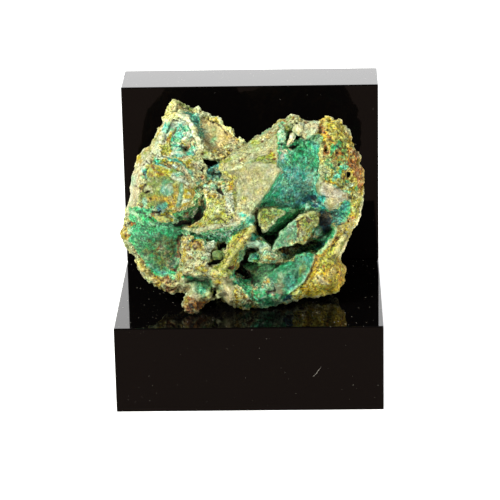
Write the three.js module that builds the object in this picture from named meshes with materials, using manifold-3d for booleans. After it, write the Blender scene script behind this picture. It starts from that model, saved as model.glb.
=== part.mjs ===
// An altered bournonite specimen, grown over with green, teal and yellow crusts, on a stand of two black blocks.
// Millimetres, +Z up, front toward -Y. The origin is the middle of the base's underside.
import * as THREE from "three";
import { ConvexGeometry } from "three/addons/geometries/ConvexGeometry.js";
import { mergeVertices } from "three/addons/utils/BufferGeometryUtils.js";
import Module from "manifold-3d";

// Driving dimensions: the stand is cut from 20 mm and 15 mm sheet, and the rest is set out from it.
const STAND_WIDTH = 60;
const BASE_DEPTH = 60;
const BASE_HEIGHT = 20;
const BACK_THICKNESS = 15;
const STAND_HEIGHT = 63;
const REST_GAP = 0.3;

// How the specimen stands: its front leans back and turns a little to the left, and its foot is near the front edge.
const LEAN_BACK = THREE.MathUtils.degToRad(19.17);
const TURN_LEFT = THREE.MathUtils.degToRad(1.68);
const DROP_RIGHT = THREE.MathUtils.degToRad(1.16);
const FOOT_ORIGIN = new THREE.Vector3(0.15, -21.5, BASE_HEIGHT + 0.04);

// Fineness of the specimen's surface: the longest edge on the front and on the back, and how rough breaks are.
const FRONT_EDGE = 2.6;
const BACK_EDGE = 4.2;
const BACK_STARTS = -8;
const ROUGHNESS = 0.11;
const BACK_ROUGHNESS = 0.15;
const PLATE_ROUGHNESS = 0.03;

// How far the rim swings to and fro in depth, so that the sides break unevenly. The underside stays as it rests.
const RIM_SWING = 2.6;
const SWING_FADES_BELOW = 12;

// Every point of the specimen is [across, up, toward the front], in mm in its own leaning frame.
// Seen from the usual viewing distance a near form looks larger and higher than a far one of the same size.
// The forms are set out as they look from there, so each point is drawn in along its line of sight.
const VIEW_DISTANCE = 576.3;
const TRUE_SIZE_DISTANCE = 582.2;
const SIGHT_AXIS_UP = 14.55;

function placed([across, up, front]) {
  const scale = (VIEW_DISTANCE - front) / TRUE_SIZE_DISTANCE;
  const axisUp = (SIGHT_AXIS_UP * VIEW_DISTANCE) / TRUE_SIZE_DISTANCE;
  return new THREE.Vector3(across * scale, -front, (up - SIGHT_AXIS_UP) * scale + axisUp);
}

// The rim, clockwise from the peak of the left lobe.
const RIM = [
  // The peak and the broken edge down to the notch.
  [-17.5, 48.8, -4], [-16.4, 48.5, -5], [-14.8, 47.7, -6], [-12.9, 46.3, -7], [-11.7, 46.6, -7.5],
  [-9.0, 44.7, -8], [-7.6, 45.1, -8], [-6.5, 44.1, -8], [-6.0, 43.0, -8], [-4.4, 42.6, -8],
  [-3.4, 40.9, -7.5], [-3.1, 40.1, -7], [-2.3, 40.0, -7], [-1.0, 39.0, -6.5], [-0.7, 38.5, -6],
  // The top of the right lobe.
  [0.1, 39.3, -5], [1.3, 40.2, -4], [3.5, 41.4, -4], [4.6, 42.1, -4], [6.6, 43.9, -5],
  [9.2, 45.2, -5.5], [10.4, 45.2, -5.5], [12.0, 44.1, -5], [13.2, 43.8, -5], [15.2, 43.8, -5],
  [17.5, 44.8, -5], [19.0, 44.2, -5], [20.5, 44.2, -5.5], [21.3, 42.7, -5.5], [22.7, 41.0, -6],
  // The right side down to the waist.
  [23.0, 39.6, -6], [24.4, 36.5, -6.5], [24.8, 35.0, -6.5], [25.7, 31.5, -7], [25.9, 28.8, -7],
  [25.6, 26.0, -7], [25.2, 24.3, -7], [24.6, 21.9, -7], [24.7, 20.8, -7], [24.0, 20.0, -7],
  [23.1, 18.6, -7], [22.2, 17.3, -7], [21.9, 15.7, -7], [20.6, 13.2, -7], [20.6, 12.2, -7],
  // The lower right lobe and the underside.
  [21.8, 10.5, -8], [21.8, 9.4, -8], [21.4, 7.4, -8], [20.0, 5.0, -8], [17.8, 4.4, -8],
  [15.0, 3.8, -7], [12.1, 4.1, -6], [8.4, 2.5, -4], [5.0, 2.0, -3.5], [2.9, 1.6, -3],
  [0.8, 1.8, -3], [-0.5, 1.2, -2.5], [-3.0, 1.7, -2], [-4.7, 2.0, -1.5], [-6.4, 3.7, -2.5],
  [-8.7, 2.9, -3], [-10.7, 1.5, -2],
  // The foot.
  [-11.9, 0.3, -0.5], [-13.8, 0.1, 0], [-14.8, 0.3, -0.5], [-15.2, 1.9, -1], [-15.0, 3.6, -1.5],
  [-14.3, 5.1, -2],
  // The left side up to the peak.
  [-16.0, 4.8, -4], [-16.5, 3.6, -4], [-17.9, 4.4, -4.5], [-19.1, 5.0, -5], [-20.7, 5.7, -5],
  [-22.0, 6.9, -5], [-23.6, 7.9, -5], [-25.0, 9.8, -5.5], [-25.5, 11.3, -5.5], [-25.8, 12.9, -5.5],
  [-27.6, 14.6, -6], [-28.4, 16.0, -6], [-29.4, 17.4, -6], [-29.4, 18.6, -6], [-28.8, 19.6, -6],
  [-28.4, 22.0, -6], [-28.4, 23.4, -6], [-27.6, 25.0, -6], [-27.0, 29.8, -6], [-26.7, 31.9, -6],
  [-25.9, 33.8, -6], [-25.4, 35.9, -6], [-24.1, 37.6, -6], [-22.7, 38.3, -6], [-21.6, 40.2, -5.5],
  [-20.7, 41.9, -5], [-19.5, 44.0, -4.5], [-19.7, 44.8, -5], [-18.3, 47.9, -4],
];

// The corners of the front, region by region.
const FRONT = {
  peak: [
    [-16.8, 47.6, -1.5], [-15.0, 46.8, -3.2], [-17.2, 46.2, -0.5], [-18.3, 45.0, 0], [-16.9, 44.7, 0.4],
  ],
  // The crest that parts the steep left wall from the mottled face.
  leftCrest: [
    [-18.6, 43.1, 0.5], [-20.0, 40.0, 1], [-20.7, 36.9, 1.5], [-21.3, 35.0, 2], [-22.9, 34.1, 2.5],
    [-24.1, 32.9, 2], [-25.0, 31.6, 1.5], [-25.7, 29.3, 1], [-25.5, 26.0, 0.5], [-26.2, 24.2, 0],
  ],
  // The thin white ridge on the right of the mottled face.
  whiteRidge: [
    [-15.5, 45.1, 0.9], [-13.8, 44.0, 0.6], [-12.6, 42.2, 0.9], [-11.9, 40.3, 1.1], [-11.2, 38.1, 1.3],
    [-10.3, 37.2, 0.9],
  ],
  mottledFace: [
    [-19.0, 41.8, -0.1], [-17.0, 41.7, -1.1], [-15.0, 41.7, -0.9], [-13.8, 41.0, 0.3], [-17.5, 38.6, -0.6],
    [-19.4, 37.2, 0.5], [-14.6, 37.6, -1.2], [-13.2, 38.9, -0.3], [-16.2, 37.9, 0.2], [-15.8, 39.4, -0.2],
    [-12.8, 36.8, 0.3], [-17.9, 35.6, 1], [-19.6, 35.4, 1.5], [-14.5, 35.6, 1], [-12.4, 34.9, 0.8],
    [-18.9, 34.5, 1.8], [-16.7, 34.3, 1.8], [-15.0, 33.1, 1.7], [-13.3, 33.4, 1.6], [-11.9, 33.0, 1.2],
  ],
  // The recess behind the ridge: a green wall, a smooth tan face and a crumbly edge over it.
  tanRecess: [
    [-13.2, 45.2, -4.3], [-11.8, 43.0, -4.5], [-10.7, 40.6, -4.6], [-10.3, 39.2, -4.8], [-10.1, 43.6, -5.6],
    [-7.9, 43.0, -6], [-5.2, 41.1, -6], [-3.9, 39.7, -5.8], [-7.6, 40.8, -5.4], [-5.6, 38.9, -4.9],
    [-8.6, 38.3, -4.5], [-12.2, 45.9, -4], [-10.5, 45.2, -4.6], [-8.8, 44.2, -5], [-7.0, 44.0, -5],
    [-5.2, 42.0, -5.2], [-3.9, 40.8, -5], [-3.7, 38.2, -4], [-2.2, 38.9, -4.5], [-4.6, 37.1, -3.4],
    [-6.2, 37.0, -3.6],
  ],
  crumblyLedge: [
    [-9.5, 36.6, 1], [-8.0, 35.9, 0.5], [-6.4, 35.5, 0], [-8.2, 37.2, -2], [-11.2, 35.9, 0.8],
    [-11.0, 33.8, 1], [-9.9, 32.6, 0.2], [-7.0, 34.9, 0],
  ],
  tealPocket: [
    [-8.2, 31.9, -2.5], [-7.0, 31.6, -3], [-8.9, 30.6, -0.5], [-7.6, 30.2, -0.3], [-6.4, 30.5, 0.3],
    [-10.4, 31.2, 0.8], [-11.0, 29.6, 1.2],
  ],
  boulder: [
    [-20.4, 34.0, 3], [-18.3, 33.3, 3.4], [-16.3, 32.6, 3.5], [-14.8, 31.3, 3.4], [-22.8, 32.6, 3.5],
    [-21.0, 30.6, 5], [-18.2, 28.6, 7], [-16.0, 30.0, 6], [-13.8, 29.0, 4.5], [-15.2, 26.8, 6.4],
    [-12.8, 27.2, 4.2], [-12.6, 25.5, 3.4], [-14.3, 24.6, 4.8], [-17.4, 25.2, 6], [-20.2, 26.4, 5.5],
    [-22.7, 28.0, 2.6], [-23.8, 29.8, 3], [-23.9, 26.2, 2.6], [-22.3, 24.6, 3], [-19.6, 23.6, 4.2],
    [-17.5, 22.7, 4], [-22.1, 22.6, 2.4], [-15.8, 22.8, 3], [-13.0, 31.2, 2.5], [-11.6, 30.9, 1.4],
  ],
  // The shadowed groove under the boulder's right edge.
  undercut: [
    [-11.7, 28.3, -0.5], [-11.2, 26.6, -2], [-10.6, 24.6, -2.5], [-11.8, 22.4, -2.6], [-13.6, 21.2, -2.6],
    [-15.8, 20.7, -2], [-12.8, 23.8, 0], [-14.6, 21.9, 0],
  ],
  greenField: [
    [-26.3, 22.8, 0.5], [-24.6, 22.6, 1], [-27.2, 20.8, -2], [-25.6, 20.4, 0], [-22.6, 20.8, 1.4],
    [-19.8, 20.6, 1.4], [-17.3, 19.7, 0.5], [-15.6, 19.2, -0.5], [-24.6, 17.4, -0.5], [-21.4, 17.4, -0.3],
    [-18.4, 16.8, -1], [-16.1, 16.6, -2.2], [-26.2, 15.6, -2.5], [-22.8, 14.0, -1.8], [-19.6, 13.6, -2.3],
    [-16.6, 13.4, -3], [-23.8, 12.0, -2.4], [-20.6, 10.8, -2.8], [-17.6, 11.0, -3], [-16.5, 10.0, -2.5],
    [-21.9, 9.5, -3], [-19.2, 8.8, -2.8], [-17.4, 8.6, -2],
  ],
  leftEdgeLumps: [
    [-28.0, 18.4, -2.5], [-27.5, 16.6, -3], [-24.5, 10.6, -3], [-21.6, 7.9, -2.8], [-19.3, 6.6, -2.4],
    [-17.3, 6.0, -1.8], [-27.6, 22.6, -3],
  ],
  // The big smooth plate: its left edge, the crest across it, and the flat faces above and below the crest.
  plate: [
    [-5.1, 35.1, 1], [-6.1, 34.1, 1.5], [-6.6, 33.2, 1.7], [-5.8, 32.0, 1.7], [-4.2, 31.0, 1.8],
    [-3.2, 29.8, 2], [-2.9, 27.6, 3], [-3.0, 25.0, 3.8], [-5.3, 33.9, 2.4], [-3.0, 33.3, 4],
    [0.0, 33.2, 5.4], [3.0, 33.7, 6.3], [5.9, 33.5, 6.8], [6.9, 32.9, 6.9], [-3.8, 36.0, 1],
    [-2.2, 37.0, 0.3], [-0.6, 37.8, -0.8], [1.2, 39.2, -1.5], [3.4, 40.5, -1.2], [5.2, 41.6, -1],
    [6.2, 40.8, 0.3], [6.3, 38.6, 2.2], [6.2, 36.4, 4.2], [2.0, 37.4, 1.8], [0.0, 36.0, 2.5],
    [3.5, 35.2, 4.6], [-2.2, 34.9, 2.8], [5.9, 31.0, 6.6], [4.2, 28.3, 6.2], [2.1, 25.5, 6],
    [1.0, 24.2, 5.8], [0.2, 23.2, 5.4], [0.0, 30.4, 5], [-0.5, 27.4, 4.8], [2.6, 30.2, 6],
    [-1.3, 24.6, 4.8],
  ],
  // The teal hollow to the right of the plate, and the crest that walls it off on the right.
  tealHollow: [
    [6.9, 42.4, -0.5], [7.5, 40.4, 0.4], [7.3, 37.8, 1.2], [6.9, 35.4, 2.2], [7.7, 33.3, 3],
    [7.2, 31.2, 0], [6.0, 28.7, -0.3], [4.6, 26.4, -0.2], [3.2, 24.8, 0.2], [9.5, 38.9, -2],
    [9.9, 37.2, -1.5], [11.6, 38.3, -0.5], [13.9, 38.5, -1], [15.3, 38.8, -0.5], [12.8, 36.9, -2.2],
    [9.8, 35.0, -1], [12.6, 34.2, -2.5], [14.9, 35.2, -2], [9.6, 31.6, -1.5], [12.4, 31.0, -3],
    [14.6, 31.4, -3.2], [8.6, 28.8, -2], [11.6, 28.2, -3.2], [14.4, 28.6, -4], [7.0, 26.2, -1.8],
    [10.2, 25.6, -2.6], [13.3, 26.2, -4], [14.9, 26.0, -4.5], [12.2, 24.2, -2.4], [8.6, 24.3, -2],
    [16.4, 39.7, 1.5], [16.3, 36.8, 2], [16.2, 34.0, 2.2], [15.9, 31.6, 2], [15.8, 29.4, 1.8],
    [15.8, 27.5, 1.2],
  ],
  topCrust: [
    [9.4, 43.6, -1], [10.8, 43.9, -1.2], [12.8, 42.9, -0.5], [15.4, 42.9, -0.5], [15.8, 41.0, 0.8],
    [10.3, 40.3, -2], [12.2, 40.1, -1], [8.4, 42.8, -0.8],
  ],
  rightRim: [
    [17.4, 43.4, -0.6], [19.5, 42.6, -0.5], [18.2, 41.0, 1], [21.0, 40.6, -0.6], [20.0, 38.6, 1],
    [17.9, 38.6, 1.8], [22.6, 38.2, -1.5], [18.4, 36.2, 2], [20.6, 35.8, 1.2], [23.2, 35.4, -1.5],
    [18.0, 33.6, 2.2], [20.6, 33.0, 1.5], [23.8, 33.0, -1.6], [18.4, 31.2, 2.2], [21.2, 30.8, 1.2],
    [24.4, 30.4, -2.2], [22.9, 28.8, 0], [24.3, 27.0, -2.5], [23.8, 24.4, -2], [23.6, 22.2, -2.2],
  ],
  pinkFaces: [
    [17.0, 29.4, 1.6], [19.0, 28.4, 1.9], [18.0, 26.6, 1], [18.7, 25.2, 1.4], [20.6, 26.8, 1.2],
    [22.3, 26.3, 0.2], [21.5, 24.8, -1], [17.2, 25.0, 0], [16.5, 26.2, -0.3], [15.8, 24.4, -1.5],
  ],
  blueCavity: [
    [17.4, 22.6, -3.5], [17.1, 21.2, -4.5], [19.2, 22.2, -3], [21.3, 22.6, -2.4], [22.0, 23.6, -1.2],
    [20.6, 20.9, -2.2], [18.6, 20.4, -3.2], [17.6, 18.6, -4.2], [16.6, 20.2, -3.5], [15.3, 19.4, -0.5],
    [14.9, 17.8, -0.3], [16.4, 18.0, -1], [17.6, 17.1, -0.5], [18.9, 18.7, 0.6],
  ],
  // The sharp edge of the lower right lobe and its bright rib.
  lowerRightEdge: [
    [19.4, 19.4, 0.9], [19.2, 17.0, 1.6], [17.8, 15.8, 1.8], [16.9, 14.3, 1.8], [16.0, 13.5, 1.8],
    [14.8, 13.3, 2], [20.9, 19.4, 0.3], [22.6, 19.9, -1.2], [21.4, 17.9, 0.9], [20.3, 16.0, 1.7],
    [19.4, 14.4, 1.8], [20.8, 15.4, -0.4],
  ],
  lowerRightLobe: [
    [18.2, 12.6, 1.8], [16.4, 11.6, 2], [19.6, 11.0, 0.8], [20.6, 9.2, -0.8], [18.6, 8.8, 1.2],
    [16.2, 8.4, 1.6], [14.6, 9.2, 1.8], [19.4, 6.6, -0.8], [16.6, 6.2, 0.6], [13.6, 6.6, 1],
    [12.0, 5.7, 0.6], [14.6, 5.2, -0.6],
  ],
  bigTealFaces: [
    [10.4, 13.8, 1.2], [12.4, 13.6, 1.8], [13.9, 10.8, 2.3], [13.2, 8.8, 2.2], [12.2, 7.5, 2],
    [10.7, 6.5, 1.6], [9.0, 5.0, 1], [8.3, 7.4, 2.4], [8.6, 9.8, 3.2], [11.0, 10.4, 2.6],
    [9.7, 12.2, 1], [6.2, 9.4, 3], [7.4, 11.4, 0.5],
  ],
  smallTealBlocks: [
    [1.2, 5.6, -0.5], [2.6, 4.7, 0.9], [3.9, 3.6, 0.6], [1.6, 3.2, -0.2], [4.2, 6.9, 1.2],
    [3.3, 7.7, 0], [5.4, 5.4, 1.4], [6.8, 6.6, 2], [7.2, 4.4, 1.2], [5.2, 3.4, 0.6],
    [8.6, 3.5, -1.2], [10.0, 4.3, 0], [2.7, 2.6, -0.8],
  ],
  // The dark green slab on the floor of the cave, and the green strip below it.
  caveFloor: [
    [-0.6, 10.6, -3], [1.2, 9.4, -2.6], [3.4, 10.4, -2.2], [5.4, 11.2, -2], [2.4, 7.9, -1.2],
    [4.0, 8.8, -0.8], [0.4, 8.0, -3], [-1.4, 13.6, -2], [-2.2, 10.6, -2], [0.8, 12.8, -3.4],
    [-3.3, 7.6, 1], [-2.0, 6.6, 1], [-0.6, 5.4, 0.6], [0.2, 4.2, 0.2], [-0.8, 3.4, 0.8],
  ],
  footWedge: [
    [-5.6, 6.8, 3], [-4.8, 5.3, 3.2], [-4.4, 3.1, 1.8], [-2.6, 4.8, 2.2], [-2.7, 3.0, 1.2],
    [-6.2, 5.2, 1.8], [-8.0, 4.6, -3], [-7.6, 5.8, -1.6],
  ],
  footHollow: [
    [-13.6, 8.4, -1.5], [-11.4, 8.3, -2], [-9.7, 8.0, -2.5], [-9.0, 6.4, -2.4], [-10.8, 5.6, -1.6],
    [-12.8, 6.2, -0.6], [-14.6, 7.0, 0.2], [-15.7, 7.6, 0.5], [-9.6, 4.4, -0.6], [-11.6, 3.6, 0.2],
    [-13.6, 4.2, 1],
  ],
  foot: [[-13.0, 2.0, 1.6], [-14.3, 1.9, 1], [-11.9, 1.7, 1], [-13.1, 1.0, 1]],
  // The lumpy ochre mass over the foot, whose lower edge overhangs the hollow.
  lumpyMass: [
    [-15.4, 9.0, 1.6], [-13.4, 9.3, 2.4], [-11.2, 9.2, 3], [-9.4, 8.9, 3.2], [-8.5, 7.6, 2.6],
    [-7.8, 6.6, 2], [-15.0, 17.0, 1.5], [-14.8, 14.6, 2.2], [-14.6, 12.2, 2.6], [-14.4, 10.5, 2.6],
    [-12.8, 15.6, 3.2], [-12.4, 13.0, 3.8], [-12.0, 10.8, 3.8], [-10.4, 15.4, 3.6], [-10.0, 13.0, 4.2],
    [-9.8, 10.6, 4], [-13.2, 17.1, 2], [-11.4, 16.8, 1.6], [-8.5, 15.2, 2.6], [-8.7, 13.4, 1.8],
    [-8.4, 11.8, 1.2], [-6.9, 12.0, 1.4], [-6.1, 13.6, 2.6], [-7.2, 14.8, 1.6],
  ],
  // The yellow ridge that runs diagonally up to the plate.
  yellowRidge: [
    [-8.2, 9.6, 4.2], [-7.4, 9.3, 5], [-5.8, 10.6, 5.4], [-4.7, 11.7, 5.6], [-4.0, 13.4, 5.6],
    [-2.6, 15.2, 5.6], [-1.4, 16.9, 5.4], [0.0, 18.6, 5.2], [0.6, 19.8, 4.8], [0.2, 21.4, 4.8],
    [-5.0, 14.8, 3.4], [-4.2, 16.4, 3], [-3.0, 17.6, 3.2], [-6.2, 11.2, 3.6], [-6.4, 8.4, 4.4],
    [-5.0, 8.6, 4.2], [-4.0, 9.3, 3.2], [-3.4, 10.8, 2.2], [-5.7, 7.7, 3.4], [-7.0, 7.2, 3],
  ],
  limeMound: [
    [-7.6, 23.4, 4.6], [-9.0, 22.2, 3.6], [-6.0, 21.7, 4.6], [-8.8, 25.0, 3.2], [-6.6, 25.2, 4],
    [-5.2, 23.4, 4.6], [-4.2, 21.7, 4.8], [-10.0, 21.0, 3.4], [-4.4, 25.8, 4.2], [-9.9, 25.6, 1.5],
    [-9.8, 23.8, 2], [-11.0, 21.5, 1.5], [-12.8, 20.3, 1.5],
  ],
  twiggyCrust: [
    [-9.9, 28.8, 1], [-8.7, 27.2, 2.4], [-7.2, 26.4, 2.6], [-6.6, 27.9, 0.6], [-8.8, 29.4, 1.2],
    [-5.6, 28.8, 1.6], [-4.6, 30.0, 1.3], [-4.5, 27.6, 2.6], [-10.0, 27.2, 1], [-5.4, 26.6, 3.2],
  ],
  // The cream ledge and the sparkling teal pocket under it.
  creamLedge: [
    [-14.0, 19.1, 1.8], [-11.4, 18.9, 3.8], [-9.7, 19.4, 4.8], [-7.1, 19.8, 5.4], [-4.3, 20.0, 5.6],
    [-2.4, 20.5, 5.4], [-1.2, 21.7, 5.2],
  ],
  sparklingPocket: [
    [-12.8, 18.0, 0.6], [-10.8, 17.7, 0.4], [-9.0, 18.1, 0], [-7.0, 18.4, 0.6], [-5.0, 18.7, 1.2],
    [-3.4, 19.0, 2], [-1.9, 19.4, 3], [-9.3, 16.8, -0.5], [-7.4, 16.7, -0.8], [-5.6, 16.7, -0.2],
    [-6.4, 15.5, -2],
  ],
  // The dark ground behind the blades, and the pale bridge along its lower edge.
  bladeGround: [
    [1.5, 22.6, 0], [1.3, 20.6, -4], [1.7, 18.8, -3.6], [3.2, 17.2, -4], [5.2, 16.4, -4.4],
    [4.6, 18.6, -4.2], [7.5, 20.4, -4], [10.5, 22.0, -4], [13.6, 22.4, -4], [9.6, 18.6, -4.6],
    [8.2, 14.2, -4.4], [11.0, 14.8, -4.6], [14.4, 15.3, -4.4], [12.8, 18.6, -4.6], [7.6, 13.1, -3],
    [9.6, 13.1, -3.6],
  ],
  paleBridge: [
    [1.0, 17.5, 2.5], [2.9, 16.4, 2], [-1.0, 15.9, 3.6], [0.5, 16.1, 3.4], [2.4, 15.1, 3.2],
    [4.5, 14.7, 3], [3.0, 13.8, 2.2], [6.2, 13.6, 1.8], [5.0, 12.2, 1.8], [3.0, 12.4, 1.2],
  ],
};

// The hidden back: a rough break through the ochre matrix, with a hump behind each lobe and a trough between them.
const BACK = {
  leftLobe: [
    [-16.5, 45, -9.5], [-9, 42, -12.5], [-14.5, 39, -15], [-20.5, 37, -11.5], [-23.5, 31, -12.5],
    [-16, 31.5, -19.5], [-10.5, 34, -17], [-20, 26, -15], [-14, 25.5, -21.5], [-26.2, 24.5, -11],
    [-25.8, 18.5, -12.5], [-20, 18.5, -18], [-14.5, 18, -17.5], [-22.5, 11.5, -10], [-17, 11, -13.5],
  ],
  middle: [
    [-4.5, 36, -15], [1.5, 37, -17.5], [-3, 31, -20.5], [1, 27, -17.5], [-8, 28, -19], [-7, 22, -22.5],
    [-1.5, 19.5, -20], [-9.5, 14, -18], [-3, 12, -21.5], [2.5, 31.5, -22],
  ],
  rightLobe: [
    [8, 41, -14], [12.5, 41.5, -12], [18, 41.5, -10.5], [7.5, 35.5, -22], [14, 35, -17.5], [20, 35.5, -14],
    [23.5, 31, -11], [18.5, 29, -19], [11.5, 28.5, -22.5], [22.5, 25, -13.5], [15.5, 23, -20.5], [7, 22.5, -19.5],
    [21, 19, -11.5], [11, 16.5, -22], [17, 15, -16.5], [5, 15.5, -22], [18.8, 12.5, -12],
  ],
  underside: [
    [-16, 8, -10], [-10, 8.5, -15.5], [-5, 6, -18.5], [4, 6.6, -18], [12, 5.4, -16.5], [18.3, 8.3, -13.5],
    [-11, 5.5, -9], [0, 4.4, -9.5], [9, 5, -10], [1.5, 9.5, -20],
  ],
};

// Convex crystals and blocks that stand out of the crust, each the hull of its corners.
const CRYSTALS = {
  // The block with the yellow-green top and the long dark green underface.
  yellowBlock: [
    [2.0, 23.8, 4], [4.3, 24.1, 3.8], [7.9, 23.1, 3.6], [5.8, 21.5, 4.4], [3.2, 19.1, 4.6],
    [2.0, 20.8, 4.4], [3.0, 18.3, -5], [6.7, 18.7, -5], [10.0, 21.2, -5], [13.0, 24.0, -4], [2.0, 24.2, -4],
  ],
  // The blade in front: a mint half and a yellow half.
  mintBlade: [
    [5.0, 14.3, 2.4], [6.6, 17.4, 3.4], [7.1, 18.6, 3.8], [8.3, 19.0, 4.2], [9.5, 20.7, 4.5],
    [10.9, 21.9, 4.8], [10.9, 16.3, 3.9], [9.0, 15.4, 3.5], [7.4, 15.6, 3.2], [8.0, 18.8, -5],
    [10.4, 21.2, -5], [10.6, 17.8, -3], [5.4, 14.9, -1],
  ],
  yellowBlade: [
    [10.4, 21.4, 4.8], [12.6, 22.7, 5], [14.3, 23.2, 4.6], [15.7, 22.9, 3.9], [15.7, 21.7, 3.8],
    [15.0, 20.0, 4], [13.3, 17.0, 4], [12.3, 15.9, 4], [10.9, 16.3, 4.1], [12.0, 22.2, -5],
    [15.4, 22.8, -5], [13.8, 20.0, -5], [11.4, 18.2, -4],
  ],
  whiteCrystalLeft: [
    [9.9, 43.1, 1.6], [12.1, 43.3, 1.6], [12.5, 42.0, 2.2], [12.0, 41.0, 2], [11.2, 40.4, 1.6],
    [10.3, 41.1, 1.6], [9.8, 42.2, 1.6], [10.4, 43.2, -3], [12.2, 43.0, -3], [11.4, 41.2, -3],
  ],
  whiteCrystalRight: [
    [12.6, 43.1, 1.4], [14.0, 43.5, 1], [15.6, 43.0, 1.2], [15.7, 41.8, 2], [14.4, 41.0, 2.2],
    [12.7, 39.7, 1.2], [11.8, 40.0, 1], [12.3, 41.4, 1.8], [13.0, 43.0, -3], [15.2, 42.6, -3], [12.9, 41.0, -3],
  ],
  lilacPrism: [
    [8.3, 38.4, 1.3], [9.0, 38.0, 1.1], [9.9, 40.7, 1.7], [9.3, 41.1, 1.7], [8.9, 40.4, 1.9],
    [8.8, 38.6, -2.5], [9.6, 40.6, -2.5],
  ],
  mintPrism: [
    [6.6, 42.2, 0.9], [7.9, 42.7, 0.7], [8.1, 39.4, 1.5], [7.0, 38.9, 1.7], [6.5, 40.6, 1.4],
    [7.0, 42.0, -2], [7.8, 39.6, -2],
  ],
  mintSliver: [[12.6, 23.5, 2], [13.4, 23.4, 2.2], [13.7, 24.0, 1.6], [13.2, 25.7, 0.6], [12.7, 25.0, 0.8],
    [13.2, 24.2, -4.6]],
  // The dark green slab that slants across the cave.
  greenSlab: [
    [-1.8, 10.8, -2.6], [2.0, 11.7, -1.6], [5.6, 11.5, -1.2], [7.0, 10.9, -0.6], [4.3, 8.8, 0],
    [2.5, 7.6, -0.2], [0.3, 7.9, -2], [0, 10, -7], [5, 10.4, -6],
  ],
  caveCrystal: [
    [-0.6, 12.2, -1.6], [0.2, 13.9, -1.4], [1.4, 14.2, -1.2], [2.2, 13.2, -1], [2.0, 12.0, -1],
    [0.4, 11.8, -1.2], [0.2, 12.6, -6], [1.8, 12.8, -6],
  ],
  creamShelf: [
    [3.1, 13.6, 3], [4.6, 14.0, 3.2], [6.2, 13.7, 3], [6.4, 12.4, 2.8], [4.8, 11.9, 2.8],
    [3.0, 12.3, 2.6], [3.6, 13.4, -3.4], [6.0, 13.0, -3.4],
  ],
  limeCrystal: [
    [-9.9, 5.2, 1.2], [-9.3, 5.3, 1.3], [-8.7, 4.3, 1], [-8.7, 3.6, 0.6], [-9.8, 3.8, 1],
    [-9.4, 4.4, -3],
  ],
  ochreLens: [
    [-22.2, 22.3, 4.2], [-20.9, 22.2, 4.9], [-19.0, 21.6, 5.2], [-17.8, 21.3, 4.6], [-19.2, 20.7, 4.9],
    [-21.0, 21.2, 4.7], [-20.6, 21.9, 1.6], [-18.8, 21.4, 1.6],
  ],
  greyLump: [
    [14.3, 19.2, 0.6], [15.6, 20.0, 0.6], [16.4, 19.1, 0.5], [15.9, 17.7, 0.8], [14.4, 17.3, 0.9],
    [15.3, 18.6, -4],
  ],
  tealBlockLeft: [
    [0.8, 5.9, 0.6], [2.4, 6.0, 1.2], [4.0, 4.7, 1.7], [3.9, 3.6, 1.4], [1.6, 3.4, 1.1],
    [0.9, 4.4, 0.8], [2.4, 5.4, -2.5],
  ],
  tealBlockRight: [
    [2.8, 6.9, 1.2], [3.6, 8.2, 1.4], [4.8, 7.9, 1.9], [5.7, 6.3, 2.3], [4.9, 5.0, 2],
    [3.5, 5.6, 1.6], [4.4, 6.6, -2.5],
  ],
};

// The round olive ball that sits in a socket of the lumpy mass.
const OLIVE_BALL = { centre: [-7.35, 13.3, 1.9], radius: 1.35 };

// Chunks of matrix that stand out of the sides and the back, each the hull of a few corners on a squashed ball.
const CHUNK_CORNERS = 12;
const CHUNK_UNEVENNESS = 0.22;
const CHUNKS = [
  // On the left side, from the top down.
  { centre: [-19.4, 40.2, -10], reach: [2.2, 3.4, 3.2] },
  { centre: [-23.2, 30.4, -11], reach: [2.8, 3.6, 4.0] },
  { centre: [-24.6, 22.4, -10], reach: [2.6, 2.9, 3.4] },
  { centre: [-22.2, 14.2, -10.5], reach: [3.0, 3.2, 3.0] },
  // On the right side, from the top down.
  { centre: [19.6, 39.6, -10.5], reach: [2.4, 3.0, 3.6] },
  { centre: [21.8, 31.0, -12], reach: [2.6, 3.9, 3.6] },
  { centre: [21.4, 22.6, -12], reach: [2.2, 2.6, 3.2] },
  { centre: [18.2, 9.2, -12], reach: [2.3, 2.7, 3.4] },
  // On the back.
  { centre: [-14.8, 36.0, -13.5], reach: [5.0, 5.2, 3.2] },
  { centre: [-17.5, 25.5, -17.0], reach: [5.4, 4.4, 3.6] },
  { centre: [-11.0, 17.5, -17.0], reach: [5.0, 5.0, 3.0] },
  { centre: [-3.4, 29.0, -19.5], reach: [4.6, 5.4, 3.0] },
  { centre: [9.5, 34.0, -20.0], reach: [5.4, 4.6, 3.0] },
  { centre: [14.0, 26.5, -19.5], reach: [5.0, 5.0, 3.2] },
  { centre: [3.0, 18.5, -20.0], reach: [5.6, 4.4, 3.0] },
  { centre: [12.0, 12.0, -17.0], reach: [5.0, 4.0, 3.2] },
];

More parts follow.
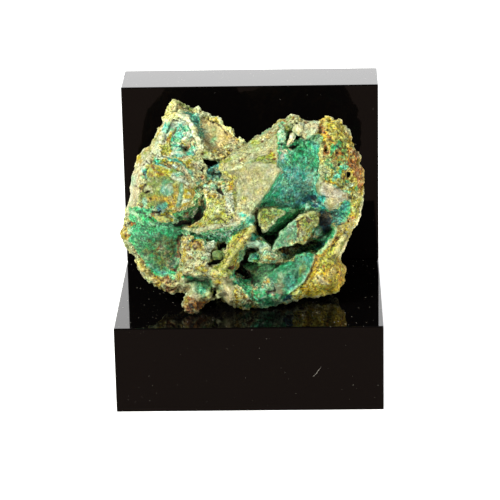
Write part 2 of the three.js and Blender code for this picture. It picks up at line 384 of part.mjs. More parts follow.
// Pits, slits and caves: the outline at the mouth, how high the mouth starts, the depth of the floor, and how much
// smaller the floor is than the mouth.
const CUTS = {
  upperHole: { mouth: [[-10.8, 35.4], [-8.6, 35.0], [-7.0, 35.0], [-7.0, 34.1], [-8.3, 33.8], [-9.4, 33.0],
    [-9.9, 34.0]], from: 2, floor: -8, narrowing: 0.7 },
  brownPit: { mouth: [[-15.3, 38.1], [-14.4, 38.2], [-13.9, 37.3], [-14.4, 36.6], [-15.2, 37.0]],
    from: 1.5, floor: -2.8, narrowing: 0.5 },
  slantSlit: { mouth: [[9.0, 37.7], [9.4, 38.2], [11.0, 38.7], [10.6, 37.9], [9.8, 37.5]],
    from: 1, floor: -5, narrowing: 0.6 },
  crystalGap: { mouth: [[10.0, 40.4], [10.6, 40.8], [11.6, 40.4], [11.4, 39.7], [10.7, 39.4]],
    from: 3, floor: -6, narrowing: 0.7 },
  roundHole: { mouth: [[22.1, 31.9], [22.6, 32.2], [23.1, 31.8], [22.9, 31.3], [22.3, 31.3]],
    from: 2, floor: -5, narrowing: 0.8 },
  ovalPit: { mouth: [[17.3, 38.2], [17.8, 37.6], [17.5, 36.3], [17.0, 36.1], [16.8, 37.2]],
    from: 3.5, floor: -1.2, narrowing: 0.7 },
  cave: { mouth: [[-1.9, 13.0], [-1.0, 15.1], [1.2, 15.4], [1.9, 14.5], [2.4, 12.6], [1.0, 11.6],
    [-2.0, 11.2]], from: 4, floor: -9, narrowing: 0.8 },
  lowerCave: { mouth: [[-3.7, 9.4], [-2.2, 11.6], [-0.4, 10.9], [0.0, 9.4], [0.2, 7.8], [-1.6, 8.2]],
    from: 4, floor: -8, narrowing: 0.7 },
  blockCrevice: { mouth: [[1.1, 21.4], [2.0, 20.6], [2.9, 18.8], [2.3, 17.6], [1.4, 19.0]],
    from: 3, floor: -8, narrowing: 0.7 },
  throat: { mouth: [[3.2, 18.0], [5.8, 18.0], [6.2, 17.0], [5.2, 15.7], [4.3, 15.8], [2.9, 17.1]],
    from: 1.4, floor: -8, narrowing: 0.8 },
  bladeCrevice: { mouth: [[6.9, 15.0], [10.8, 16.0], [15.9, 16.6], [16.8, 15.6], [14.6, 14.3], [10.2, 14.0],
    [8.8, 13.0], [7.2, 13.6]], from: 2, floor: -8, narrowing: 0.85 },
  footGap: { mouth: [[-8.6, 5.6], [-7.7, 5.8], [-7.2, 4.6], [-7.8, 3.6], [-8.6, 3.8]],
    from: 1, floor: -6, narrowing: 0.7 },
  hollowSlit: { mouth: [[-10.2, 8.7], [-9.3, 8.8], [-8.9, 8.2], [-9.6, 8.1]], from: 2, floor: -5, narrowing: 0.6 },
  socketSlit: { mouth: [[-9.2, 11.5], [-7.9, 12.2], [-7.9, 11.7], [-8.8, 11.1]], from: 5, floor: -2, narrowing: 0.7 },
  twiggySlit: { mouth: [[-7.3, 28.3], [-6.6, 28.1], [-5.9, 27.4], [-6.4, 27.1], [-7.1, 27.7]],
    from: 4, floor: -2.5, narrowing: 0.6 },
  boulderHole: { mouth: [[-22.0, 23.4], [-21.3, 23.3], [-20.9, 22.8], [-21.6, 22.9]],
    from: 6, floor: 0.5, narrowing: 0.6 },
  creamPit: { mouth: [[-24.1, 27.7], [-23.2, 28.2], [-22.6, 28.0], [-23.0, 27.3], [-23.8, 27.2]],
    from: 5, floor: 0.6, narrowing: 0.6 },
  rimPit: { mouth: [[22.2, 21.2], [23.3, 22.2], [23.3, 21.4], [22.5, 20.7]], from: 2, floor: -3.4, narrowing: 0.6 },
  bottomHole: { mouth: [[7.9, 3.2], [8.6, 4.2], [9.5, 3.3], [8.7, 2.9]], from: 1, floor: -4, narrowing: 0.6 },
  plateSlit: { mouth: [[-6.1, 35.8], [-5.0, 36.2], [-4.2, 36.3], [-5.2, 35.4]], from: 1.5, floor: -5, narrowing: 0.7 },
  scoopUnderLedge: { mouth: [[-8.0, 16.2], [-4.6, 16.3], [-5.2, 15.2], [-6.4, 14.8], [-7.4, 15.2]],
    from: 2, floor: -4, narrowing: 0.6 },
};

const wasm = await Module();
wasm.setup();

// A closed geometry as a solid that can be joined and cut.
function solidOf(geometry) {
  const bare = geometry.index ? geometry.toNonIndexed() : geometry.clone();
  bare.deleteAttribute("normal");
  bare.deleteAttribute("uv");
  const merged = mergeVertices(bare, 1e-4);
  return new wasm.Manifold(
    new wasm.Mesh({
      numProp: 3,
      vertProperties: new Float32Array(merged.attributes.position.array),
      triVerts: new Uint32Array(merged.index.array),
    }),
  );
}

function geometryOf(solid) {
  const mesh = solid.getMesh();
  const geometry = new THREE.BufferGeometry();
  const corners = new Float32Array(mesh.numVert * 3);
  for (let i = 0; i < mesh.numVert; i++)
    for (let k = 0; k < 3; k++) corners[3 * i + k] = mesh.vertProperties[mesh.numProp * i + k];
  geometry.setAttribute("position", new THREE.BufferAttribute(corners, 3));
  geometry.setIndex(new THREE.BufferAttribute(new Uint32Array(mesh.triVerts), 1));
  geometry.computeVertexNormals();
  return geometry;
}

function hullOf(points) {
  return solidOf(new ConvexGeometry(points.map(placed)));
}

// A steady pseudo-random number from -1 to 1 for a place.
function chance(x, y, z, salt) {
  const wave = Math.sin(x * 127.1 + y * 311.7 + z * 74.7 + salt * 53.3) * 43758.5453;
  return 2 * (wave - Math.floor(wave)) - 1;
}

// Twice the signed area of a triangle as seen from the front.
function turn(a, b, c) {
  return (b[0] - a[0]) * (c[1] - a[1]) - (b[1] - a[1]) * (c[0] - a[0]);
}

// Whether d lies inside the circle through a, b and c, which run counter-clockwise.
function insideCircle(a, b, c, d) {
  const [ax, ay] = [a[0] - d[0], a[1] - d[1]];
  const [bx, by] = [b[0] - d[0], b[1] - d[1]];
  const [cx, cy] = [c[0] - d[0], c[1] - d[1]];
  const a2 = ax * ax + ay * ay;
  const b2 = bx * bx + by * by;
  const c2 = cx * cx + cy * cy;
  return ax * (by * c2 - b2 * cy) - ay * (bx * c2 - b2 * cx) + a2 * (bx * cy - by * cx) > 1e-9;
}

// Triangles over the rim and the inner points. The rim is filled first, then each inner point splits its triangle,
// and edges inside the rim are flipped until every triangle is as even as its points allow.
function drape(points, rimCount) {
  const contour = points.slice(0, rimCount).map(([x, y]) => new THREE.Vector2(x, y));
  const triangles = THREE.ShapeUtils.triangulateShape(contour, []).map((t) =>
    turn(points[t[0]], points[t[1]], points[t[2]]) < 0 ? [t[0], t[2], t[1]] : [...t],
  );
  const across = (a, b) => triangles.findIndex((t) => [0, 1, 2].some((i) => t[i] === b && t[(i + 1) % 3] === a));
  function settle(a, b) {
    const near = across(b, a);
    const far = across(a, b);
    if (near < 0 || far < 0) return;
    const apex = triangles[near].find((p) => p !== a && p !== b);
    const other = triangles[far].find((p) => p !== a && p !== b);
    if (!insideCircle(points[a], points[b], points[apex], points[other])) return;
    triangles[near] = [apex, a, other];
    triangles[far] = [apex, other, b];
    settle(a, other);
    settle(other, b);
  }
  // The filled rim is evened out too, before the inner points go in.
  for (let round = 0; round < 6; round++)
    for (const [a, b, c] of [...triangles]) for (const [p, q] of [[a, b], [b, c], [c, a]]) settle(p, q);
  for (let p = rimCount; p < points.length; p++) {
    const home = triangles.findIndex(
      ([a, b, c]) =>
        turn(points[a], points[b], points[p]) > 0 &&
        turn(points[b], points[c], points[p]) > 0 &&
        turn(points[c], points[a], points[p]) > 0,
    );
    if (home < 0) throw new Error("a corner is outside the rim: " + points[p]);
    const [a, b, c] = triangles[home];
    triangles[home] = [a, b, p];
    triangles.push([b, c, p], [c, a, p]);
    for (const [q, r] of [[a, b], [b, c], [c, a]]) settle(q, r);
  }
  return triangles;
}

// How rough a break is at a point: the plate and the pink faces are smooth, the rest crumbles.
function roughnessAt([across, up, front]) {
  if (front < BACK_STARTS) return BACK_ROUGHNESS;
  const onPlate = across > -4 && across < 6.5 && up > 24 && up < 41 && front > 0;
  const onPink = front > -3 && Math.hypot(across - 18.6, up - 26.8) < 2.6;
  return onPlate || onPink ? PLATE_ROUGHNESS : ROUGHNESS;
}

// A rim corner moved to or from the viewer by a few uneven waves.
function swung([across, up, front]) {
  const waves = Math.sin(across * 0.31 + up * 0.52) + 0.7 * Math.sin(across * 0.9 - up * 0.74 + 1.7);
  const fade = Math.min(1, Math.max(0, (up - 3) / SWING_FADES_BELOW));
  return [across, up, front + (RIM_SWING * fade * waves) / 1.7];
}

// Splits every edge that is too long at its middle and moves the new corner a little, until none is too long.
function roughened(points, triangles) {
  let faces = triangles;
  for (let pass = 0; pass < 8; pass++) {
    const middles = new Map();
    function middle(a, b) {
      const key = Math.min(a, b) + "," + Math.max(a, b);
      if (middles.has(key)) return middles.get(key);
      const [pa, pb] = [points[a], points[b]];
      const length = Math.hypot(pa[0] - pb[0], pa[1] - pb[1], pa[2] - pb[2]);
      const mid = pa.map((value, k) => (value + pb[k]) / 2);
      if (length < (mid[2] < BACK_STARTS ? BACK_EDGE : FRONT_EDGE)) return undefined;
      const reach = length * roughnessAt(mid);
      const moved = mid.map((value, k) => value + (k === 2 ? reach : reach / 2) * chance(...mid, k));
      points.push(moved);
      middles.set(key, points.length - 1);
      return points.length - 1;
    }
    const next = [];
    for (const [a, b, c] of faces) {
      const [ab, bc, ca] = [middle(a, b), middle(b, c), middle(c, a)];
      next.push(...splitFace([a, b, c], [ab, bc, ca]));
    }
    if (next.length === faces.length) return faces;
    faces = next;
  }
  return faces;
}

// One triangle split at whichever of its three edges have a middle corner.
function splitFace(corners, middles) {
  const count = middles.filter((m) => m !== undefined).length;
  if (count === 0) return [corners];
  const start = [0, 1, 2].find((i) =>
    count === 2 ? middles[i] === undefined : middles[i] !== undefined,
  );
  const [a, b, c] = [0, 1, 2].map((i) => corners[(start + i) % 3]);
  const [ab, bc, ca] = [0, 1, 2].map((i) => middles[(start + i) % 3]);
  if (count === 3) return [[a, ab, ca], [ab, b, bc], [ca, bc, c], [ab, bc, ca]];
  if (count === 2) return [[a, b, bc], [a, bc, ca], [ca, bc, c]];
  return [[a, ab, c], [ab, b, c]];
}

// The closed body of the specimen before its crystals and pits: the front and the back meet at the rim.
function crustSolid() {
  const rim = RIM.map(swung).reverse();
  const frontPoints = Object.values(FRONT).flat();
  const backPoints = Object.values(BACK).flat();
  const front = drape([...rim, ...frontPoints], rim.length);
  const back = drape([...rim, ...backPoints], rim.length);
  const points = [...rim, ...frontPoints, ...backPoints].map((p) => [...p]);
  const backIndex = (i) => (i < rim.length ? i : i + frontPoints.length);
  const shell = [...front, ...back.map(([a, b, c]) => [backIndex(a), backIndex(c), backIndex(b)])];
  const faces = roughened(points, shell);
  const geometry = new THREE.BufferGeometry();
  geometry.setAttribute(
    "position",
    new THREE.Float32BufferAttribute(points.flatMap((p) => placed(p).toArray()), 3),
  );
  geometry.setIndex(faces.flat());
  return solidOf(geometry);
}

function cutSolid({ mouth, from, floor, narrowing }) {
  const middle = [0, 1].map((k) => mouth.reduce((sum, p) => sum + p[k], 0) / mouth.length);
  const bottom = mouth.map((p) => p.map((value, k) => middle[k] + narrowing * (value - middle[k])));
  return hullOf([...mouth.map((p) => [...p, from]), ...bottom.map((p) => [...p, floor])]);
}

// The corners of one chunk, spread evenly round a squashed ball and pushed in or out a little.
function chunkCorners({ centre, reach }) {
  const corners = [];
  for (let i = 0; i < CHUNK_CORNERS; i++) {
    const level = 1 - (2 * i + 1) / CHUNK_CORNERS;
    const ring = Math.sqrt(1 - level * level);
    const around = i * Math.PI * (3 - Math.sqrt(5));
    const uneven = 1 + CHUNK_UNEVENNESS * chance(...centre, i);
    const direction = [ring * Math.cos(around), ring * Math.sin(around), level];
    corners.push(direction.map((value, k) => centre[k] + reach[k] * uneven * value));
  }
  return corners;
}

// Everything lower than the base's top, in the specimen's own frame.
function belowBase(placement) {
  const size = 200;
  const box = new THREE.BoxGeometry(size, size, size);
  box.translate(0, 0, BASE_HEIGHT + REST_GAP - size / 2);
  box.applyMatrix4(placement.clone().invert());
  return solidOf(box);
}

function specimenMesh() {
  const mesh = new THREE.Mesh();
  mesh.name = "specimen";
  mesh.position.copy(FOOT_ORIGIN);
  mesh.rotation.set(-LEAN_BACK, DROP_RIGHT, TURN_LEFT, "ZXY");
  mesh.updateMatrix();
  let solid = crustSolid();
  for (const cut of Object.values(CUTS)) solid = solid.subtract(cutSolid(cut));
  for (const corners of Object.values(CRYSTALS)) solid = solid.add(hullOf(corners));
  for (const chunk of CHUNKS) solid = solid.add(hullOf(chunkCorners(chunk)));
  const ball = new THREE.IcosahedronGeometry(OLIVE_BALL.radius, 2);
  ball.translate(...placed(OLIVE_BALL.centre).toArray());
  solid = solid.add(solidOf(ball));
  solid = solid.subtract(belowBase(mesh.matrix));
  mesh.geometry = geometryOf(solid);
  mesh.material = new THREE.MeshStandardMaterial({ color: 0x7fae84, roughness: 0.85, metalness: 0 });
  return mesh;
}

// One polished black block of the stand, given its size and the height and depth that it is set at.
function standBlock(name, depth, height, middleY, bottomZ) {
  const material = new THREE.MeshStandardMaterial({ color: 0x0b0909, roughness: 0.08, metalness: 0 });
  const mesh = new THREE.Mesh(new THREE.BoxGeometry(STAND_WIDTH, depth, height), material);
  mesh.name = name;
  mesh.position.set(0, middleY, bottomZ + height / 2);
  return mesh;
}

const group = new THREE.Group();
group.add(standBlock("stand_base", BASE_DEPTH, BASE_HEIGHT, 0, 0));
group.add(
  standBlock(
    "stand_back",
    BACK_THICKNESS,
    STAND_HEIGHT - BASE_HEIGHT,
    BASE_DEPTH / 2 - BACK_THICKNESS / 2,
    BASE_HEIGHT,
  ),
);
group.add(specimenMesh());

export default group;
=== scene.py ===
import math

import bmesh
import bpy
import numpy as np
from mathutils import Matrix, Vector, noise


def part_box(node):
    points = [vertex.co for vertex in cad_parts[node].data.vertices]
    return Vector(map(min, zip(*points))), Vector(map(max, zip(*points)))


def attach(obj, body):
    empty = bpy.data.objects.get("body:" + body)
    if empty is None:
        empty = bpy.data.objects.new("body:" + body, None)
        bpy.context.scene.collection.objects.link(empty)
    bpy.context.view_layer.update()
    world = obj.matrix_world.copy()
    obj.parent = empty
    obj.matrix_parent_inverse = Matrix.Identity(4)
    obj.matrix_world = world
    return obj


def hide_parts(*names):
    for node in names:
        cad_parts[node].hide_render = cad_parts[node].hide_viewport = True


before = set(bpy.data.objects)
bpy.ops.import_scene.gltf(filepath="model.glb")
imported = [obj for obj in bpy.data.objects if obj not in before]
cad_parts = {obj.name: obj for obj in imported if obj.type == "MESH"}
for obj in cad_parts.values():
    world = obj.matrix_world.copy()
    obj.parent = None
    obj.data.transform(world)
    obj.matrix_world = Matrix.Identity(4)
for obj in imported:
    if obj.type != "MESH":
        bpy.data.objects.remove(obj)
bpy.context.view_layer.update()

# The camera
# A long lens stands half a metre in front of the stand and looks a little down on it, as in the photograph.
# Its place and turn come from the ten corners of the stand that the photograph shows.
CAMERA_PLACE = (0.0163, -0.5609, 0.2229)
CAMERA_YAW = math.radians(-1.681)
CAMERA_PITCH = math.radians(19.171)
CAMERA_ROLL = math.radians(-1.160)
FOCAL_LENGTH = 184.4
SENSOR_WIDTH = 36

forward = Vector((
    math.sin(CAMERA_YAW) * math.cos(CAMERA_PITCH),
    math.cos(CAMERA_YAW) * math.cos(CAMERA_PITCH),
    -math.sin(CAMERA_PITCH),
))
level_right = forward.cross(Vector((0, 0, 1))).normalized()
level_up = level_right.cross(forward)
right = level_right * math.cos(CAMERA_ROLL) + level_up * math.sin(CAMERA_ROLL)
up = level_up * math.cos(CAMERA_ROLL) - level_right * math.sin(CAMERA_ROLL)
camera_data = bpy.data.cameras.new("camera")
camera_data.lens = FOCAL_LENGTH
camera_data.sensor_width = SENSOR_WIDTH
camera_data.clip_start = 0.01
camera = bpy.data.objects.new("camera", camera_data)
camera.matrix_world = Matrix.Translation(CAMERA_PLACE) @ Matrix((right, up, -forward)).transposed().to_4x4()
bpy.context.scene.collection.objects.link(camera)
bpy.context.scene.camera = camera
bpy.context.scene.view_settings.view_transform = "Standard"
bpy.context.scene.view_settings.look = "None"


# The table top
# A sheet of opal white acrylic, sanded matt and lit from below, as on a studio table that throws no shadows.
# The light that comes through it keeps the floor plain white right up to the stand.
TABLE_HALF_WIDTH = 3.0
TABLE_WHITE = "#F0F0EE"
TABLE_GREY = "#E6E6E4"
TABLE_GLOW = 0.8
TABLE_SANDING_MM = 1.5


def linear(hex_colour, alpha=1.0):
    channels = [int(hex_colour[i:i + 2], 16) / 255 for i in (1, 3, 5)]
    return [c / 12.92 if c <= 0.04045 else ((c + 0.055) / 1.055) ** 2.4 for c in channels] + [alpha]


def add(tree, kind, settings=None, **inputs):
    """A node of that kind with its settings. An input is a number, a colour, or another node's output."""
    node = tree.nodes.new(kind)
    for name, value in (settings or {}).items():
        setattr(node, name, value)
    for name, value in inputs.items():
        number = name.rpartition("_")[2]
        socket = node.inputs[int(number) if number.isdigit() else name.replace("_", " ")]
        if isinstance(value, bpy.types.NodeSocket):
            tree.links.new(value, socket)
        else:
            socket.default_value = value
    return node


def new_material(name):
    material = bpy.data.materials.new(name)
    material.use_nodes = True
    material.node_tree.nodes.clear()
    return material, material.node_tree


def new_piece(name, mesh, material):
    piece = bpy.data.objects.new(name, mesh)
    piece.data.materials.clear()
    piece.data.materials.append(material)
    bpy.context.scene.collection.objects.link(piece)
    return piece


opal_acrylic, tree = new_material("sanded_opal_acrylic")
place = add(tree, "ShaderNodeTexCoord").outputs["Object"]
sanding = add(tree, "ShaderNodeTexNoise", Vector=place, Scale=1000 / TABLE_SANDING_MM, Detail=2.0).outputs["Fac"]
colour = add(
    tree, "ShaderNodeMix", {"data_type": "RGBA"}, Factor_0=sanding, A_6=linear(TABLE_GREY), B_7=linear(TABLE_WHITE)
).outputs[2]
bump = add(tree, "ShaderNodeBump", Height=sanding, Distance=0.00002, Strength=0.2).outputs[0]
surface = add(
    tree, "ShaderNodeBsdfPrincipled", Base_Color=colour, Roughness=0.9, Normal=bump,
    Emission_Color=linear("#FFFFFF"), Emission_Strength=TABLE_GLOW,
)
add(tree, "ShaderNodeOutputMaterial", Surface=surface.outputs[0])
table_mesh = bpy.data.meshes.new("table_top")
table_corners = [(x * TABLE_HALF_WIDTH, y * TABLE_HALF_WIDTH, 0) for x, y in ((-1, -1), (1, -1), (1, 1), (-1, 1))]
table_mesh.from_pydata(table_corners, [], [(0, 1, 2, 3)])
new_piece("table_top", table_mesh, opal_acrylic)


# The studio light
# A soft white room, one large softbox from the upper left, a weaker one from the right, and a bright panel far behind,
# which is what the polished tops of the stand mirror.
world = bpy.data.worlds.new("white_room")
bpy.context.scene.world = world
world.use_nodes = True
world.node_tree.nodes["Background"].inputs["Color"].default_value = (0.93, 0.96, 1.0, 1.0)
world.node_tree.nodes["Background"].inputs["Strength"].default_value = 0.30


def softbox(name, place, aim, width, height, power, colour=(1.0, 1.0, 1.0)):
    data = bpy.data.lights.new(name, "AREA")
    data.shape = "RECTANGLE"
    data.size = width
    data.size_y = height
    data.energy = power
    data.color = colour
    lamp = bpy.data.objects.new(name, data)
    lamp.location = place
    lamp.rotation_euler = (Vector(aim) - Vector(place)).to_track_quat("-Z", "Y").to_euler()
    bpy.context.scene.collection.objects.link(lamp)


softbox("softbox_left", (-0.60, -0.58, 0.80), (0, 0, 0.04), 0.28, 0.28, 17.0, (1.0, 0.99, 0.94))
softbox("softbox_right", (0.75, -0.7, 0.5), (0, 0, 0.04), 0.4, 0.4, 2.5)
softbox("panel_behind", (-0.05, 1.6, 0.62), (0, 0, 0.05), 1.3, 0.5, 6.2)


# The stand
# Two blocks of cast acrylic sheet, sawn square, polished on all faces and glued into an L.
# The edges are broken a quarter of a millimetre by the polishing.
EDGE_BREAK = 0.00025
EDGE_STEPS = 3


def polished_block(name, node, material):
    low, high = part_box(node)
    block = bmesh.new()
    bmesh.ops.create_cube(block, size=1.0)
    for vertex in block.verts:
        vertex.co = [low[k] + (vertex.co[k] + 0.5) * (high[k] - low[k]) for k in range(3)]
    bmesh.ops.bevel(
        block, geom=block.edges[:], offset=EDGE_BREAK, segments=EDGE_STEPS, profile=0.5,
        affect="EDGES", clamp_overlap=True,
    )
    mesh = bpy.data.meshes.new(name)
    block.to_mesh(mesh)
    block.free()
    mesh.polygons.foreach_set("use_smooth", [False] * len(mesh.polygons))
    piece = new_piece(name, mesh, material)
    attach(piece, "root")
    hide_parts(node)


# Polished black cast acrylic: nearly black in itself, so it shows what it mirrors. It has faint polishing waves,
# hairline wipe marks and grains of dust.
POLISH_WAVE_MM = 14
WIPE_MARK_MM = 0.5
DUST_SPACING_MM = 0.8
DUST_GRAIN_MM = 0.17
DUST_CLUSTER_MM = 9
LINT_PLACE = (0.0158, -0.030, 0.0101)
LINT_HALF_SIZE = (0.0015, 0.001, 0.00004)
LINT_CURL_MM = 2.5

black_acrylic, tree = new_material("polished_black_cast_acrylic")
place = add(tree, "ShaderNodeTexCoord").outputs["Object"]
waves = add(tree, "ShaderNodeTexNoise", Vector=place, Scale=1000 / POLISH_WAVE_MM, Detail=1.0).outputs["Fac"]
stretched = add(
    tree, "ShaderNodeMapping", Vector=place, Rotation=(0.3, 0.2, 0.5), Scale=(1.0, 0.03, 0.35)
).outputs[0]
wipes = add(tree, "ShaderNodeTexNoise", Vector=stretched, Scale=1000 / WIPE_MARK_MM, Detail=2.0).outputs["Fac"]
wipe_marks = add(
    tree, "ShaderNodeMapRange", Value=wipes, From_Min=0.62, From_Max=0.75, To_Min=0.0, To_Max=1.0
).outputs[0]
specks_of_dust = add(
    tree, "ShaderNodeTexVoronoi", Vector=place, Scale=1000 / DUST_SPACING_MM, Randomness=1.0
)
dust_size = add(
    tree, "ShaderNodeSeparateColor", Color=specks_of_dust.outputs["Color"]
).outputs[0]
grain_reach = add(
    tree, "ShaderNodeMapRange", Value=dust_size, From_Min=0.5, From_Max=1.0,
    To_Min=0.0, To_Max=DUST_GRAIN_MM / DUST_SPACING_MM,
).outputs[0]
# Dust settles on the faces that look up, and more in some places than in others.
clusters = add(tree, "ShaderNodeTexNoise", Vector=place, Scale=1000 / DUST_CLUSTER_MM, Detail=2.0).outputs["Fac"]
clusters = add(
    tree, "ShaderNodeMapRange", Value=clusters, From_Min=0.38, From_Max=0.62, To_Min=0.35, To_Max=1.1
).outputs[0]
looking = add(tree, "ShaderNodeNewGeometry").outputs["Normal"]
upward = add(tree, "ShaderNodeSeparateXYZ", Vector=looking).outputs[2]
upward = add(tree, "ShaderNodeMapRange", Value=upward, From_Min=0.2, From_Max=0.9, To_Min=0.35, To_Max=1.0).outputs[0]
settled = add(tree, "ShaderNodeMath", {"operation": "MULTIPLY"}, Value_0=clusters, Value_1=upward).outputs[0]
grain_reach = add(tree, "ShaderNodeMath", {"operation": "MULTIPLY"}, Value_0=grain_reach, Value_1=settled).outputs[0]
dusty = add(
    tree, "ShaderNodeMath", {"operation": "LESS_THAN"}, Value_0=specks_of_dust.outputs["Distance"], Value_1=grain_reach
).outputs[0]
colour = add(
    tree, "ShaderNodeMix", {"data_type": "RGBA"}, Factor_0=dusty, A_6=linear("#050404"), B_7=linear("#8E8A80")
).outputs[2]
# One curled fibre of lint clings to the front of the base.
curls = add(tree, "ShaderNodeTexNoise", Vector=place, Scale=1000 / LINT_CURL_MM, Detail=1.0).outputs["Color"]
curled = add(
    tree, "ShaderNodeVectorMath", {"operation": "MULTIPLY_ADD"},
    Vector_0=curls, Vector_1=(0.0012, 0.0, 0.0012), Vector_2=place,
).outputs[0]
along_lint = add(
    tree, "ShaderNodeMapping", {"vector_type": "TEXTURE"},
    Vector=curled, Location=LINT_PLACE, Rotation=(0.0, math.radians(-53), 0.0), Scale=LINT_HALF_SIZE,
).outputs[0]
in_lint = add(tree, "ShaderNodeTexGradient", {"gradient_type": "SPHERICAL"}, Vector=along_lint).outputs["Fac"]
in_lint = add(tree, "ShaderNodeMath", {"operation": "GREATER_THAN"}, Value_0=in_lint, Value_1=0.05).outputs[0]
colour = add(
    tree, "ShaderNodeMix", {"data_type": "RGBA"}, Factor_0=in_lint, A_6=colour, B_7=linear("#858178")
).outputs[2]
roughness = add(
    tree, "ShaderNodeMapRange", Value=wipe_marks, From_Min=0.0, From_Max=1.0, To_Min=0.03, To_Max=0.09
).outputs[0]
bump = add(tree, "ShaderNodeBump", Height=waves, Distance=0.0001, Strength=0.15).outputs[0]
surface = add(
    tree, "ShaderNodeBsdfPrincipled", Base_Color=colour, Roughness=roughness, IOR=1.25, Normal=bump,
    Specular_Tint=(0.27, 0.18, 0.14, 1.0),
)
add(tree, "ShaderNodeOutputMaterial", Surface=surface.outputs[0])
polished_block("acrylic_base", "stand_base", black_acrylic)
polished_block("acrylic_back", "stand_back", black_acrylic)


# The specimen
# One natural piece: bournonite altered to soft crusts of green, teal and yellow over a cream and ochre matrix.
# Its form is the fixed frame's, remeshed finely, so that the grain of each crust can be raised on it.
VOXEL = 0.0003
VIEW_DISTANCE = 576.3
TRUE_SIZE_DISTANCE = 582.2
SIGHT_AXIS_UP = 14.55
FOOT = (0.15, -21.5, 20.04)
LEAN = Matrix.Rotation(math.radians(1.68), 3, "Z") @ Matrix.Rotation(math.radians(-19.17), 3, "X")
LEAN = LEAN @ Matrix.Rotation(math.radians(1.16), 3, "Y")

rough_cast = bpy.data.objects.new("rough_cast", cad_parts["specimen"].data.copy())
bpy.context.scene.collection.objects.link(rough_cast)
remesh = rough_cast.modifiers.new("remesh", "REMESH")
remesh.mode = "VOXEL"
remesh.voxel_size = VOXEL
bpy.context.view_layer.update()
crust_mesh = bpy.data.meshes.new_from_object(rough_cast.evaluated_get(bpy.context.evaluated_depsgraph_get()))
bpy.data.objects.remove(rough_cast)
crust_mesh.name = "specimen_crust"
vertex_count = len(crust_mesh.vertices)


def places():
    flat = np.empty(vertex_count * 3, np.float32)
    crust_mesh.vertices.foreach_get("co", flat)
    return flat.reshape(-1, 3).astype(float) * 1000


def normals():
    flat = np.empty(vertex_count * 3, np.float32)
    crust_mesh.vertex_normals.foreach_get("vector", flat)
    return flat.reshape(-1, 3).astype(float)


# Each corner's place as the photograph shows it: across, up and toward the front, in millimetres.
leaning = (places() - np.array(FOOT)) @ np.array(LEAN)
front = -leaning[:, 1]
drawn_in = (VIEW_DISTANCE - front) / TRUE_SIZE_DISTANCE
across = leaning[:, 0] / drawn_in
height = (leaning[:, 2] - SIGHT_AXIS_UP * VIEW_DISTANCE / TRUE_SIZE_DISTANCE) / drawn_in + SIGHT_AXIS_UP
facing = -(normals() @ np.array(LEAN))[:, 1]


def grain(size, salt=0.0):
    """Smooth noise from -1 to 1 at each corner, with lumps of that size in millimetres."""
    shift = Vector((salt * 3.1, salt * 7.7, salt * 1.3))
    return np.array([noise.noise(Vector(p) / size + shift) for p in leaning])


# The crusts, each given as how much of it lies at every corner of the mesh. The dark one is painted shade in holes,
# crevices and pits, the dark green one is painted shade on shaded faces and in hollows, and the ivory one is partly a
# pale crust and partly a painted highlight along lit edges.
MINERALS = (
    "cream", "plate", "sand", "ochre", "rust", "lime", "olive", "mint",
    "malachite", "turquoise", "azure", "deepblue", "ivory_and_highlight", "white", "shaded_green", "dark",
)
SOFT_EDGE = 0.7
amounts = np.zeros((len(MINERALS), vertex_count))
# The edges of a crust wander, a little where it faces the viewer and much more on faces that turn away.
sideways = np.clip(1 - facing / 0.45, 0, 1)
ragged_across = across + 0.26 * grain(1.3, 11) + 0.13 * grain(0.6, 12) + 1.6 * sideways * grain(2.6, 15)
ragged_height = height + 0.26 * grain(1.3, 13) + 0.13 * grain(0.6, 14) + 1.6 * sideways * grain(2.6, 16)
fray = 0.55 * grain(0.9, 17) + 0.25 * grain(0.45, 18)
on_front = np.ones(vertex_count)
EVERYWHERE = np.arange(vertex_count)


def lay(mineral, cover, here=EVERYWHERE):
    """Lays a crust over what is there, by a share from 0 to 1 at each corner of here."""
    cover = cover * on_front[here]
    amounts[:, here] *= 1 - cover
    amounts[MINERALS.index(mineral), here] += cover


def near(points, reach):
    """The corners in the box round some points, widened by reach."""
    xs, ys = zip(*points)
    beside = (ragged_across > min(xs) - reach) & (ragged_across < max(xs) + reach)
    level = (ragged_height > min(ys) - reach) & (ragged_height < max(ys) + reach)
    return np.flatnonzero(beside & level & (on_front > 0))


def soft(inside):
    """From a distance inside an outline, in millimetres, to a share with a soft edge."""
    share = np.clip(0.5 + inside / SOFT_EDGE, 0, 1)
    return share * share * (3 - 2 * share)


def distance_to(points, here):
    """How far each corner of here is from a line through points."""
    nearest = np.full(len(here), 1e9)
    for (ax, ay), (bx, by) in zip(points[:-1], points[1:]):
        dx = ragged_across[here] - ax
        dy = ragged_height[here] - ay
        along = np.clip((dx * (bx - ax) + dy * (by - ay)) / ((bx - ax) ** 2 + (by - ay) ** 2), 0, 1)
        nearest = np.minimum(nearest, np.hypot(dx - along * (bx - ax), dy - along * (by - ay)))
    return nearest


def inside_outline(points, here):
    """Distance inside a closed outline: positive within it and negative outside."""
    ring = list(points) + [points[0]]
    xs = ragged_across[here]
    ys = ragged_height[here]
    within = np.zeros(len(here), bool)
    for (ax, ay), (bx, by) in zip(ring[:-1], ring[1:]):
        if ay != by:
            within ^= ((ay > ys) != (by > ys)) & (xs < ax + (ys - ay) * (bx - ax) / (by - ay))
    return np.where(within, 1, -1) * distance_to(ring, here)


def field(mineral, strength, *points):
    here = near(points, 1)
    lay(mineral, strength * soft(inside_outline(points, here)), here)


def patch(mineral, x, y, wide, high, tilt=0, strength=1.0):
    """An oval, given by its middle and its half width and half height."""
    here = near([(x, y)], max(wide, high) + 1)
    turn = math.radians(tilt)
    dx = ragged_across[here] - x
    dy = ragged_height[here] - y
    along = (dx * math.cos(turn) + dy * math.sin(turn)) / wide
    off = (dy * math.cos(turn) - dx * math.sin(turn)) / high
    lay(mineral, strength * soft((1 - np.hypot(along, off)) * min(wide, high) + min(wide, high, 1) * fray[here]), here)


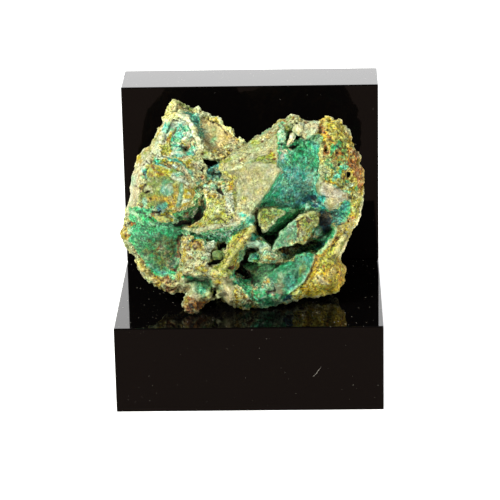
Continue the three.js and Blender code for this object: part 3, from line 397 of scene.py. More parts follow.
def streak(mineral, width, *points, strength=1.0):
    here = near(points, width + 1)
    lay(mineral, strength * soft(width / 2 - distance_to(points, here)), here)


def dots(mineral, radius, *points):
    for x, y in points:
        patch(mineral, x, y, radius, radius)


def specks(mineral, count, radius, seed, *points, strength=1.0):
    """Small uneven spots strewn over an outline."""
    chance = np.random.default_rng(seed)
    xs, ys = zip(*points)
    here = near(points, 1)
    cover = np.zeros(len(here))
    for _ in range(count):
        x = chance.uniform(min(xs), max(xs))
        y = chance.uniform(min(ys), max(ys))
        size = radius * chance.uniform(0.5, 1.4)
        turn = chance.uniform(0, math.pi)
        stretch = chance.uniform(1, 1.7)
        dx = ragged_across[here] - x
        dy = ragged_height[here] - y
        along = (dx * math.cos(turn) + dy * math.sin(turn)) / stretch
        off = (dy * math.cos(turn) - dx * math.sin(turn)) * stretch
        cover = np.maximum(cover, soft(size * (1 + 1.3 * fray[here]) - np.hypot(along, off)))
    lay(mineral, strength * cover * soft(inside_outline(points, here)), here)


# The hidden sides and back: ochre and cream matrix with patches of the green crusts.
amounts[MINERALS.index("cream")] = 1
lay("ochre", soft(1.2 * grain(5.0, 21) + 0.5 * grain(1.6, 22) - 0.05))
lay("sand", soft(1.2 * grain(3.6, 23) + 0.5 * grain(1.2, 24) - 0.45))
lay("olive", soft(1.2 * grain(4.2, 25) + 0.5 * grain(1.3, 26) - 0.45))
lay("malachite", soft(1.3 * grain(6.0, 27) + 0.5 * grain(1.4, 28) - 0.40))
lay("rust", soft(1.1 * grain(2.4, 29) + 0.6 * grain(0.9, 30) - 0.75))
lay("mint", soft(1.1 * grain(3.0, 31) + 0.6 * grain(0.9, 32) - 0.80))
on_front = np.clip((front + 9.5) / 2.5, 0, 1) * np.clip((facing + 0.3) / 0.25, 0, 1)

# The left wall: cream, with brown streaks and pits along it.
field("cream", 1, (-19.3, 44), (-21.2, 42), (-23, 38.6), (-25, 37.8), (-26.5, 34), (-27.4, 30), (-28.4, 24),
      (-25.9, 24.2), (-25.2, 27), (-25.6, 29.5), (-24.9, 31.8), (-23.8, 33.2), (-22.4, 35), (-21, 36.8),
      (-20.2, 39.8), (-18.9, 43))
field("ivory_and_highlight", 0.9, (-19.3, 44), (-21.2, 42), (-23, 38.6), (-25, 37.8), (-26.5, 34), (-27.4, 30), (-28.6, 24),
      (-26.6, 24.2), (-25.8, 27), (-25.6, 29.5), (-24.9, 31.8), (-23.8, 33.2), (-22.4, 35), (-21, 36.8),
      (-20.2, 39.8), (-18.9, 43))
streak("ochre", 0.5, (-19.9, 42.9), (-21.3, 40.6), (-22.6, 38.6), (-23.8, 37), strength=0.7)
streak("lime", 0.5, (-20.6, 40.8), (-22, 38.4), (-23.4, 36.2), (-24.4, 34.4), strength=0.6)
streak("ochre", 0.35, (-24.6, 36.9), (-25.6, 34.6), (-26.2, 32.4), strength=0.6)
streak("sand", 0.35, (-22.8, 36.6), (-24.4, 33.6), (-25.3, 31), (-25.8, 28), strength=0.7)
patch("ochre", -25.1, 35.4, 0.5, 1.2, -20)
patch("sand", -24.3, 34.3, 0.4, 0.8, -30)
streak("mint", 0.5, (-26.4, 31.2), (-26.2, 29.4), strength=0.6)
streak("sand", 1.1, (-26.1, 28.4), (-25.9, 26.4), (-26.0, 24.6), strength=0.8)
streak("rust", 0.3, (-25.1, 31.6), (-25.4, 30), (-25.2, 28))
streak("sand", 0.6, (-25.0, 30.8), (-25.2, 28.8), (-24.9, 27))
dots("dark", 0.17, (-20.6, 39.5), (-21.6, 38), (-22, 36.4), (-23.2, 34.4), (-24, 33.8), (-25.1, 31.5), (-26, 28.9))
dots("olive", 0.25, (-22.6, 37.1), (-21.7, 39.8), (-23.9, 36.6))

# The peak.
field("cream", 1, (-18.6, 48.2), (-17.5, 49), (-14.6, 47.8), (-13, 46.6), (-11.7, 46.8), (-8.8, 44.8), (-10.5, 44.9),
      (-13.6, 45.6), (-15.2, 45.2), (-18.9, 43.3), (-20, 44.6))
field("ivory_and_highlight", 0.85, (-18.6, 48.2), (-17.5, 49), (-15.6, 48.2), (-16.6, 46.6), (-15.2, 45.2), (-18.9, 43.3), (-20, 44.6))
field("lime", 0.45, (-18.4, 48.2), (-17.2, 48.8), (-17.6, 46), (-16.4, 44.6), (-18.9, 43.6), (-19.9, 44.8))
streak("lime", 0.8, (-16.9, 48.4), (-15.3, 47.7), (-14, 46.9), (-13, 46.3))
streak("olive", 0.7, (-16.4, 48), (-15.2, 47.4), (-14.2, 46.9), (-13.4, 46.3))
streak("ivory_and_highlight", 0.35, (-16.6, 48.5), (-15, 47.9), (-13.6, 46.9), (-12.4, 46.4), (-11.4, 46.4))
patch("sand", -16.6, 47, 1.0, 0.6, 10)
streak("olive", 0.35, (-17.4, 46.1), (-16.2, 46.1), (-15.2, 45.8))
patch("shaded_green", -15.3, 45.6, 0.6, 0.28, -15)
streak("dark", 0.3, (-17.6, 44), (-16.3, 43.8))
patch("olive", -17.2, 43.4, 0.8, 0.35, 20)
field("olive", 1, (-11.1, 45.6), (-9.2, 44.7), (-10.3, 44.2), (-10.9, 44.9))
field("ochre", 0.6, (-11.1, 45.6), (-9.2, 44.7), (-10.3, 44.2), (-10.9, 44.9))

# The mottled face under the peak: turquoise, white and ochre in small spots.
field("white", 1, (-18, 43.6), (-15.6, 44.6), (-13.4, 42.6), (-12.2, 39), (-11.2, 37.4), (-12.6, 36), (-16, 35.6),
      (-21.2, 35.4), (-20.8, 37), (-20.3, 39.8))
field("turquoise", 1, (-16.4, 43.4), (-14.9, 43.5), (-13.4, 42.2), (-12.6, 40.4), (-13.4, 40), (-14.4, 40.4),
      (-15.6, 40.3), (-16, 38.8), (-17, 38.3), (-18.2, 38.5), (-18.2, 40.2), (-17.4, 41.6))
field("turquoise", 1, (-18.3, 43.7), (-18, 42.8), (-18.4, 41.4), (-19.4, 40.9), (-19.9, 41.6), (-19.2, 42.8))
field("ochre", 1, (-17.3, 42.3), (-16.7, 42.3), (-17.2, 41), (-18, 40), (-18.1, 38.4), (-17.6, 36.8), (-18.6, 35.9),
      (-19.6, 36), (-20.4, 36.8), (-20.3, 38.4), (-19.3, 38.8), (-19.2, 39.8), (-18.6, 40.6))
patch("rust", -18.8, 39.6, 0.5, 0.6, 0, 0.6)
patch("lime", -19.3, 37.6, 1.1, 1.2)
patch("olive", -19.8, 37.8, 0.6, 0.9, 0, 0.5)
patch("lime", -18.6, 36.5, 0.7, 0.4, 0, 0.5)
patch("cream", -20, 40.2, 0.4, 0.6)
specks("white", 60, 0.22, 91, (-18, 43), (-14, 43.6), (-12, 38), (-17.8, 36), strength=0.7)
specks("turquoise", 46, 0.42, 1, (-18, 40), (-12.6, 40), (-11.8, 38), (-12.6, 36), (-17.8, 35.4), (-18, 38))
specks("mint", 30, 0.4, 2, (-19.8, 42), (-13, 43), (-11.6, 38), (-12.6, 36), (-17.8, 35.4), (-18, 38))
specks("malachite", 16, 0.32, 3, (-18, 42), (-13, 42), (-12, 38), (-17.8, 36))
specks("white", 22, 0.28, 4, (-18, 43), (-14, 43.6), (-12, 38), (-17.8, 36))
specks("deepblue", 7, 0.2, 5, (-18, 41), (-15, 41), (-15, 37), (-17.8, 37))
patch("white", -13.8, 41.0, 0.55, 0.5)
patch("ochre", -14.8, 38.9, 1.0, 0.6, -10, 0.8)
patch("cream", -14.7, 39.3, 0.8, 0.4, -10, 0.8)
patch("sand", -13.9, 38.4, 0.7, 0.7, 0, 0.7)
patch("rust", -14.6, 37.6, 0.7, 0.5, 0, 0.6)
patch("rust", -13.6, 38.0, 0.4, 0.5, 0, 0.6)
patch("dark", -15.0, 37.8, 0.3, 0.4, 0, 0.4)
patch("dark", -14.2, 37.1, 0.45, 0.2, -20, 0.5)
patch("sand", -14.9, 36.6, 0.5, 0.3, 0, 0.6)
patch("sand", -13.1, 39.8, 0.5, 0.4)
patch("rust", -12.9, 38.6, 0.35, 0.3, 0, 0.6)
patch("azure", -12.9, 36.5, 0.7, 0.4, -30)
patch("olive", -12.0, 35.7, 0.7, 0.6, 0, 0.7)
patch("rust", -15.0, 35.7, 0.3, 0.25)
patch("sand", -14.5, 35.5, 0.9, 0.5, 0, 0.7)
streak("sand", 0.25, (-13.7, 43.3), (-12.9, 42.1))

# The thin white ridge on its right.
streak("white", 0.8, (-15.8, 45.3), (-14.7, 44.6), (-13.8, 43.6), (-13, 42.2), (-12.4, 40.8), (-11.9, 39.4), (-11.2, 38.2))
streak("ivory_and_highlight", 0.35, (-15.6, 44.9), (-14.4, 44.1), (-13.3, 42.6), (-12.6, 41), (-12.1, 39.4), (-11.4, 38))
streak("cream", 0.4, (-14.2, 44.6), (-13, 43.3), (-12.2, 41.6), (-11.7, 39.8), (-10.9, 38.2), (-10.1, 37.4))

# The step across the face, with its brown crack.
patch("white", -20.2, 35.5, 0.9, 0.45)
patch("azure", -18.5, 35.3, 0.5, 0.4)
streak("turquoise", 0.8, (-18.2, 35), (-16.9, 34.7), (-15.8, 34.3))
streak("turquoise", 0.7, (-21.4, 34.6), (-20.6, 33.9), (-19.8, 33.9))
streak("mint", 0.5, (-19.9, 33.7), (-19, 33), (-18, 32.3))
patch("deepblue", -20.8, 33.8, 0.3, 0.22)
streak("mint", 0.6, (-15.9, 34.2), (-14.8, 33.2), (-13.6, 32.2), (-13, 31.2))
field("ochre", 1, (-14.9, 34.8), (-12.6, 34.1), (-11.3, 33.6), (-11.4, 32.6), (-12.8, 32.3), (-14.2, 33.4))
patch("olive", -12.8, 33.4, 0.9, 0.5, -20, 0.5)
streak("sand", 0.6, (-15.2, 32.8), (-14.4, 32), (-14, 31))

# The boulder: olive and ochre, with pale teal and rusty patches.
field("olive", 1, (-23.6, 31.2), (-20, 31.8), (-17, 31.6), (-15.4, 29.6), (-15.4, 27), (-16, 24.2), (-18.6, 24.4),
      (-21, 24.6), (-25, 24.4), (-25, 27), (-23.9, 29.6))
field("ochre", 1, (-23.6, 33.6), (-22.6, 34.3), (-21.6, 33.9), (-19.6, 33.2), (-18, 32.5), (-17.3, 33.6), (-16, 33.1),
      (-17, 31.9), (-18.4, 31.2), (-20, 31.3), (-22.2, 31), (-23.4, 31.4))
patch("olive", -17.3, 32.7, 0.7, 0.5)
patch("olive", -22.9, 32.6, 0.5, 0.6, 0, 0.6)
streak("rust", 0.5, (-22.2, 33.9), (-21.7, 32.6), (-20.6, 31.8), (-19.9, 31.8))
streak("rust", 0.3, (-22.9, 32), (-22, 31.2))
# A small painted highlight.
patch("white", -17.0, 33.5, 0.5, 0.28)
streak("azure", 0.5, (-24, 32.6), (-23.8, 31))
field("white", 0.9, (-17.8, 32), (-15.6, 32.4), (-14.4, 31.6), (-14, 29.8), (-16.9, 30), (-18, 31))
patch("turquoise", -16.3, 31.6, 0.9, 0.4, 10, 0.7)
patch("mint", -15.4, 31.9, 0.7, 0.4, 10, 0.7)
streak("white", 0.6, (-17.4, 30.9), (-16.4, 30.4), (-15, 30.2), (-14, 29.6))
streak("sand", 0.6, (-14.5, 31.4), (-13.4, 30.4), (-12, 29.6))
patch("mint", -18.7, 28.7, 2.1, 1.8, 10, 0.75)
patch("azure", -18.9, 28.4, 1.5, 1.1, 10, 0.35)
patch("white", -18.2, 28.9, 1.0, 0.9, 0, 0.4)
patch("sand", -17.6, 28.9, 0.8, 0.7, 0, 0.3)
streak("ochre", 1.1, (-17, 29.2), (-16.6, 27.4), (-17.4, 26.2), (-19.4, 26), (-21.4, 26.4), (-23.2, 26))
patch("lime", -16.9, 29.7, 0.7, 0.6, 0, 0.7)
patch("ochre", -17.5, 25.2, 1.2, 0.8, 20)
patch("rust", -17.5, 25.0, 0.6, 0.3, 20, 0.5)
streak("mint", 0.8, (-15.5, 29.2), (-15.5, 27.8), (-16.1, 26), (-16.4, 24.8))
streak("white", 0.4, (-15.4, 29), (-15.5, 27.8), (-16, 26.4), (-16.2, 25.4), strength=0.6)
field("ochre", 1, (-14.9, 28.3), (-13, 28.5), (-12.5, 27.4), (-13, 25.6), (-14.4, 24.5), (-15.6, 24.4), (-15.2, 25.4),
      (-15.1, 27))
patch("olive", -13.4, 25.8, 0.7, 0.9, -20, 0.6)
patch("white", -14.1, 27.4, 0.32, 0.3)
patch("white", -14.6, 25.8, 0.65, 0.45)
streak("cream", 0.35, (-12.4, 27.6), (-12.5, 26), (-13.3, 24.9))
patch("mint", -23.9, 25.4, 0.6, 0.9)
patch("rust", -24.8, 24.6, 0.9, 0.5, 30, 0.35)
patch("cream", -23.1, 28.3, 1.0, 0.8)
patch("white", -22.4, 27.7, 0.4, 0.4)
patch("dark", -23.4, 27.8, 0.55, 0.25, 20)
dots("dark", 0.2, (-24, 29.1), (-23.8, 30.6), (-21.6, 30.9), (-22.6, 26.2))
specks("rust", 12, 0.25, 6, (-24, 31), (-18, 31), (-20, 29), (-23, 25), strength=0.6)
specks("cream", 14, 0.25, 7, (-24.6, 31), (-19, 31), (-22, 28), (-24.6, 25), strength=0.7)
specks("lime", 12, 0.35, 8, (-23, 31), (-18, 31), (-20, 26), (-23, 26), strength=0.6)
patch("turquoise", -20, 24.4, 1.3, 0.7, 20)
patch("turquoise", -19.2, 24.8, 0.7, 0.5)
patch("deepblue", -20.6, 23.5, 0.6, 0.6)
patch("dark", -21.5, 23.05, 0.7, 0.25, -20)
patch("white", -19.6, 23.4, 0.7, 0.4)
patch("ochre", -18, 23.4, 1.1, 0.55, -10)
patch("olive", -18.2, 23.5, 0.5, 0.3)
streak("sand", 0.3, (-17.6, 24), (-16.2, 23.6), (-14.8, 23.9))

# The shadowed groove on its right.
field("shaded_green", 1, (-17.8, 22.9), (-15, 23.7), (-13, 24.4), (-12.4, 27), (-12, 28.8), (-10.3, 28.2), (-9.7, 25.4),
      (-10.8, 23), (-12.6, 20.6), (-15.8, 20.3), (-16.4, 21.4))
patch("mint", -11.3, 27.4, 1.0, 1.4, 0, 0.8)
patch("white", -11.2, 27.6, 0.7, 1.0, 0, 0.5)
patch("sand", -11, 25.4, 0.8, 1.2, 20, 0.6)
specks("white", 20, 0.3, 81, (-12.8, 28.4), (-10.2, 28.2), (-9.9, 25), (-12, 22.4), (-15, 22), (-13, 24.6), strength=0.7)
specks("rust", 14, 0.22, 82, (-12.8, 28.4), (-10.2, 28.2), (-9.9, 25), (-12, 22.4), (-15, 22), (-13, 24.6), strength=0.7)
specks("mint", 12, 0.3, 83, (-12.8, 28.4), (-10.2, 28.2), (-9.9, 25), (-12, 22.4), (-15, 22), (-13, 24.6), strength=0.7)
patch("malachite", -15.4, 23, 1.2, 0.4, 15, 0.6)
patch("rust", -15, 21.2, 0.8, 0.3, 0, 0.7)
patch("mint", -13.2, 22.3, 0.3, 0.6, -20)
patch("sand", -9.9, 24.4, 0.4, 0.9)
# Painted shade deep in the groove and along its foot.
patch("dark", -10.4, 25.2, 0.3, 1.0, 10, 0.6)
patch("dark", -11.9, 22.4, 1.3, 0.5, 45, 0.8)
streak("dark", 0.6, (-16, 20.7), (-14, 20.7), (-12.6, 20.9), (-11, 22.6))
streak("mint", 0.5, (-17.9, 22.2), (-16.8, 21.6), (-16.4, 20.8))

# The ochre lens on the ledge under the boulder.
streak("mint", 0.6, (-22.6, 21.6), (-21, 20.8), (-19, 20.6), (-17.4, 21))
streak("ochre", 1.0, (-22, 22.5), (-20.8, 21.6), (-19.2, 21.2), (-18, 21.4))
streak("rust", 0.25, (-22.1, 22.9), (-21, 22.1), (-19.6, 21.9))
patch("olive", -19.1, 21.5, 0.8, 0.25)

# The velvety green field.
field("malachite", 1, (-27.4, 24.2), (-25.4, 24.4), (-22.6, 23.8), (-22.2, 22), (-21, 20.9), (-17, 20.6), (-14.6, 20.2),
      (-15.4, 17.7), (-15.8, 13.9), (-16.4, 11), (-17.2, 9), (-19.6, 8.3), (-21.8, 8.9), (-23.6, 10.8), (-24.4, 12.6),
      (-26, 14.2), (-27.6, 16.2), (-27, 19.6), (-27.6, 22))
patch("olive", -19.4, 14, 2.6, 4.0, 0, 0.55)
patch("sand", -18.2, 12.6, 1.6, 2.6, 0, 0.35)
patch("olive", -23, 14.4, 1.4, 0.8, 0, 0.6)
patch("shaded_green", -17.4, 13.4, 1.4, 3.4, 0, 0.45)
patch("sand", -20, 15.4, 0.9, 1.2, 0, 0.3)
specks("shaded_green", 90, 0.3, 9, (-27, 21), (-16, 20), (-16.4, 10), (-22, 9.6), (-27, 15), strength=0.7)
specks("mint", 90, 0.28, 10, (-27, 23), (-16, 20), (-16.4, 10), (-22, 9.6), (-27, 15), strength=0.65)
specks("olive", 40, 0.3, 11, (-24, 17), (-16, 18), (-16.4, 10), (-22, 9.6), (-25, 13), strength=0.6)
specks("rust", 12, 0.18, 12, (-25, 20), (-16, 18), (-16.4, 11), (-22, 10.4), strength=0.8)
streak("mint", 0.9, (-26.7, 23.4), (-25.9, 22.7), (-25, 21.6))
streak("turquoise", 0.4, (-26.4, 23), (-25.2, 21.8), strength=0.5)
patch("shaded_green", -23.9, 22.9, 1.0, 0.4, 20, 0.8)
patch("dark", -22.9, 21.7, 0.35, 0.4, 0, 0.8)
patch("shaded_green", -23.4, 20, 0.5, 0.8, 20, 0.6)
patch("mint", -21.7, 20.4, 1.2, 0.4)
streak("mint", 0.4, (-24.6, 19.6), (-23.4, 18.4), (-22, 17.4), strength=0.6)
patch("mint", -23.6, 12.8, 0.8, 0.45, -30)
streak("turquoise", 0.9, (-22.8, 11.2), (-21.6, 10), (-19.6, 9.4), (-18.2, 9.2), strength=0.8)
patch("azure", -19.9, 9.5, 0.7, 0.3, 0, 0.7)
patch("shaded_green", -23.6, 11.9, 0.5, 0.3, -30, 0.8)
streak("rust", 0.6, (-16.2, 17.4), (-16.3, 15), (-16.4, 13.2), strength=0.7)
# Painted shade in the crease down the field's right side and along its top.
streak("dark", 0.45, (-15.6, 18), (-15.7, 16), (-15.9, 14), (-16, 12.2))
patch("rust", -17.3, 10.2, 0.5, 0.4, 0, 0.7)
streak("dark", 0.4, (-17.4, 20), (-15.8, 20.3))

# The cream and ochre rim of the left side.
streak("cream", 1.5, (-28.2, 15.8), (-26.8, 14), (-25.5, 12.4), (-25, 11), (-24, 9.4), (-22.6, 8.1), (-21, 7),
       (-19.4, 6.2), (-18, 5.2))
streak("ochre", 0.5, (-25, 12.6), (-24.3, 10.6), (-23.2, 9.3), (-21.8, 8.2), (-20.4, 7.5), strength=0.9)
# A small painted highlight on the rim.
patch("lime", -25.1, 11, 0.4, 0.8, 0, 0.5)
patch("ochre", -20.8, 6.9, 1.0, 0.5, -30)
patch("sand", -22.6, 8.7, 0.6, 0.35, -40)
patch("cream", -28, 22.6, 0.7, 1.9)
streak("sand", 0.4, (-27.8, 23.4), (-27.8, 22.2))
patch("ochre", -28.8, 18.4, 0.8, 1.5)
patch("rust", -27.8, 17.9, 0.7, 0.3)
patch("rust", -28.9, 17.2, 0.4, 0.3, 0, 0.6)
patch("mint", -27.3, 19.2, 0.5, 1.0, 0, 0.6)
patch("cream", -28, 20.4, 0.5, 0.5)
patch("dark", -27.5, 20.6, 0.32, 0.38)
patch("rust", -26.6, 20.6, 0.4, 0.4)
patch("cream", -27.9, 16.3, 0.9, 0.35, -40)
field("sand", 1, (-19.4, 7.8), (-17, 8.3), (-15.9, 6), (-16, 3.6), (-17.2, 3.4), (-19.2, 5))
specks("rust", 16, 0.35, 13, (-19.4, 7.8), (-17, 8.3), (-15.9, 6), (-16, 3.6), (-17.2, 3.4), (-19.2, 5))
specks("cream", 14, 0.3, 14, (-19.4, 7.8), (-17, 8.3), (-15.9, 6), (-16, 3.6), (-17.2, 3.4), (-19.2, 5))
specks("dark", 12, 0.22, 15, (-19.4, 7.8), (-17, 8.3), (-15.9, 6), (-16, 3.6), (-17.2, 3.4), (-19.2, 5))
patch("mint", -17.6, 8.5, 0.8, 0.5)
patch("rust", -19, 8.3, 0.5, 0.3)

# The recess behind the ridge: a green wall and a smooth tan face.
field("sand", 1, (-11.2, 44.2), (-8.6, 44.2), (-6.8, 43.4), (-5, 41.8), (-3.6, 40), (-4, 38.4), (-6, 37),
      (-8, 37), (-10.2, 37.6), (-11.2, 38.6), (-10.4, 40.2))
patch("plate", -7, 40.8, 2.2, 1.8, -40, 0.5)
patch("azure", -10, 42.4, 0.8, 0.8, 0, 0.35)
patch("olive", -8.4, 41.8, 1.2, 0.6, -20, 0.25)
patch("mint", -8.2, 39.3, 0.6, 1.1, -25, 0.8)
patch("ochre", -5.6, 40, 1.2, 1.0, -40, 0.4)
patch("rust", -10.3, 38.6, 0.8, 0.4, -20, 0.6)
field("turquoise", 1, (-15, 45.6), (-13.2, 45.5), (-12, 45.7), (-11.2, 44.2), (-10.6, 42.2), (-10.3, 40.4), (-10.8, 39.5),
      (-11.4, 39.8), (-12, 41.6), (-12.8, 43.4), (-13.9, 44.6))
patch("azure", -11.6, 43, 0.7, 2.2, 20, 0.6)
patch("sand", -10.7, 42.6, 0.9, 1.6, 20, 0.5)
patch("azure", -10.2, 41, 0.8, 1.4, 20, 0.3)
patch("turquoise", -13.9, 45.1, 0.7, 0.3, -20, 0.6)
streak("shaded_green", 0.5, (-11.8, 41.4), (-11, 39.8), (-10.6, 38.8), strength=0.8)

# The crumbly edge over the recess.
streak("cream", 1.0, (-11.7, 46.4), (-9.2, 44.8), (-7.8, 44.9), (-6.8, 43.9), (-5.8, 42.7), (-4.4, 42.1), (-3.4, 40.6),
       (-2.6, 39.9), (-1.1, 38.9))
patch("lime", -4.5, 42.2, 0.7, 0.5)
patch("ochre", -7.9, 44, 0.9, 0.4)
patch("dark", -8.3, 43.5, 0.25, 0.22)
patch("white", -6.9, 44.4, 0.4, 0.6)
patch("lime", -5.4, 42.4, 0.5, 0.3, 0, 0.5)
patch("ochre", -3, 39.7, 0.7, 0.4, -30)
field("sand", 1, (-4.6, 39), (-3.4, 39.4), (-1.4, 38.7), (-0.7, 38.2), (-2.2, 37.4), (-4.2, 36), (-6.6, 35.8),
      (-7, 37), (-5.6, 38))
specks("ochre", 22, 0.4, 16, (-5, 39), (-1.4, 38.6), (-2.2, 37.4), (-4.2, 36), (-6.6, 35.8), (-6, 38))
specks("dark", 26, 0.24, 17, (-5, 39), (-1.4, 38.6), (-2.2, 37.4), (-4.2, 36), (-6.6, 35.8), (-6, 38))
specks("cream", 16, 0.3, 18, (-5, 39), (-1.4, 38.6), (-2.2, 37.4), (-4.2, 36), (-6.6, 35.8), (-6, 38))
field("cream", 1, (-11.8, 37.3), (-10.4, 37.5), (-8.6, 36.9), (-7, 36.7), (-6.3, 35.6), (-7.4, 34.9), (-9.2, 35.1),
      (-10.8, 35.5), (-12, 36.2))
patch("lime", -10.4, 36.5, 0.7, 0.4)
patch("ochre", -8.1, 36.9, 0.6, 0.55)
patch("sand", -7.1, 36, 0.6, 0.3)
patch("rust", -10.9, 36.2, 0.25, 0.2)
# Painted shade in the crevice at the plate's edge.
patch("dark", -5.4, 35.5, 0.9, 0.22, 15)

# The dark hole, the teal pocket under it and the white twiggy crust round them.
field("cream", 1, (-12.8, 35.6), (-11, 35.6), (-9.9, 34), (-9.6, 32), (-10, 30.4), (-12.4, 30.4), (-13, 31.6), (-11.6, 33))
patch("olive", -12.2, 34.9, 0.9, 0.6, 0, 0.6)
patch("sand", -11.9, 33.6, 0.8, 0.9, 0, 0.8)
patch("rust", -10.9, 31.1, 0.5, 0.7, 0, 0.7)
dots("dark", 0.28, (-10.8, 32.6), (-11.1, 30.2), (-10.6, 33.2))
field("cream", 1, (-12.6, 30), (-10, 30.5), (-8, 30.2), (-6.4, 30.8), (-5.4, 29.6), (-5.6, 28), (-5.2, 26.6), (-6.6, 26.2),
      (-9.4, 25.8), (-10.2, 27.2), (-11.8, 28.8))
specks("mint", 24, 0.4, 19, (-12.4, 30), (-6.4, 31), (-5.4, 29.6), (-6, 27), (-9, 27.4), (-11.8, 28.8))
specks("white", 24, 0.35, 20, (-12.4, 30), (-6.4, 31), (-5.4, 29.6), (-6, 26.4), (-9, 27), (-11.8, 28.8))
specks("ochre", 10, 0.35, 21, (-12.4, 30), (-6.4, 31), (-5.4, 29.6), (-6, 27), (-9, 27.4), (-11.8, 28.8))
specks("dark", 12, 0.2, 22, (-12.4, 30), (-6.4, 31), (-5.4, 29.6), (-6, 26.4), (-9, 27), (-11.8, 28.8))
patch("shaded_green", -6, 30, 0.6, 0.9, 0, 0.5)
field("azure", 1, (-9.4, 33), (-8.2, 34), (-7.1, 34), (-6.3, 32), (-6.6, 30.8), (-8, 30.3), (-9.7, 30.8), (-9.9, 31.8))
patch("shaded_green", -7.6, 32.8, 0.8, 1.0, 0, 0.4)
patch("sand", -8.2, 32, 1.3, 1.2, 0, 0.35)
specks("mint", 20, 0.3, 23, (-9.8, 32), (-7, 32), (-7, 30.2), (-9.8, 30.4), strength=0.8)
specks("white", 12, 0.25, 84, (-9.8, 32), (-7, 32), (-7, 30.2), (-9.8, 30.4), strength=0.8)
patch("dark", -6.7, 31.4, 0.2, 0.6, 0, 0.8)
# Painted shade: the black of the deep hole.
field("dark", 1, (-10.9, 35.5), (-8.6, 35), (-7.1, 35.1), (-6.9, 34.6), (-8.3, 34.3), (-9.2, 33.4), (-9.9, 34))
streak("dark", 0.55, (-7.1, 28.2), (-6.2, 27.4))
patch("ochre", -8.7, 26.8, 1.1, 0.6, 10)
patch("dark", -9.3, 27.9, 0.3, 0.2)
patch("lime", -5.5, 26.4, 0.7, 0.4)

# The plate: a smooth khaki face with a pinkish upper part and an olive stain.
field("plate", 1, (-6.8, 33.6), (-5.4, 35.3), (-3.9, 36.4), (-2, 37.6), (-0.7, 38.8), (1.4, 40.2), (3.6, 41.5), (5, 42.4),
      (6.5, 41.6), (6.4, 38), (6.2, 34), (7.6, 32.6), (6.4, 31.2), (4.4, 28), (2.2, 25), (0.6, 23), (-1, 22.4),
      (-2.6, 21), (-4.1, 21.4), (-3.9, 25), (-3.8, 28), (-5, 29.6), (-5, 31), (-6.4, 32))
field("cream", 0.55, (-5, 35.4), (-3.8, 36.5), (-0.6, 38.6), (3, 41), (5.6, 40), (4.6, 37.4), (1.2, 36.6), (0, 34.4),
      (-2, 33.8), (-5, 33.8))
specks("sand", 40, 0.45, 24, (-4, 36), (5.6, 41), (6, 33), (1, 25), (-3, 24), strength=0.4)
specks("sand", 30, 0.2, 25, (-4, 36), (5.6, 41), (6, 33), (1, 25), (-3, 24), strength=0.9)
specks("lime", 26, 0.5, 26, (-4, 36), (5.6, 41), (6, 33), (1, 25), (-3, 24), strength=0.35)
patch("lime", 1.1, 38.8, 1.0, 0.8, 20, 0.8)
patch("olive", 0.8, 38.4, 0.6, 0.4, 0, 0.4)
field("lime", 1, (1, 35.3), (2.4, 36), (4.2, 36.4), (4.9, 37.1), (5.9, 36.2), (6, 34.2), (4.6, 33.9), (3.2, 33.9),
      (2.4, 34.8), (1.4, 34.9))
field("olive", 0.55, (1, 35.3), (2.4, 36), (4.2, 36.2), (5.9, 35.2), (5.6, 34.2), (3.2, 34), (2.4, 34.8))
patch("rust", 5.6, 35.3, 0.4, 0.3)
patch("dark", 5.6, 35.2, 0.22, 0.2)
dots("rust", 0.22, (4.8, 37), (4, 35.2), (5.4, 36.2), (2.9, 39.4))
streak("olive", 0.22, (0.5, 34), (1.1, 35.3))
patch("rust", 5.2, 41.2, 0.8, 0.45, -10, 0.7)
patch("ochre", 4.1, 40.3, 0.5, 0.35)
streak("turquoise", 0.5, (2.4, 40.9), (3.8, 41.8), (4.9, 42.5), strength=0.6)
streak("olive", 0.5, (5.9, 40.8), (6.3, 39.6), (6.2, 37.6), strength=0.8)
streak("lime", 0.8, (-4.4, 35.4), (-5.9, 34.7), (-6.4, 33.4), (-5.9, 32.2), (-4.8, 31.6), (-3.4, 30.9))
streak("ochre", 0.4, (-6.2, 34.2), (-6.3, 33), (-5.4, 31.8), (-4, 31.2), strength=0.6)
streak("cream", 0.6, (-5.6, 32.8), (-3.6, 33.1), (-1.4, 33.8), (0, 34.2), strength=0.8)
patch("rust", -2, 35.1, 0.8, 0.18, 30, 0.6)
patch("rust", -1.3, 35.8, 0.5, 0.18, 20, 0.45)
patch("ochre", -4.3, 29.2, 0.7, 1.1)
patch("rust", -4.4, 29.0, 0.4, 0.5, 0, 0.7)
patch("olive", -3.3, 27.4, 0.6, 0.6, 0, 0.8)
streak("lime", 0.8, (-3.4, 26.6), (-3.2, 25), (-3.3, 23.6), strength=0.8)
streak("white", 0.5, (-2.6, 30.6), (-2.4, 28.6), (-2.5, 27), strength=0.5)
field("cream", 0.8, (-2.8, 26), (-0.6, 25.4), (1.6, 25.6), (0.6, 23.2), (-1.2, 22.8), (-2.8, 22), (-3, 24))
specks("sand", 18, 0.25, 27, (-2.8, 27), (1.6, 26), (0.6, 23.2), (-2.8, 22.4), strength=0.8)
patch("lime", -1.2, 26.2, 0.8, 0.5, 0, 0.6)
patch("ochre", 1.4, 28.2, 1.2, 0.5, 10, 0.3)

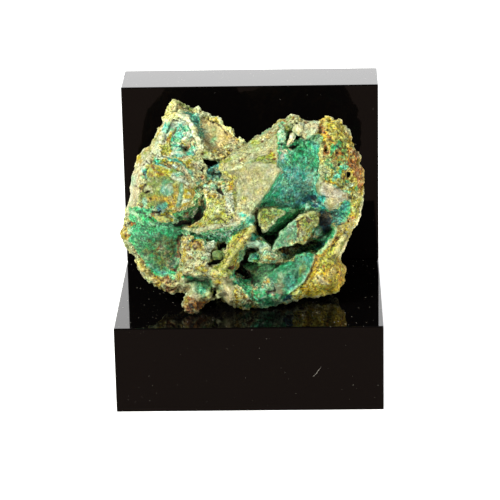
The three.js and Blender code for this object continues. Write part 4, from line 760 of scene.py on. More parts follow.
# The lime mound under it, and the white crust between the two.
field("lime", 1, (-9.8, 26.4), (-6, 26), (-5, 24), (-4, 22.6), (-4, 20.8), (-9, 20.2), (-12, 19.8), (-13.4, 19.2),
      (-11, 22), (-9.6, 24))
patch("cream", -8.6, 24.7, 0.6, 0.6, 0, 0.5)
patch("ochre", -7.2, 25.2, 0.9, 0.4, 0, 0.7)
streak("olive", 0.45, (-9.2, 21.9), (-8.4, 21.3), (-7.4, 21.5), (-6.4, 21.7), (-5.6, 20.9), strength=0.8)
patch("olive", -7, 22.3, 0.8, 0.2, -20, 0.5)
patch("ochre", -11.6, 20.6, 0.7, 0.35, 10)
patch("olive", -12, 19.9, 1.2, 0.25, 10, 0.8)
specks("olive", 16, 0.3, 28, (-9.8, 26), (-5, 24), (-4, 21), (-11, 20.4), strength=0.6)
specks("cream", 18, 0.35, 29, (-9.8, 26), (-5, 24), (-4, 21), (-11, 20.4), strength=0.6)
field("white", 0.9, (-6, 27.6), (-4.4, 27.8), (-3.8, 26), (-3.8, 23), (-4.6, 22.4), (-5.6, 24), (-5.5, 25.8))
patch("cream", -5, 23.2, 0.7, 1.4, 10)
patch("lime", -4.4, 22, 0.9, 0.9, 0, 0.6)
field("sand", 0.7, (-4.2, 22), (-2.6, 22), (-1.6, 21.2), (-3.2, 20.4), (-5, 20.2))

# The cream ledge and the teal pocket under it, its sparkle painted as glints of fine white specks.
streak("cream", 0.9, (-15, 19.6), (-13.4, 18.9), (-11.6, 18.9), (-9.6, 19.6), (-7, 20), (-4.4, 20.2), (-2.8, 20.6))
streak("sand", 0.3, (-12, 18.9), (-9.6, 19.5), (-7, 19.8), (-4.4, 20.1), strength=0.8)
patch("mint", -14.4, 18.6, 1.0, 0.6, 0, 0.7)
field("malachite", 1, (-13.2, 18), (-11, 18), (-9, 19.1), (-6, 19.6), (-3.6, 19.9), (-1.4, 20.6), (-1.2, 19.8), (-2.6, 18.6),
      (-3.8, 17.6), (-4.6, 16.4), (-8, 16.2), (-9.6, 16.9), (-11.2, 16.2), (-12.8, 17))
patch("shaded_green", -6.4, 17, 1.7, 0.8, 0, 0.7)
patch("turquoise", -11.4, 17.2, 1.1, 0.6, 0, 0.6)
specks("shaded_green", 22, 0.28, 30, (-12, 18), (-3, 19.6), (-4.6, 17), (-9, 17))
specks("white", 46, 0.16, 31, (-9, 19.4), (-2, 20.2), (-2.6, 18.4), (-5, 17.4), (-8.4, 17.2))
specks("mint", 20, 0.25, 32, (-12, 18.6), (-2, 20.2), (-2.6, 18.4), (-8.4, 17.2))
# Painted shade in two pits of the pocket.
patch("dark", -9.7, 16.8, 0.5, 0.3)
patch("dark", -6.4, 15.3, 1.2, 0.6)
specks("white", 40, 0.17, 96, (-9, 19), (-3, 20), (-3.4, 17.6), (-9, 17.2))
field("mint", 1, (-4, 20), (-1.9, 20.8), (0.2, 22.8), (1.3, 21.6), (0.6, 20), (-0.6, 18.8), (-2.6, 18.8), (-4, 19.2))
specks("turquoise", 22, 0.4, 33, (-4, 20), (0.2, 22.8), (1.2, 21.6), (-0.6, 18.8), (-4, 19))
specks("white", 14, 0.25, 34, (-4, 20), (0.2, 22.8), (1.2, 21.6), (-0.6, 18.8), (-4, 19))
patch("turquoise", -1.7, 22.5, 0.8, 0.5)
patch("turquoise", -0.3, 21.3, 0.8, 0.6)
specks("white", 40, 0.2, 80, (-12, 18), (-3, 20), (-4.4, 16.6), (-11, 16.4))
specks("mint", 30, 0.26, 81, (-12, 18), (-3, 20), (-4.4, 16.6), (-11, 16.4))
patch("ochre", -1.4, 21, 0.4, 0.3, 0, 0.6)

# The teal hollow, emerald at the top and blue at the lower right.
field("malachite", 1, (6.4, 42.6), (8, 43.2), (8.8, 41.4), (10.2, 40), (12, 39.8), (13.6, 40), (15.6, 40.7), (16.4, 39),
      (16.1, 36), (15.6, 33), (15.4, 30), (15.4, 27), (15.6, 24.4), (14, 23.6), (11, 23.2), (8, 23.4), (5, 24.4),
      (1.6, 24.2), (2.4, 25.6), (4.4, 28.4), (6, 31.2), (7.2, 32.8), (6.2, 33.8), (6.3, 38))
field("azure", 0.5, (8.4, 30.6), (10.6, 31.4), (13, 33.4), (15.4, 32), (15.4, 24.6), (12, 23.8), (8.4, 24.2), (6.6, 25.4))
field("turquoise", 0.6, (7, 39), (15.6, 40), (16, 33), (15.4, 25), (8, 24), (4, 26), (7, 32))
patch("malachite", 11.6, 37.6, 2.4, 1.8, 20, 0.6)
patch("malachite", 14.4, 34, 1.2, 2.6, 0, 0.5)
patch("azure", 9.6, 32.8, 2.4, 1.4, 30, 0.4)
patch("white", 10.4, 33.4, 2.2, 0.8, 30, 0.3)
patch("malachite", 5.2, 26.6, 2.0, 1.4, 50, 0.3)
patch("mint", 8.4, 30.2, 1.4, 1.0, 40, 0.4)
patch("plate", 13.4, 33, 0.8, 1.2, 0, 0.3)
patch("plate", 13.8, 30.4, 1.2, 2.2, -10, 0.35)
patch("plate", 12.2, 28, 1.6, 0.8, 50, 0.3)
patch("deepblue", 13.6, 26.2, 1.5, 0.9, 20)
patch("deepblue", 11.6, 25.6, 2.0, 0.7, 30, 0.5)
patch("malachite", 9.2, 26.2, 1.4, 0.8, 40, 0.5)
for offset in (0.0, 1.5, 3.0, 4.4):
    streak("mint", 0.22, (7 + offset, 25.4), (8.8 + offset, 27.8), (11.2 + offset, 29.6), strength=0.5)
    streak("deepblue", 0.22, (7.6 + offset, 25.2), (9.6 + offset, 27.8), (11.8 + offset, 29.2), strength=0.5)
streak("shaded_green", 0.6, (2, 24.6), (4.4, 28), (6, 30.6), strength=0.7)
streak("shaded_green", 0.5, (15.3, 33.4), (15.1, 30), (15.2, 27.4), strength=0.8)
streak("shaded_green", 0.35, (12.2, 39.2), (12.9, 37.9), strength=0.8)
streak("shaded_green", 0.5, (2.4, 24.6), (5, 25.4), (7, 24.8), (9.4, 24), strength=0.7)
patch("shaded_green", 13.6, 35.4, 0.8, 1.2, 0, 0.4)
specks("mint", 70, 0.28, 35, (6.4, 38), (15, 39), (15, 28), (5, 26), strength=0.55)
specks("mint", 90, 0.3, 92, (4, 26), (6.4, 31), (9, 34), (13, 32), (14, 28), (9, 25), strength=0.5)
specks("azure", 70, 0.32, 93, (4, 26), (6.4, 31), (9, 34), (13, 32), (14, 28), (9, 25), strength=0.6)
specks("white", 70, 0.2, 94, (4, 26), (6.4, 31), (9, 34), (13, 32), (14, 28), (9, 25), strength=0.55)
patch("mint", 15.4, 39.3, 1.2, 1.0, -20, 0.8)
patch("azure", 14.8, 38.4, 1.4, 0.8, -20, 0.6)
patch("white", 15.6, 39.5, 0.8, 0.7, -20, 0.6)
specks("shaded_green", 70, 0.28, 36, (6.4, 38), (15, 39), (15, 25), (5, 26), strength=0.6)
specks("azure", 40, 0.3, 37, (8, 35), (15, 35), (15, 25), (6, 26), strength=0.5)
specks("white", 34, 0.2, 38, (8, 35), (15, 35), (15, 28), (7, 28), strength=0.4)
field("mint", 0.9, (6.4, 42.8), (7.9, 43.1), (8.4, 41.4), (8.1, 39.2), (7.2, 38.7), (6.4, 39.4))
patch("turquoise", 7.4, 39.6, 0.6, 0.5, 0, 0.5)
patch("olive", 8.3, 42.1, 0.45, 0.8)
patch("dark", 6.6, 42.1, 0.5, 0.25, 30)
patch("dark", 6.6, 38.2, 0.3, 0.35)
patch("rust", 7, 37.6, 0.5, 0.25, 0, 0.6)
patch("dark", 7.5, 38.5, 0.28, 0.22)
field("mint", 0.5, (6.4, 38.2), (8.6, 38.2), (9.8, 36.8), (9.6, 35.6), (8.6, 34), (6.5, 33.8))
patch("ivory_and_highlight", 8.4, 36.7, 1.0, 0.9, 20, 0.8)
patch("ivory_and_highlight", 7, 36.1, 0.5, 0.7, 0, 0.7)
patch("mint", 7.4, 34.9, 0.9, 0.5, 0, 0.7)
specks("white", 34, 0.26, 95, (6.6, 38.2), (9, 38), (10, 36.8), (8.6, 34.6), (6.8, 34.6), strength=0.8)
field("mint", 0.4, (6.6, 35.6), (9, 36), (9.4, 34.4), (8, 33.6), (6.6, 33.8))
patch("mint", 10, 39.2, 0.8, 0.5, 20, 0.7)
specks("ivory_and_highlight", 30, 0.34, 39, (6.4, 38.4), (9, 38), (10, 36.8), (9, 34.6), (6.6, 34.4), strength=0.9)
specks("malachite", 20, 0.34, 79, (6.4, 38.4), (9, 38), (10, 36.8), (9, 34.6), (6.6, 34.4), strength=0.9)
specks("turquoise", 16, 0.3, 40, (6.4, 38), (9, 38), (10, 36.6), (8.8, 34), (6.6, 34), strength=0.8)
patch("shaded_green", 8.1, 37.9, 0.4, 0.3)
streak("ivory_and_highlight", 0.7, (8.6, 38.6), (9.2, 39.8), (9.6, 40.8))
patch("sand", 8.7, 38.8, 0.5, 0.5, 0, 0.5)
# Painted shade in the grooves beside the white streak.
streak("dark", 0.3, (8.5, 39.7), (8.9, 40.7), (9.3, 41.5))
patch("dark", 10, 38.1, 1.0, 0.3, 25)
patch("dark", 15.6, 35.3, 0.4, 0.22)
patch("sand", 6.8, 32.6, 0.8, 0.4, -30, 0.7)
patch("malachite", 9.6, 34.6, 1.6, 1.0, 20, 0.4)

# The crest over the hollow, with its white crystals.
field("cream", 1, (4.4, 42.4), (6.6, 44), (9, 45.5), (10.6, 45.5), (12, 44.5), (15.4, 44.2), (17, 44.6), (16, 42.6),
      (12, 43.2), (9.6, 42.4), (8, 43.2), (6.4, 43), (5.2, 42.2))
patch("sand", 9.6, 44.6, 1.2, 0.4, 10, 0.8)
patch("lime", 11.6, 44.3, 1.0, 0.35, -20, 0.7)
patch("mint", 7.6, 43.5, 0.9, 0.3, 20, 0.8)
streak("ochre", 0.35, (5.4, 43), (6.6, 43.6), (7.8, 44))
streak("ivory_and_highlight", 0.4, (4.2, 42.7), (6.6, 44.4), (8.6, 45.4), (10.4, 45.6), (12, 44.7), (15, 44.4))
specks("olive", 14, 0.25, 41, (6, 43.4), (9, 45), (15, 44), (15, 43), (9, 42.6), strength=0.8)
specks("rust", 9, 0.2, 42, (6, 43.4), (9, 45), (15, 44), (15, 43), (9, 42.6))
field("white", 1, (10, 43), (12.2, 43.3), (15.4, 43.4), (15.9, 42), (14.2, 40.9), (12.6, 39.5), (11.6, 39.8), (11.7, 40.6),
      (10.4, 41), (9.8, 42.2))
field("ivory_and_highlight", 0.7, (10, 43), (12.2, 43.3), (15.4, 43.4), (15.9, 42), (14.2, 40.9), (12.6, 39.5), (11.6, 39.8),
      (11.7, 40.6), (10.4, 41), (9.8, 42.2))
field("sand", 0.3, (10, 43), (12.2, 43.3), (15.4, 43.4), (15.9, 42), (14.2, 40.9), (12.6, 39.5), (11.6, 39.8),
      (11.7, 40.6), (10.4, 41), (9.8, 42.2))
specks("sand", 20, 0.25, 43, (10, 43), (15.4, 43.4), (15.9, 42), (12.6, 39.5), (10.4, 41), strength=0.8)
dots("dark", 0.24, (9.8, 43), (9.7, 41.9), (10.5, 43.3), (13.7, 43.1))
patch("dark", 10.8, 40.1, 0.8, 0.42)
streak("sand", 0.4, (12.2, 42.2), (12, 40.8))
streak("mint", 0.6, (13.2, 40.2), (14.6, 40.6), (15.6, 40.7), (16.6, 40), (16.6, 39.2))

# The right rim: ochre, strewn with green, cream and rusty spots, with painted shade in its pits.
field("ochre", 1, (15.8, 44), (17.4, 45), (20.6, 44.4), (21.6, 42.6), (23.4, 40.4), (24.8, 36.4), (25.4, 34), (26.2, 31),
      (26.2, 28.6), (25.8, 26), (25.2, 22), (24.8, 20.4), (22.4, 21), (22.8, 23), (23.4, 26), (22.4, 28), (20, 29.4),
      (18, 30.2), (16, 31), (15.9, 34), (16.1, 38), (16.8, 40.4), (16, 41.6))
specks("olive", 34, 0.6, 44, (17, 41), (22, 41), (24.6, 34), (25, 24), (23, 24), (21, 29), (16.6, 31), strength=0.7)
specks("cream", 34, 0.45, 45, (17, 40), (22, 41), (24.6, 34), (25, 24), (23, 24), (21, 29), (16.6, 31), strength=0.8)
specks("malachite", 24, 0.5, 46, (18, 40), (22, 39), (23, 33), (21, 29), (17, 31), strength=0.8)
specks("mint", 34, 0.3, 47, (18, 40), (22, 39), (23, 33), (22, 28), (17, 31))
specks("rust", 26, 0.55, 48, (16, 44), (21, 44), (24.6, 36), (25.6, 28), (22, 29), (18, 34), strength=0.9)
specks("dark", 18, 0.16, 49, (16, 44), (21, 44), (24.6, 36), (25.6, 28), (22, 29), (17, 31))
patch("ochre", 19.3, 42.6, 2.0, 1.1, 0, 0.8)
streak("rust", 0.6, (16.2, 41.2), (17.4, 42.4), (18.4, 42.2), strength=0.6)
for x, y in ((17.6, 43.4), (19.2, 41.2), (21, 39.2), (19.6, 39.4), (22.4, 38.2), (21, 36.4)):
    streak("lime", 0.5, (x - 0.7, y - 0.5), (x, y), (x + 0.9, y + 0.3), strength=0.7)
patch("rust", 16.3, 42.9, 0.5, 0.6)
patch("rust", 16.6, 41.4, 1.0, 0.35, -10)
patch("dark", 17.8, 41.9, 0.45, 0.3)
patch("white", 17.5, 41.7, 0.35, 0.2)
dots("rust", 0.32, (20.1, 43), (20.8, 42), (21.7, 41.3), (20.3, 38.5))
# Painted highlights along the rim's outer edge, in the ivory colour.
streak("ivory_and_highlight", 0.6, (17.3, 44.9), (18.6, 44.4), (20.4, 44.3), (21.4, 42.9), (22.7, 41.3), (23.3, 39.6), strength=0.9)
field("lime", 0.4, (17, 44.4), (20.6, 44), (22.4, 41), (20, 39.6), (17, 40.8))
streak("ivory_and_highlight", 0.35, (22.9, 40.4), (23.9, 38), (24.7, 35.4), (25.4, 33), (26, 30.4), strength=0.8)
patch("lime", 20.4, 40, 0.9, 0.8, 0, 0.7)
field("olive", 0.5, (18.4, 40), (21.4, 39.8), (22.6, 37.4), (21.6, 35.4), (18.8, 35.2))
field("rust", 0.5, (22.2, 38.2), (24.2, 37.4), (25.4, 33.6), (26, 29), (24.6, 28.6), (23.2, 32.6), (22.2, 34.8))
patch("malachite", 20.2, 38.6, 0.6, 0.9, 30, 0.8)
patch("turquoise", 18.9, 37.2, 0.4, 0.5, 0, 0.8)
patch("malachite", 21.3, 37.2, 0.5, 0.4, 0, 0.8)
patch("turquoise", 19.5, 38, 0.8, 0.5)
streak("malachite", 0.5, (18.8, 38.4), (18.6, 37), (18.4, 36.2))
streak("rust", 0.8, (23.3, 37.2), (23.8, 36), (23.7, 34.4), (24.6, 32), (25.2, 29.4), strength=0.7)
field("cream", 0.9, (16.2, 39), (17.6, 38.8), (18.2, 36.6), (18, 34), (18.2, 31.4), (16.2, 30.6), (15.6, 32), (16, 35))
specks("olive", 16, 0.35, 50, (16.2, 36), (18.2, 36), (18, 31), (15.8, 31), strength=0.6)
specks("sand", 16, 0.35, 51, (16.2, 36), (18.2, 36), (18, 31), (15.8, 31), strength=0.8)
specks("mint", 10, 0.3, 52, (16.2, 34), (18.6, 36), (19, 31), (15.8, 31), strength=0.8)
patch("ivory_and_highlight", 17.2, 37.2, 0.95, 1.35, 0, 0.6)
patch("rust", 17.3, 37.15, 0.62, 1.05)
patch("rust", 17.3, 37.15, 0.5, 0.9)
patch("dark", 17.1, 36.5, 0.25, 0.12, 0, 0.5)
patch("cream", 19.6, 34, 0.9, 0.6, 0, 0.8)
patch("turquoise", 21.5, 33.5, 1.0, 0.7)
patch("turquoise", 19.9, 31.2, 0.9, 0.55)
patch("malachite", 20.5, 32.6, 0.5, 0.7)
patch("rust", 20.2, 36.4, 0.7, 0.5)
patch("dark", 20.1, 36.7, 0.3, 0.2)
patch("dark", 20.3, 34.1, 0.35, 0.3, 0, 0.8)
patch("rust", 22.8, 33.8, 1.0, 0.5, -40, 0.8)
patch("rust", 21.6, 31.2, 0.9, 0.7, 0, 0.8)
patch("ochre", 21.2, 31.5, 0.5, 0.4)
patch("dark", 22.6, 31.7, 0.5, 0.52)
patch("white", 23, 29.3, 0.6, 0.5, 0, 0.8)
patch("malachite", 22.3, 30.2, 0.5, 0.4, 0, 0.7)
patch("mint", 17.9, 34.9, 0.6, 0.5, 0, 0.8)
patch("malachite", 18.6, 33.4, 0.4, 0.5, 0, 0.8)
patch("malachite", 17.2, 31.6, 0.5, 0.35, 0, 0.7)
patch("rust", 17.7, 40.4, 0.6, 0.4, 0, 0.7)
patch("dark", 22.9, 28.7, 0.24, 0.2)
patch("malachite", 24.3, 28.6, 0.4, 0.5)
streak("ochre", 0.5, (19.8, 30), (20.8, 29.3), (21.9, 28.7))
patch("cream", 22.3, 29, 0.5, 0.4)
patch("mint", 21, 27.9, 0.8, 0.28)
patch("mint", 22.6, 27.8, 0.5, 0.4)
field("lime", 0.75, (23.4, 27.8), (25.8, 28), (25.8, 26), (25.2, 22.6), (24.8, 20.2), (22.8, 19.8), (23.4, 22), (22.9, 24.4),
      (23, 26))
specks("ochre", 14, 0.35, 53, (23, 28), (25.6, 28), (25, 21), (23, 20))
specks("cream", 12, 0.3, 54, (23, 28), (25.6, 28), (25, 21), (23, 20))
patch("rust", 22.9, 21.5, 0.8, 0.6, 20)
patch("rust", 22.7, 21.3, 0.9, 0.45, 30)
patch("dark", 22.7, 21.2, 0.6, 0.3, 30)
patch("rust", 22.4, 26.4, 0.4, 0.35)
# A painted highlight down the right edge, in the ivory colour.
streak("ivory_and_highlight", 0.9, (26.1, 28), (25.7, 25.8), (25.3, 23.6), (24.8, 21.6), (24.2, 20.2))
patch("ivory_and_highlight", 23.9, 21.2, 0.7, 0.7, 30, 0.8)

# The smooth pinkish faces and the blue round them.
field("white", 1, (16.2, 29.8), (18, 29.8), (20, 28.6), (21.2, 27.8), (22.2, 27.2), (22, 26.2), (20.6, 25.4), (19.9, 24.4),
      (18.6, 23.4), (17.2, 24), (17.1, 25.6), (16.2, 27), (15.8, 28.4))
field("sand", 0.3, (16.2, 29.8), (18, 29.8), (20, 28.6), (21.2, 27.8), (22.2, 27.2), (22, 26.2), (20.6, 25.4), (19.9, 24.4),
      (18.6, 23.4), (17.2, 24), (17.1, 25.6), (16.2, 27), (15.8, 28.4))
field("ivory_and_highlight", 0.45, (16.4, 29.4), (18, 29.4), (20, 28.2), (21.8, 27), (20.4, 26.8), (17.4, 26.9), (16, 28.2))
streak("olive", 0.18, (17.2, 26.7), (18.6, 26.6), (20.4, 26.3), strength=0.4)
patch("ochre", 21.5, 26.8, 0.9, 0.5, 10, 0.45)
patch("rust", 21.7, 26.6, 0.5, 0.3, 0, 0.35)
field("plate", 0.75, (16.9, 26.4), (18.6, 26.5), (20.4, 26), (19.6, 24.6), (18.5, 23.8), (17.4, 24.3))
patch("cream", 17.2, 28.8, 1.2, 0.9, 0, 0.4)
patch("mint", 19.4, 29, 0.7, 0.25, -30)
patch("malachite", 17.6, 30.7, 0.6, 0.35, 0, 0.8)
patch("olive", 16.2, 29.3, 0.28, 0.28)
streak("plate", 0.7, (15.6, 30.4), (15.7, 28.4), (15.9, 27), strength=0.8)
patch("turquoise", 16.5, 26.2, 0.65, 0.9)
patch("azure", 16, 25.2, 0.5, 0.5, 0, 0.8)
patch("turquoise", 16.5, 24.1, 0.6, 0.7)
field("turquoise", 1, (20, 24.2), (22.4, 25.8), (22.4, 24.8), (21.8, 23.2), (20.6, 22.5))
patch("azure", 21, 24.1, 0.9, 0.6, 30)
field("azure", 0.5, (20, 24.2), (22.6, 25.9), (22.9, 24.8), (22, 23.2), (20.6, 22.6))

# The dark blue cavity on the right.
field("deepblue", 1, (16, 23.6), (17.6, 23.2), (19.8, 23.9), (21, 23), (22.2, 22.6), (22, 21.4), (20.4, 20.3), (18.6, 20.6),
      (18.2, 18.2), (16.8, 18.4), (16, 20), (15.6, 21.4))
patch("azure", 21.2, 22, 0.9, 0.9, 0, 0.8)
patch("shaded_green", 18.8, 22, 0.7, 0.6, 0, 0.8)
streak("turquoise", 0.3, (19.8, 21.2), (20.8, 20.9), (21.8, 21.4), strength=0.8)
streak("mint", 0.4, (22.2, 23.4), (22, 22), (21.4, 20.9))
specks("azure", 12, 0.3, 55, (17, 23), (22, 23), (21, 20.6), (17, 19))
field("turquoise", 0.6, (19.4, 23.9), (21.9, 23.4), (21.8, 21.6), (20.6, 20.8), (19.6, 22))
field("azure", 0.5, (18, 23.4), (20.4, 23.8), (20.6, 20.8), (18.8, 20.8))
for offset in (0, 0.8, 1.6):
    streak("deepblue", 0.25, (18.6 + offset, 21.2), (19.4 + offset, 22.6), (19.6 + offset, 23.8), strength=0.7)
# Painted shade deep in the cavity.
patch("dark", 17.2, 21.6, 1.6, 1.8, 0, 0.55)
patch("sand", 17.2, 22.4, 1.2, 1.0, 0, 0.3)
patch("deepblue", 14.8, 24.8, 0.9, 0.7, 0, 0.9)
patch("mint", 13.2, 24.5, 0.5, 1.0)
streak("white", 0.28, (14.1, 25.8), (15, 25), (15.8, 24.6))
streak("white", 0.28, (14.8, 25.9), (15.3, 25.2), strength=0.8)
patch("mint", 14.8, 23.6, 0.9, 0.28, -10)

# The yellow block, its underface darkened green with painted shade, and the crevice beside it filled with painted
# shade.
field("shaded_green", 1, (2.6, 18.6), (5.8, 21.4), (8.2, 23.4), (10.8, 24), (13.2, 24.2), (12.2, 22.8), (9.6, 21), (8.2, 19),
      (7, 18.6), (4.6, 17.8))
patch("malachite", 9.4, 22.6, 1.8, 0.6, 30, 0.6)
patch("malachite", 7.4, 20.8, 1.4, 0.8, 40, 0.35)
field("lime", 1, (1.9, 23.9), (4.4, 24.4), (8.2, 23.2), (5.6, 21.2), (3.2, 18.8), (1.9, 20.8))
patch("olive", 3.2, 23.1, 0.6, 0.35)
patch("ochre", 4.8, 22.2, 1.0, 0.45, -10)
patch("ochre", 3, 21.2, 0.8, 0.7, 0, 0.8)
patch("rust", 4.3, 24.1, 0.7, 0.22, 0, 0.7)
patch("sand", 3.3, 20.1, 0.5, 0.7, 0, 0.7)
patch("mint", 6.4, 23.1, 0.8, 0.35, -10, 0.5)
streak("cream", 0.35, (8.1, 23.1), (5.6, 21.4), (3.3, 19.1), strength=0.8)
specks("olive", 10, 0.25, 56, (2, 23.8), (7, 23.4), (3.2, 19.6), (2, 21), strength=0.8)
field("dark", 1, (1.2, 21.6), (1.9, 20.8), (2.9, 18.7), (6.4, 18.5), (6.4, 17), (5.3, 15.5), (4.4, 15.4), (3.3, 16.6),
      (2.4, 17.6), (1.4, 19))
field("shaded_green", 0.8, (2.4, 18.2), (6.2, 18.4), (6.2, 17), (5.2, 15.8), (3.4, 16.6))
patch("sand", 4.6, 16.8, 1.2, 0.5, 0, 0.4)
streak("sand", 0.5, (1.2, 23.4), (1.4, 22.2), strength=0.7)
patch("sand", 1.8, 19.2, 0.3, 0.7, 0, 0.5)

# The mint and yellow blade.
field("mint", 1, (4.4, 14.4), (6.2, 17), (6.9, 18.8), (8.2, 18.9), (9.4, 20.9), (10.9, 21.6), (11, 19), (10.6, 16.8),
      (9.2, 15.2), (7.6, 15.4), (6, 14.8))
specks("malachite", 16, 0.35, 57, (5, 14.6), (7, 18.6), (10.8, 21.4), (10.8, 17), (8, 15.6), strength=0.7)
specks("white", 10, 0.25, 58, (5, 14.6), (7, 18.6), (10.8, 21.4), (10.8, 17), (8, 15.6), strength=0.8)
patch("cream", 9.2, 16.5, 0.5, 0.5)
patch("sand", 8.7, 17.6, 0.3, 0.3)
patch("shaded_green", 10.5, 16.7, 0.6, 0.3, 20, 0.6)
field("ochre", 1, (10.6, 21.5), (12.4, 22.8), (14.4, 23.4), (15.9, 22.7), (15.6, 20.8), (14.4, 18.4), (13.4, 17), (12.2, 15.9),
      (11, 16.8), (10.8, 19))
field("lime", 0.7, (12, 22.4), (14.4, 23.4), (15.9, 22.7), (15.6, 20.8), (14.4, 19), (12.6, 19.6), (11.2, 20.4))
patch("lime", 12.4, 20.5, 0.9, 0.5)
patch("sand", 11.9, 18.4, 0.8, 1.0, 0, 0.8)
patch("mint", 11.6, 17.2, 0.6, 0.6, 0, 0.6)
patch("mint", 13.4, 17.6, 0.4, 0.6, 0, 0.6)
streak("dark", 0.3, (10.8, 21), (12, 21.9), strength=0.8)
streak("rust", 0.3, (13.2, 21.9), (14.2, 21.2))
patch("rust", 11, 20, 0.5, 0.25)
specks("rust", 12, 0.22, 59, (11, 21), (15, 22.6), (14.6, 19), (12.4, 16.4))
specks("cream", 12, 0.22, 60, (11, 21), (15, 22.6), (14.6, 19), (12.4, 16.4))
patch("rust", 12.5, 16.6, 0.25, 0.25)
streak("cream", 0.35, (10.2, 21.5), (12.2, 22.9), (14.2, 23.4), strength=0.9)

# The grey lump behind the blade, and the crevice under both, which is filled with painted shade.
field("shaded_green", 1, (14.2, 19.4), (15.8, 20.4), (16.8, 19), (17.4, 17.6), (16, 16.6), (14, 16.8))
patch("azure", 15.6, 19, 0.8, 0.7, 0, 0.3)
patch("sand", 14.9, 17.8, 1.0, 0.5, 0, 0.7)
patch("rust", 14.8, 17.8, 0.7, 0.3, 0, 0.4)
field("malachite", 1, (17.6, 18.4), (18.6, 20.4), (19.8, 20), (19.6, 18), (18.6, 16.2), (17, 15.8), (16.4, 17.2))
patch("azure", 17.2, 16.8, 0.6, 0.5, 0, 0.5)
field("dark", 1, (6.6, 15), (9, 15.3), (10.8, 16), (12, 15.7), (14, 16.5), (16, 16.6), (17, 15.6), (15, 14.2), (12.6, 14),
      (9.6, 13.9), (9.2, 12.9), (7.2, 13.8))
patch("deepblue", 16.2, 15.8, 0.8, 0.5, 0, 0.8)
field("shaded_green", 0.7, (9.4, 14.4), (11, 15.4), (16.4, 16.2), (16.6, 15), (13, 14.1), (9.6, 14))
patch("rust", 8.2, 14.5, 0.9, 0.5, 0, 0.6)
patch("rust", 10.6, 15, 0.9, 0.4, 20, 0.5)
patch("azure", 15, 15.2, 1.0, 0.4, 10, 0.6)
patch("azure", 7.6, 13.4, 0.8, 0.5, 0, 0.7)
streak("mint", 0.3, (6.8, 12.8), (8, 12.7), (9, 13))
streak("mint", 0.6, (19.5, 19.4), (19.5, 18), (19, 16.7), (17.9, 15.9), (17.1, 14.7), (16, 13.8), (14.8, 13.6))

# The pale bridge, the cream shelf and the cave with its teal crystal, the cave filled with painted shade.
field("white", 1, (-0.8, 16), (0.5, 16.9), (1.6, 16.7), (2.8, 17.1), (3.5, 15.8), (4.7, 15.1), (5, 14.3), (3.6, 13.8),
      (2.6, 12.4), (2.3, 13.8), (1.8, 15), (0.6, 15.6), (-1.4, 15.2))
patch("turquoise", 0.9, 17.5, 0.6, 1.0, 20)
patch("mint", 2.9, 16.2, 0.6, 0.8)
patch("sand", 3.7, 14.8, 1.0, 0.35, -10)
patch("mint", 3.6, 13.9, 0.5, 0.35)
patch("mint", 0.4, 15.9, 0.8, 0.25, 0, 0.5)
field("mint", 1, (3.1, 13.6), (4.8, 14.2), (6.4, 13.8), (6.4, 12), (4.6, 11.7), (2.9, 12.3))
streak("ivory_and_highlight", 0.4, (3.2, 13.2), (4.6, 13.8), (6.1, 13.4), strength=0.8)
patch("ochre", 4.5, 12.75, 1.4, 0.5)
patch("rust", 5.4, 12.5, 0.35, 0.3)
field("dark", 1, (-2.2, 11.4), (-1.9, 13.4), (-1, 15.3), (1.2, 15.4), (1.9, 14.6), (1.3, 14.1), (0, 14.1), (-0.5, 12.8),
      (-0.2, 11.7), (-1.6, 10), (-3.8, 9.3), (-2.8, 10.4))
field("mint", 1, (-0.5, 12.2), (0.1, 14.4), (1.6, 14.3), (2.4, 13.2), (2.1, 11.8), (0.2, 11.6))
field("turquoise", 0.7, (-0.3, 12.4), (0.2, 14.1), (1.4, 14.1), (2.2, 13.2), (1.9, 11.9), (0.2, 11.8))
patch("olive", 0.9, 12.2, 1.0, 0.4, 0, 0.6)
patch("mint", 0, 12.6, 0.5, 0.5, 0, 0.7)
patch("deepblue", 0.8, 12.9, 0.3, 0.35)
patch("azure", 1.5, 13.2, 0.5, 0.6, 0, 0.6)

# The slab on the floor of the cave, its dark green a painted shade, the painted shade of the hole beside it, and the
# green strip under it.
field("shaded_green", 1, (-1.9, 10.8), (-0.6, 11.6), (2, 11.7), (5.4, 11.6), (7.4, 11.2), (7, 10), (4.6, 8.6), (3, 7.4),
      (2.6, 6.2), (1, 6), (0.3, 7.6), (0.3, 9.8), (-1.4, 9.9))
patch("olive", 1.4, 9.6, 1.0, 0.6, 0, 0.4)
patch("rust", 2, 10.6, 0.8, 0.25, 20, 0.5)
patch("malachite", 4.4, 10.2, 1.3, 0.8, 20, 0.45)
patch("dark", 0.6, 8.6, 0.3, 0.9, 0, 0.5)
field("dark", 1, (-3.8, 9.3), (-2.2, 10.2), (-0.6, 9.9), (0, 9.8), (0.3, 8.1), (-1.4, 8), (-2.6, 8.7))
field("malachite", 1, (-4.1, 8.5), (-2, 8.2), (0, 7.9), (0.6, 6.2), (0.3, 4.4), (0.7, 3.1), (-0.2, 3.6), (-1.6, 5), (-2.9, 6.6))
patch("mint", -3, 7.6, 0.7, 0.3, -40, 0.7)
patch("azure", -2.6, 7.1, 0.25, 0.3)
patch("deepblue", -1.2, 5.6, 0.25, 0.25)
patch("sand", -0.4, 6.8, 0.8, 0.5, -30, 0.4)
field("cream", 1, (-3.8, 6.6), (-2.7, 6.2), (-1.4, 4.6), (0, 3.4), (0.9, 2.2), (-0.6, 2.2), (-2.4, 1.8), (-4, 1.8), (-4.2, 4))
streak("ochre", 0.7, (-3.4, 5.6), (-3.1, 4), (-2.9, 2.6))
patch("ochre", -1.1, 3.8, 0.4, 0.5)
patch("rust", -0.2, 2.9, 0.6, 0.22)
specks("mint", 10, 0.28, 61, (-3.4, 6), (-1, 4.4), (0.4, 2.4), (-3.4, 2.2))
specks("rust", 10, 0.2, 62, (-3.4, 6), (-1, 4.4), (0.4, 2.4), (-3.4, 2.2))
patch("shaded_green", -0.6, 1.7, 1.5, 0.35)

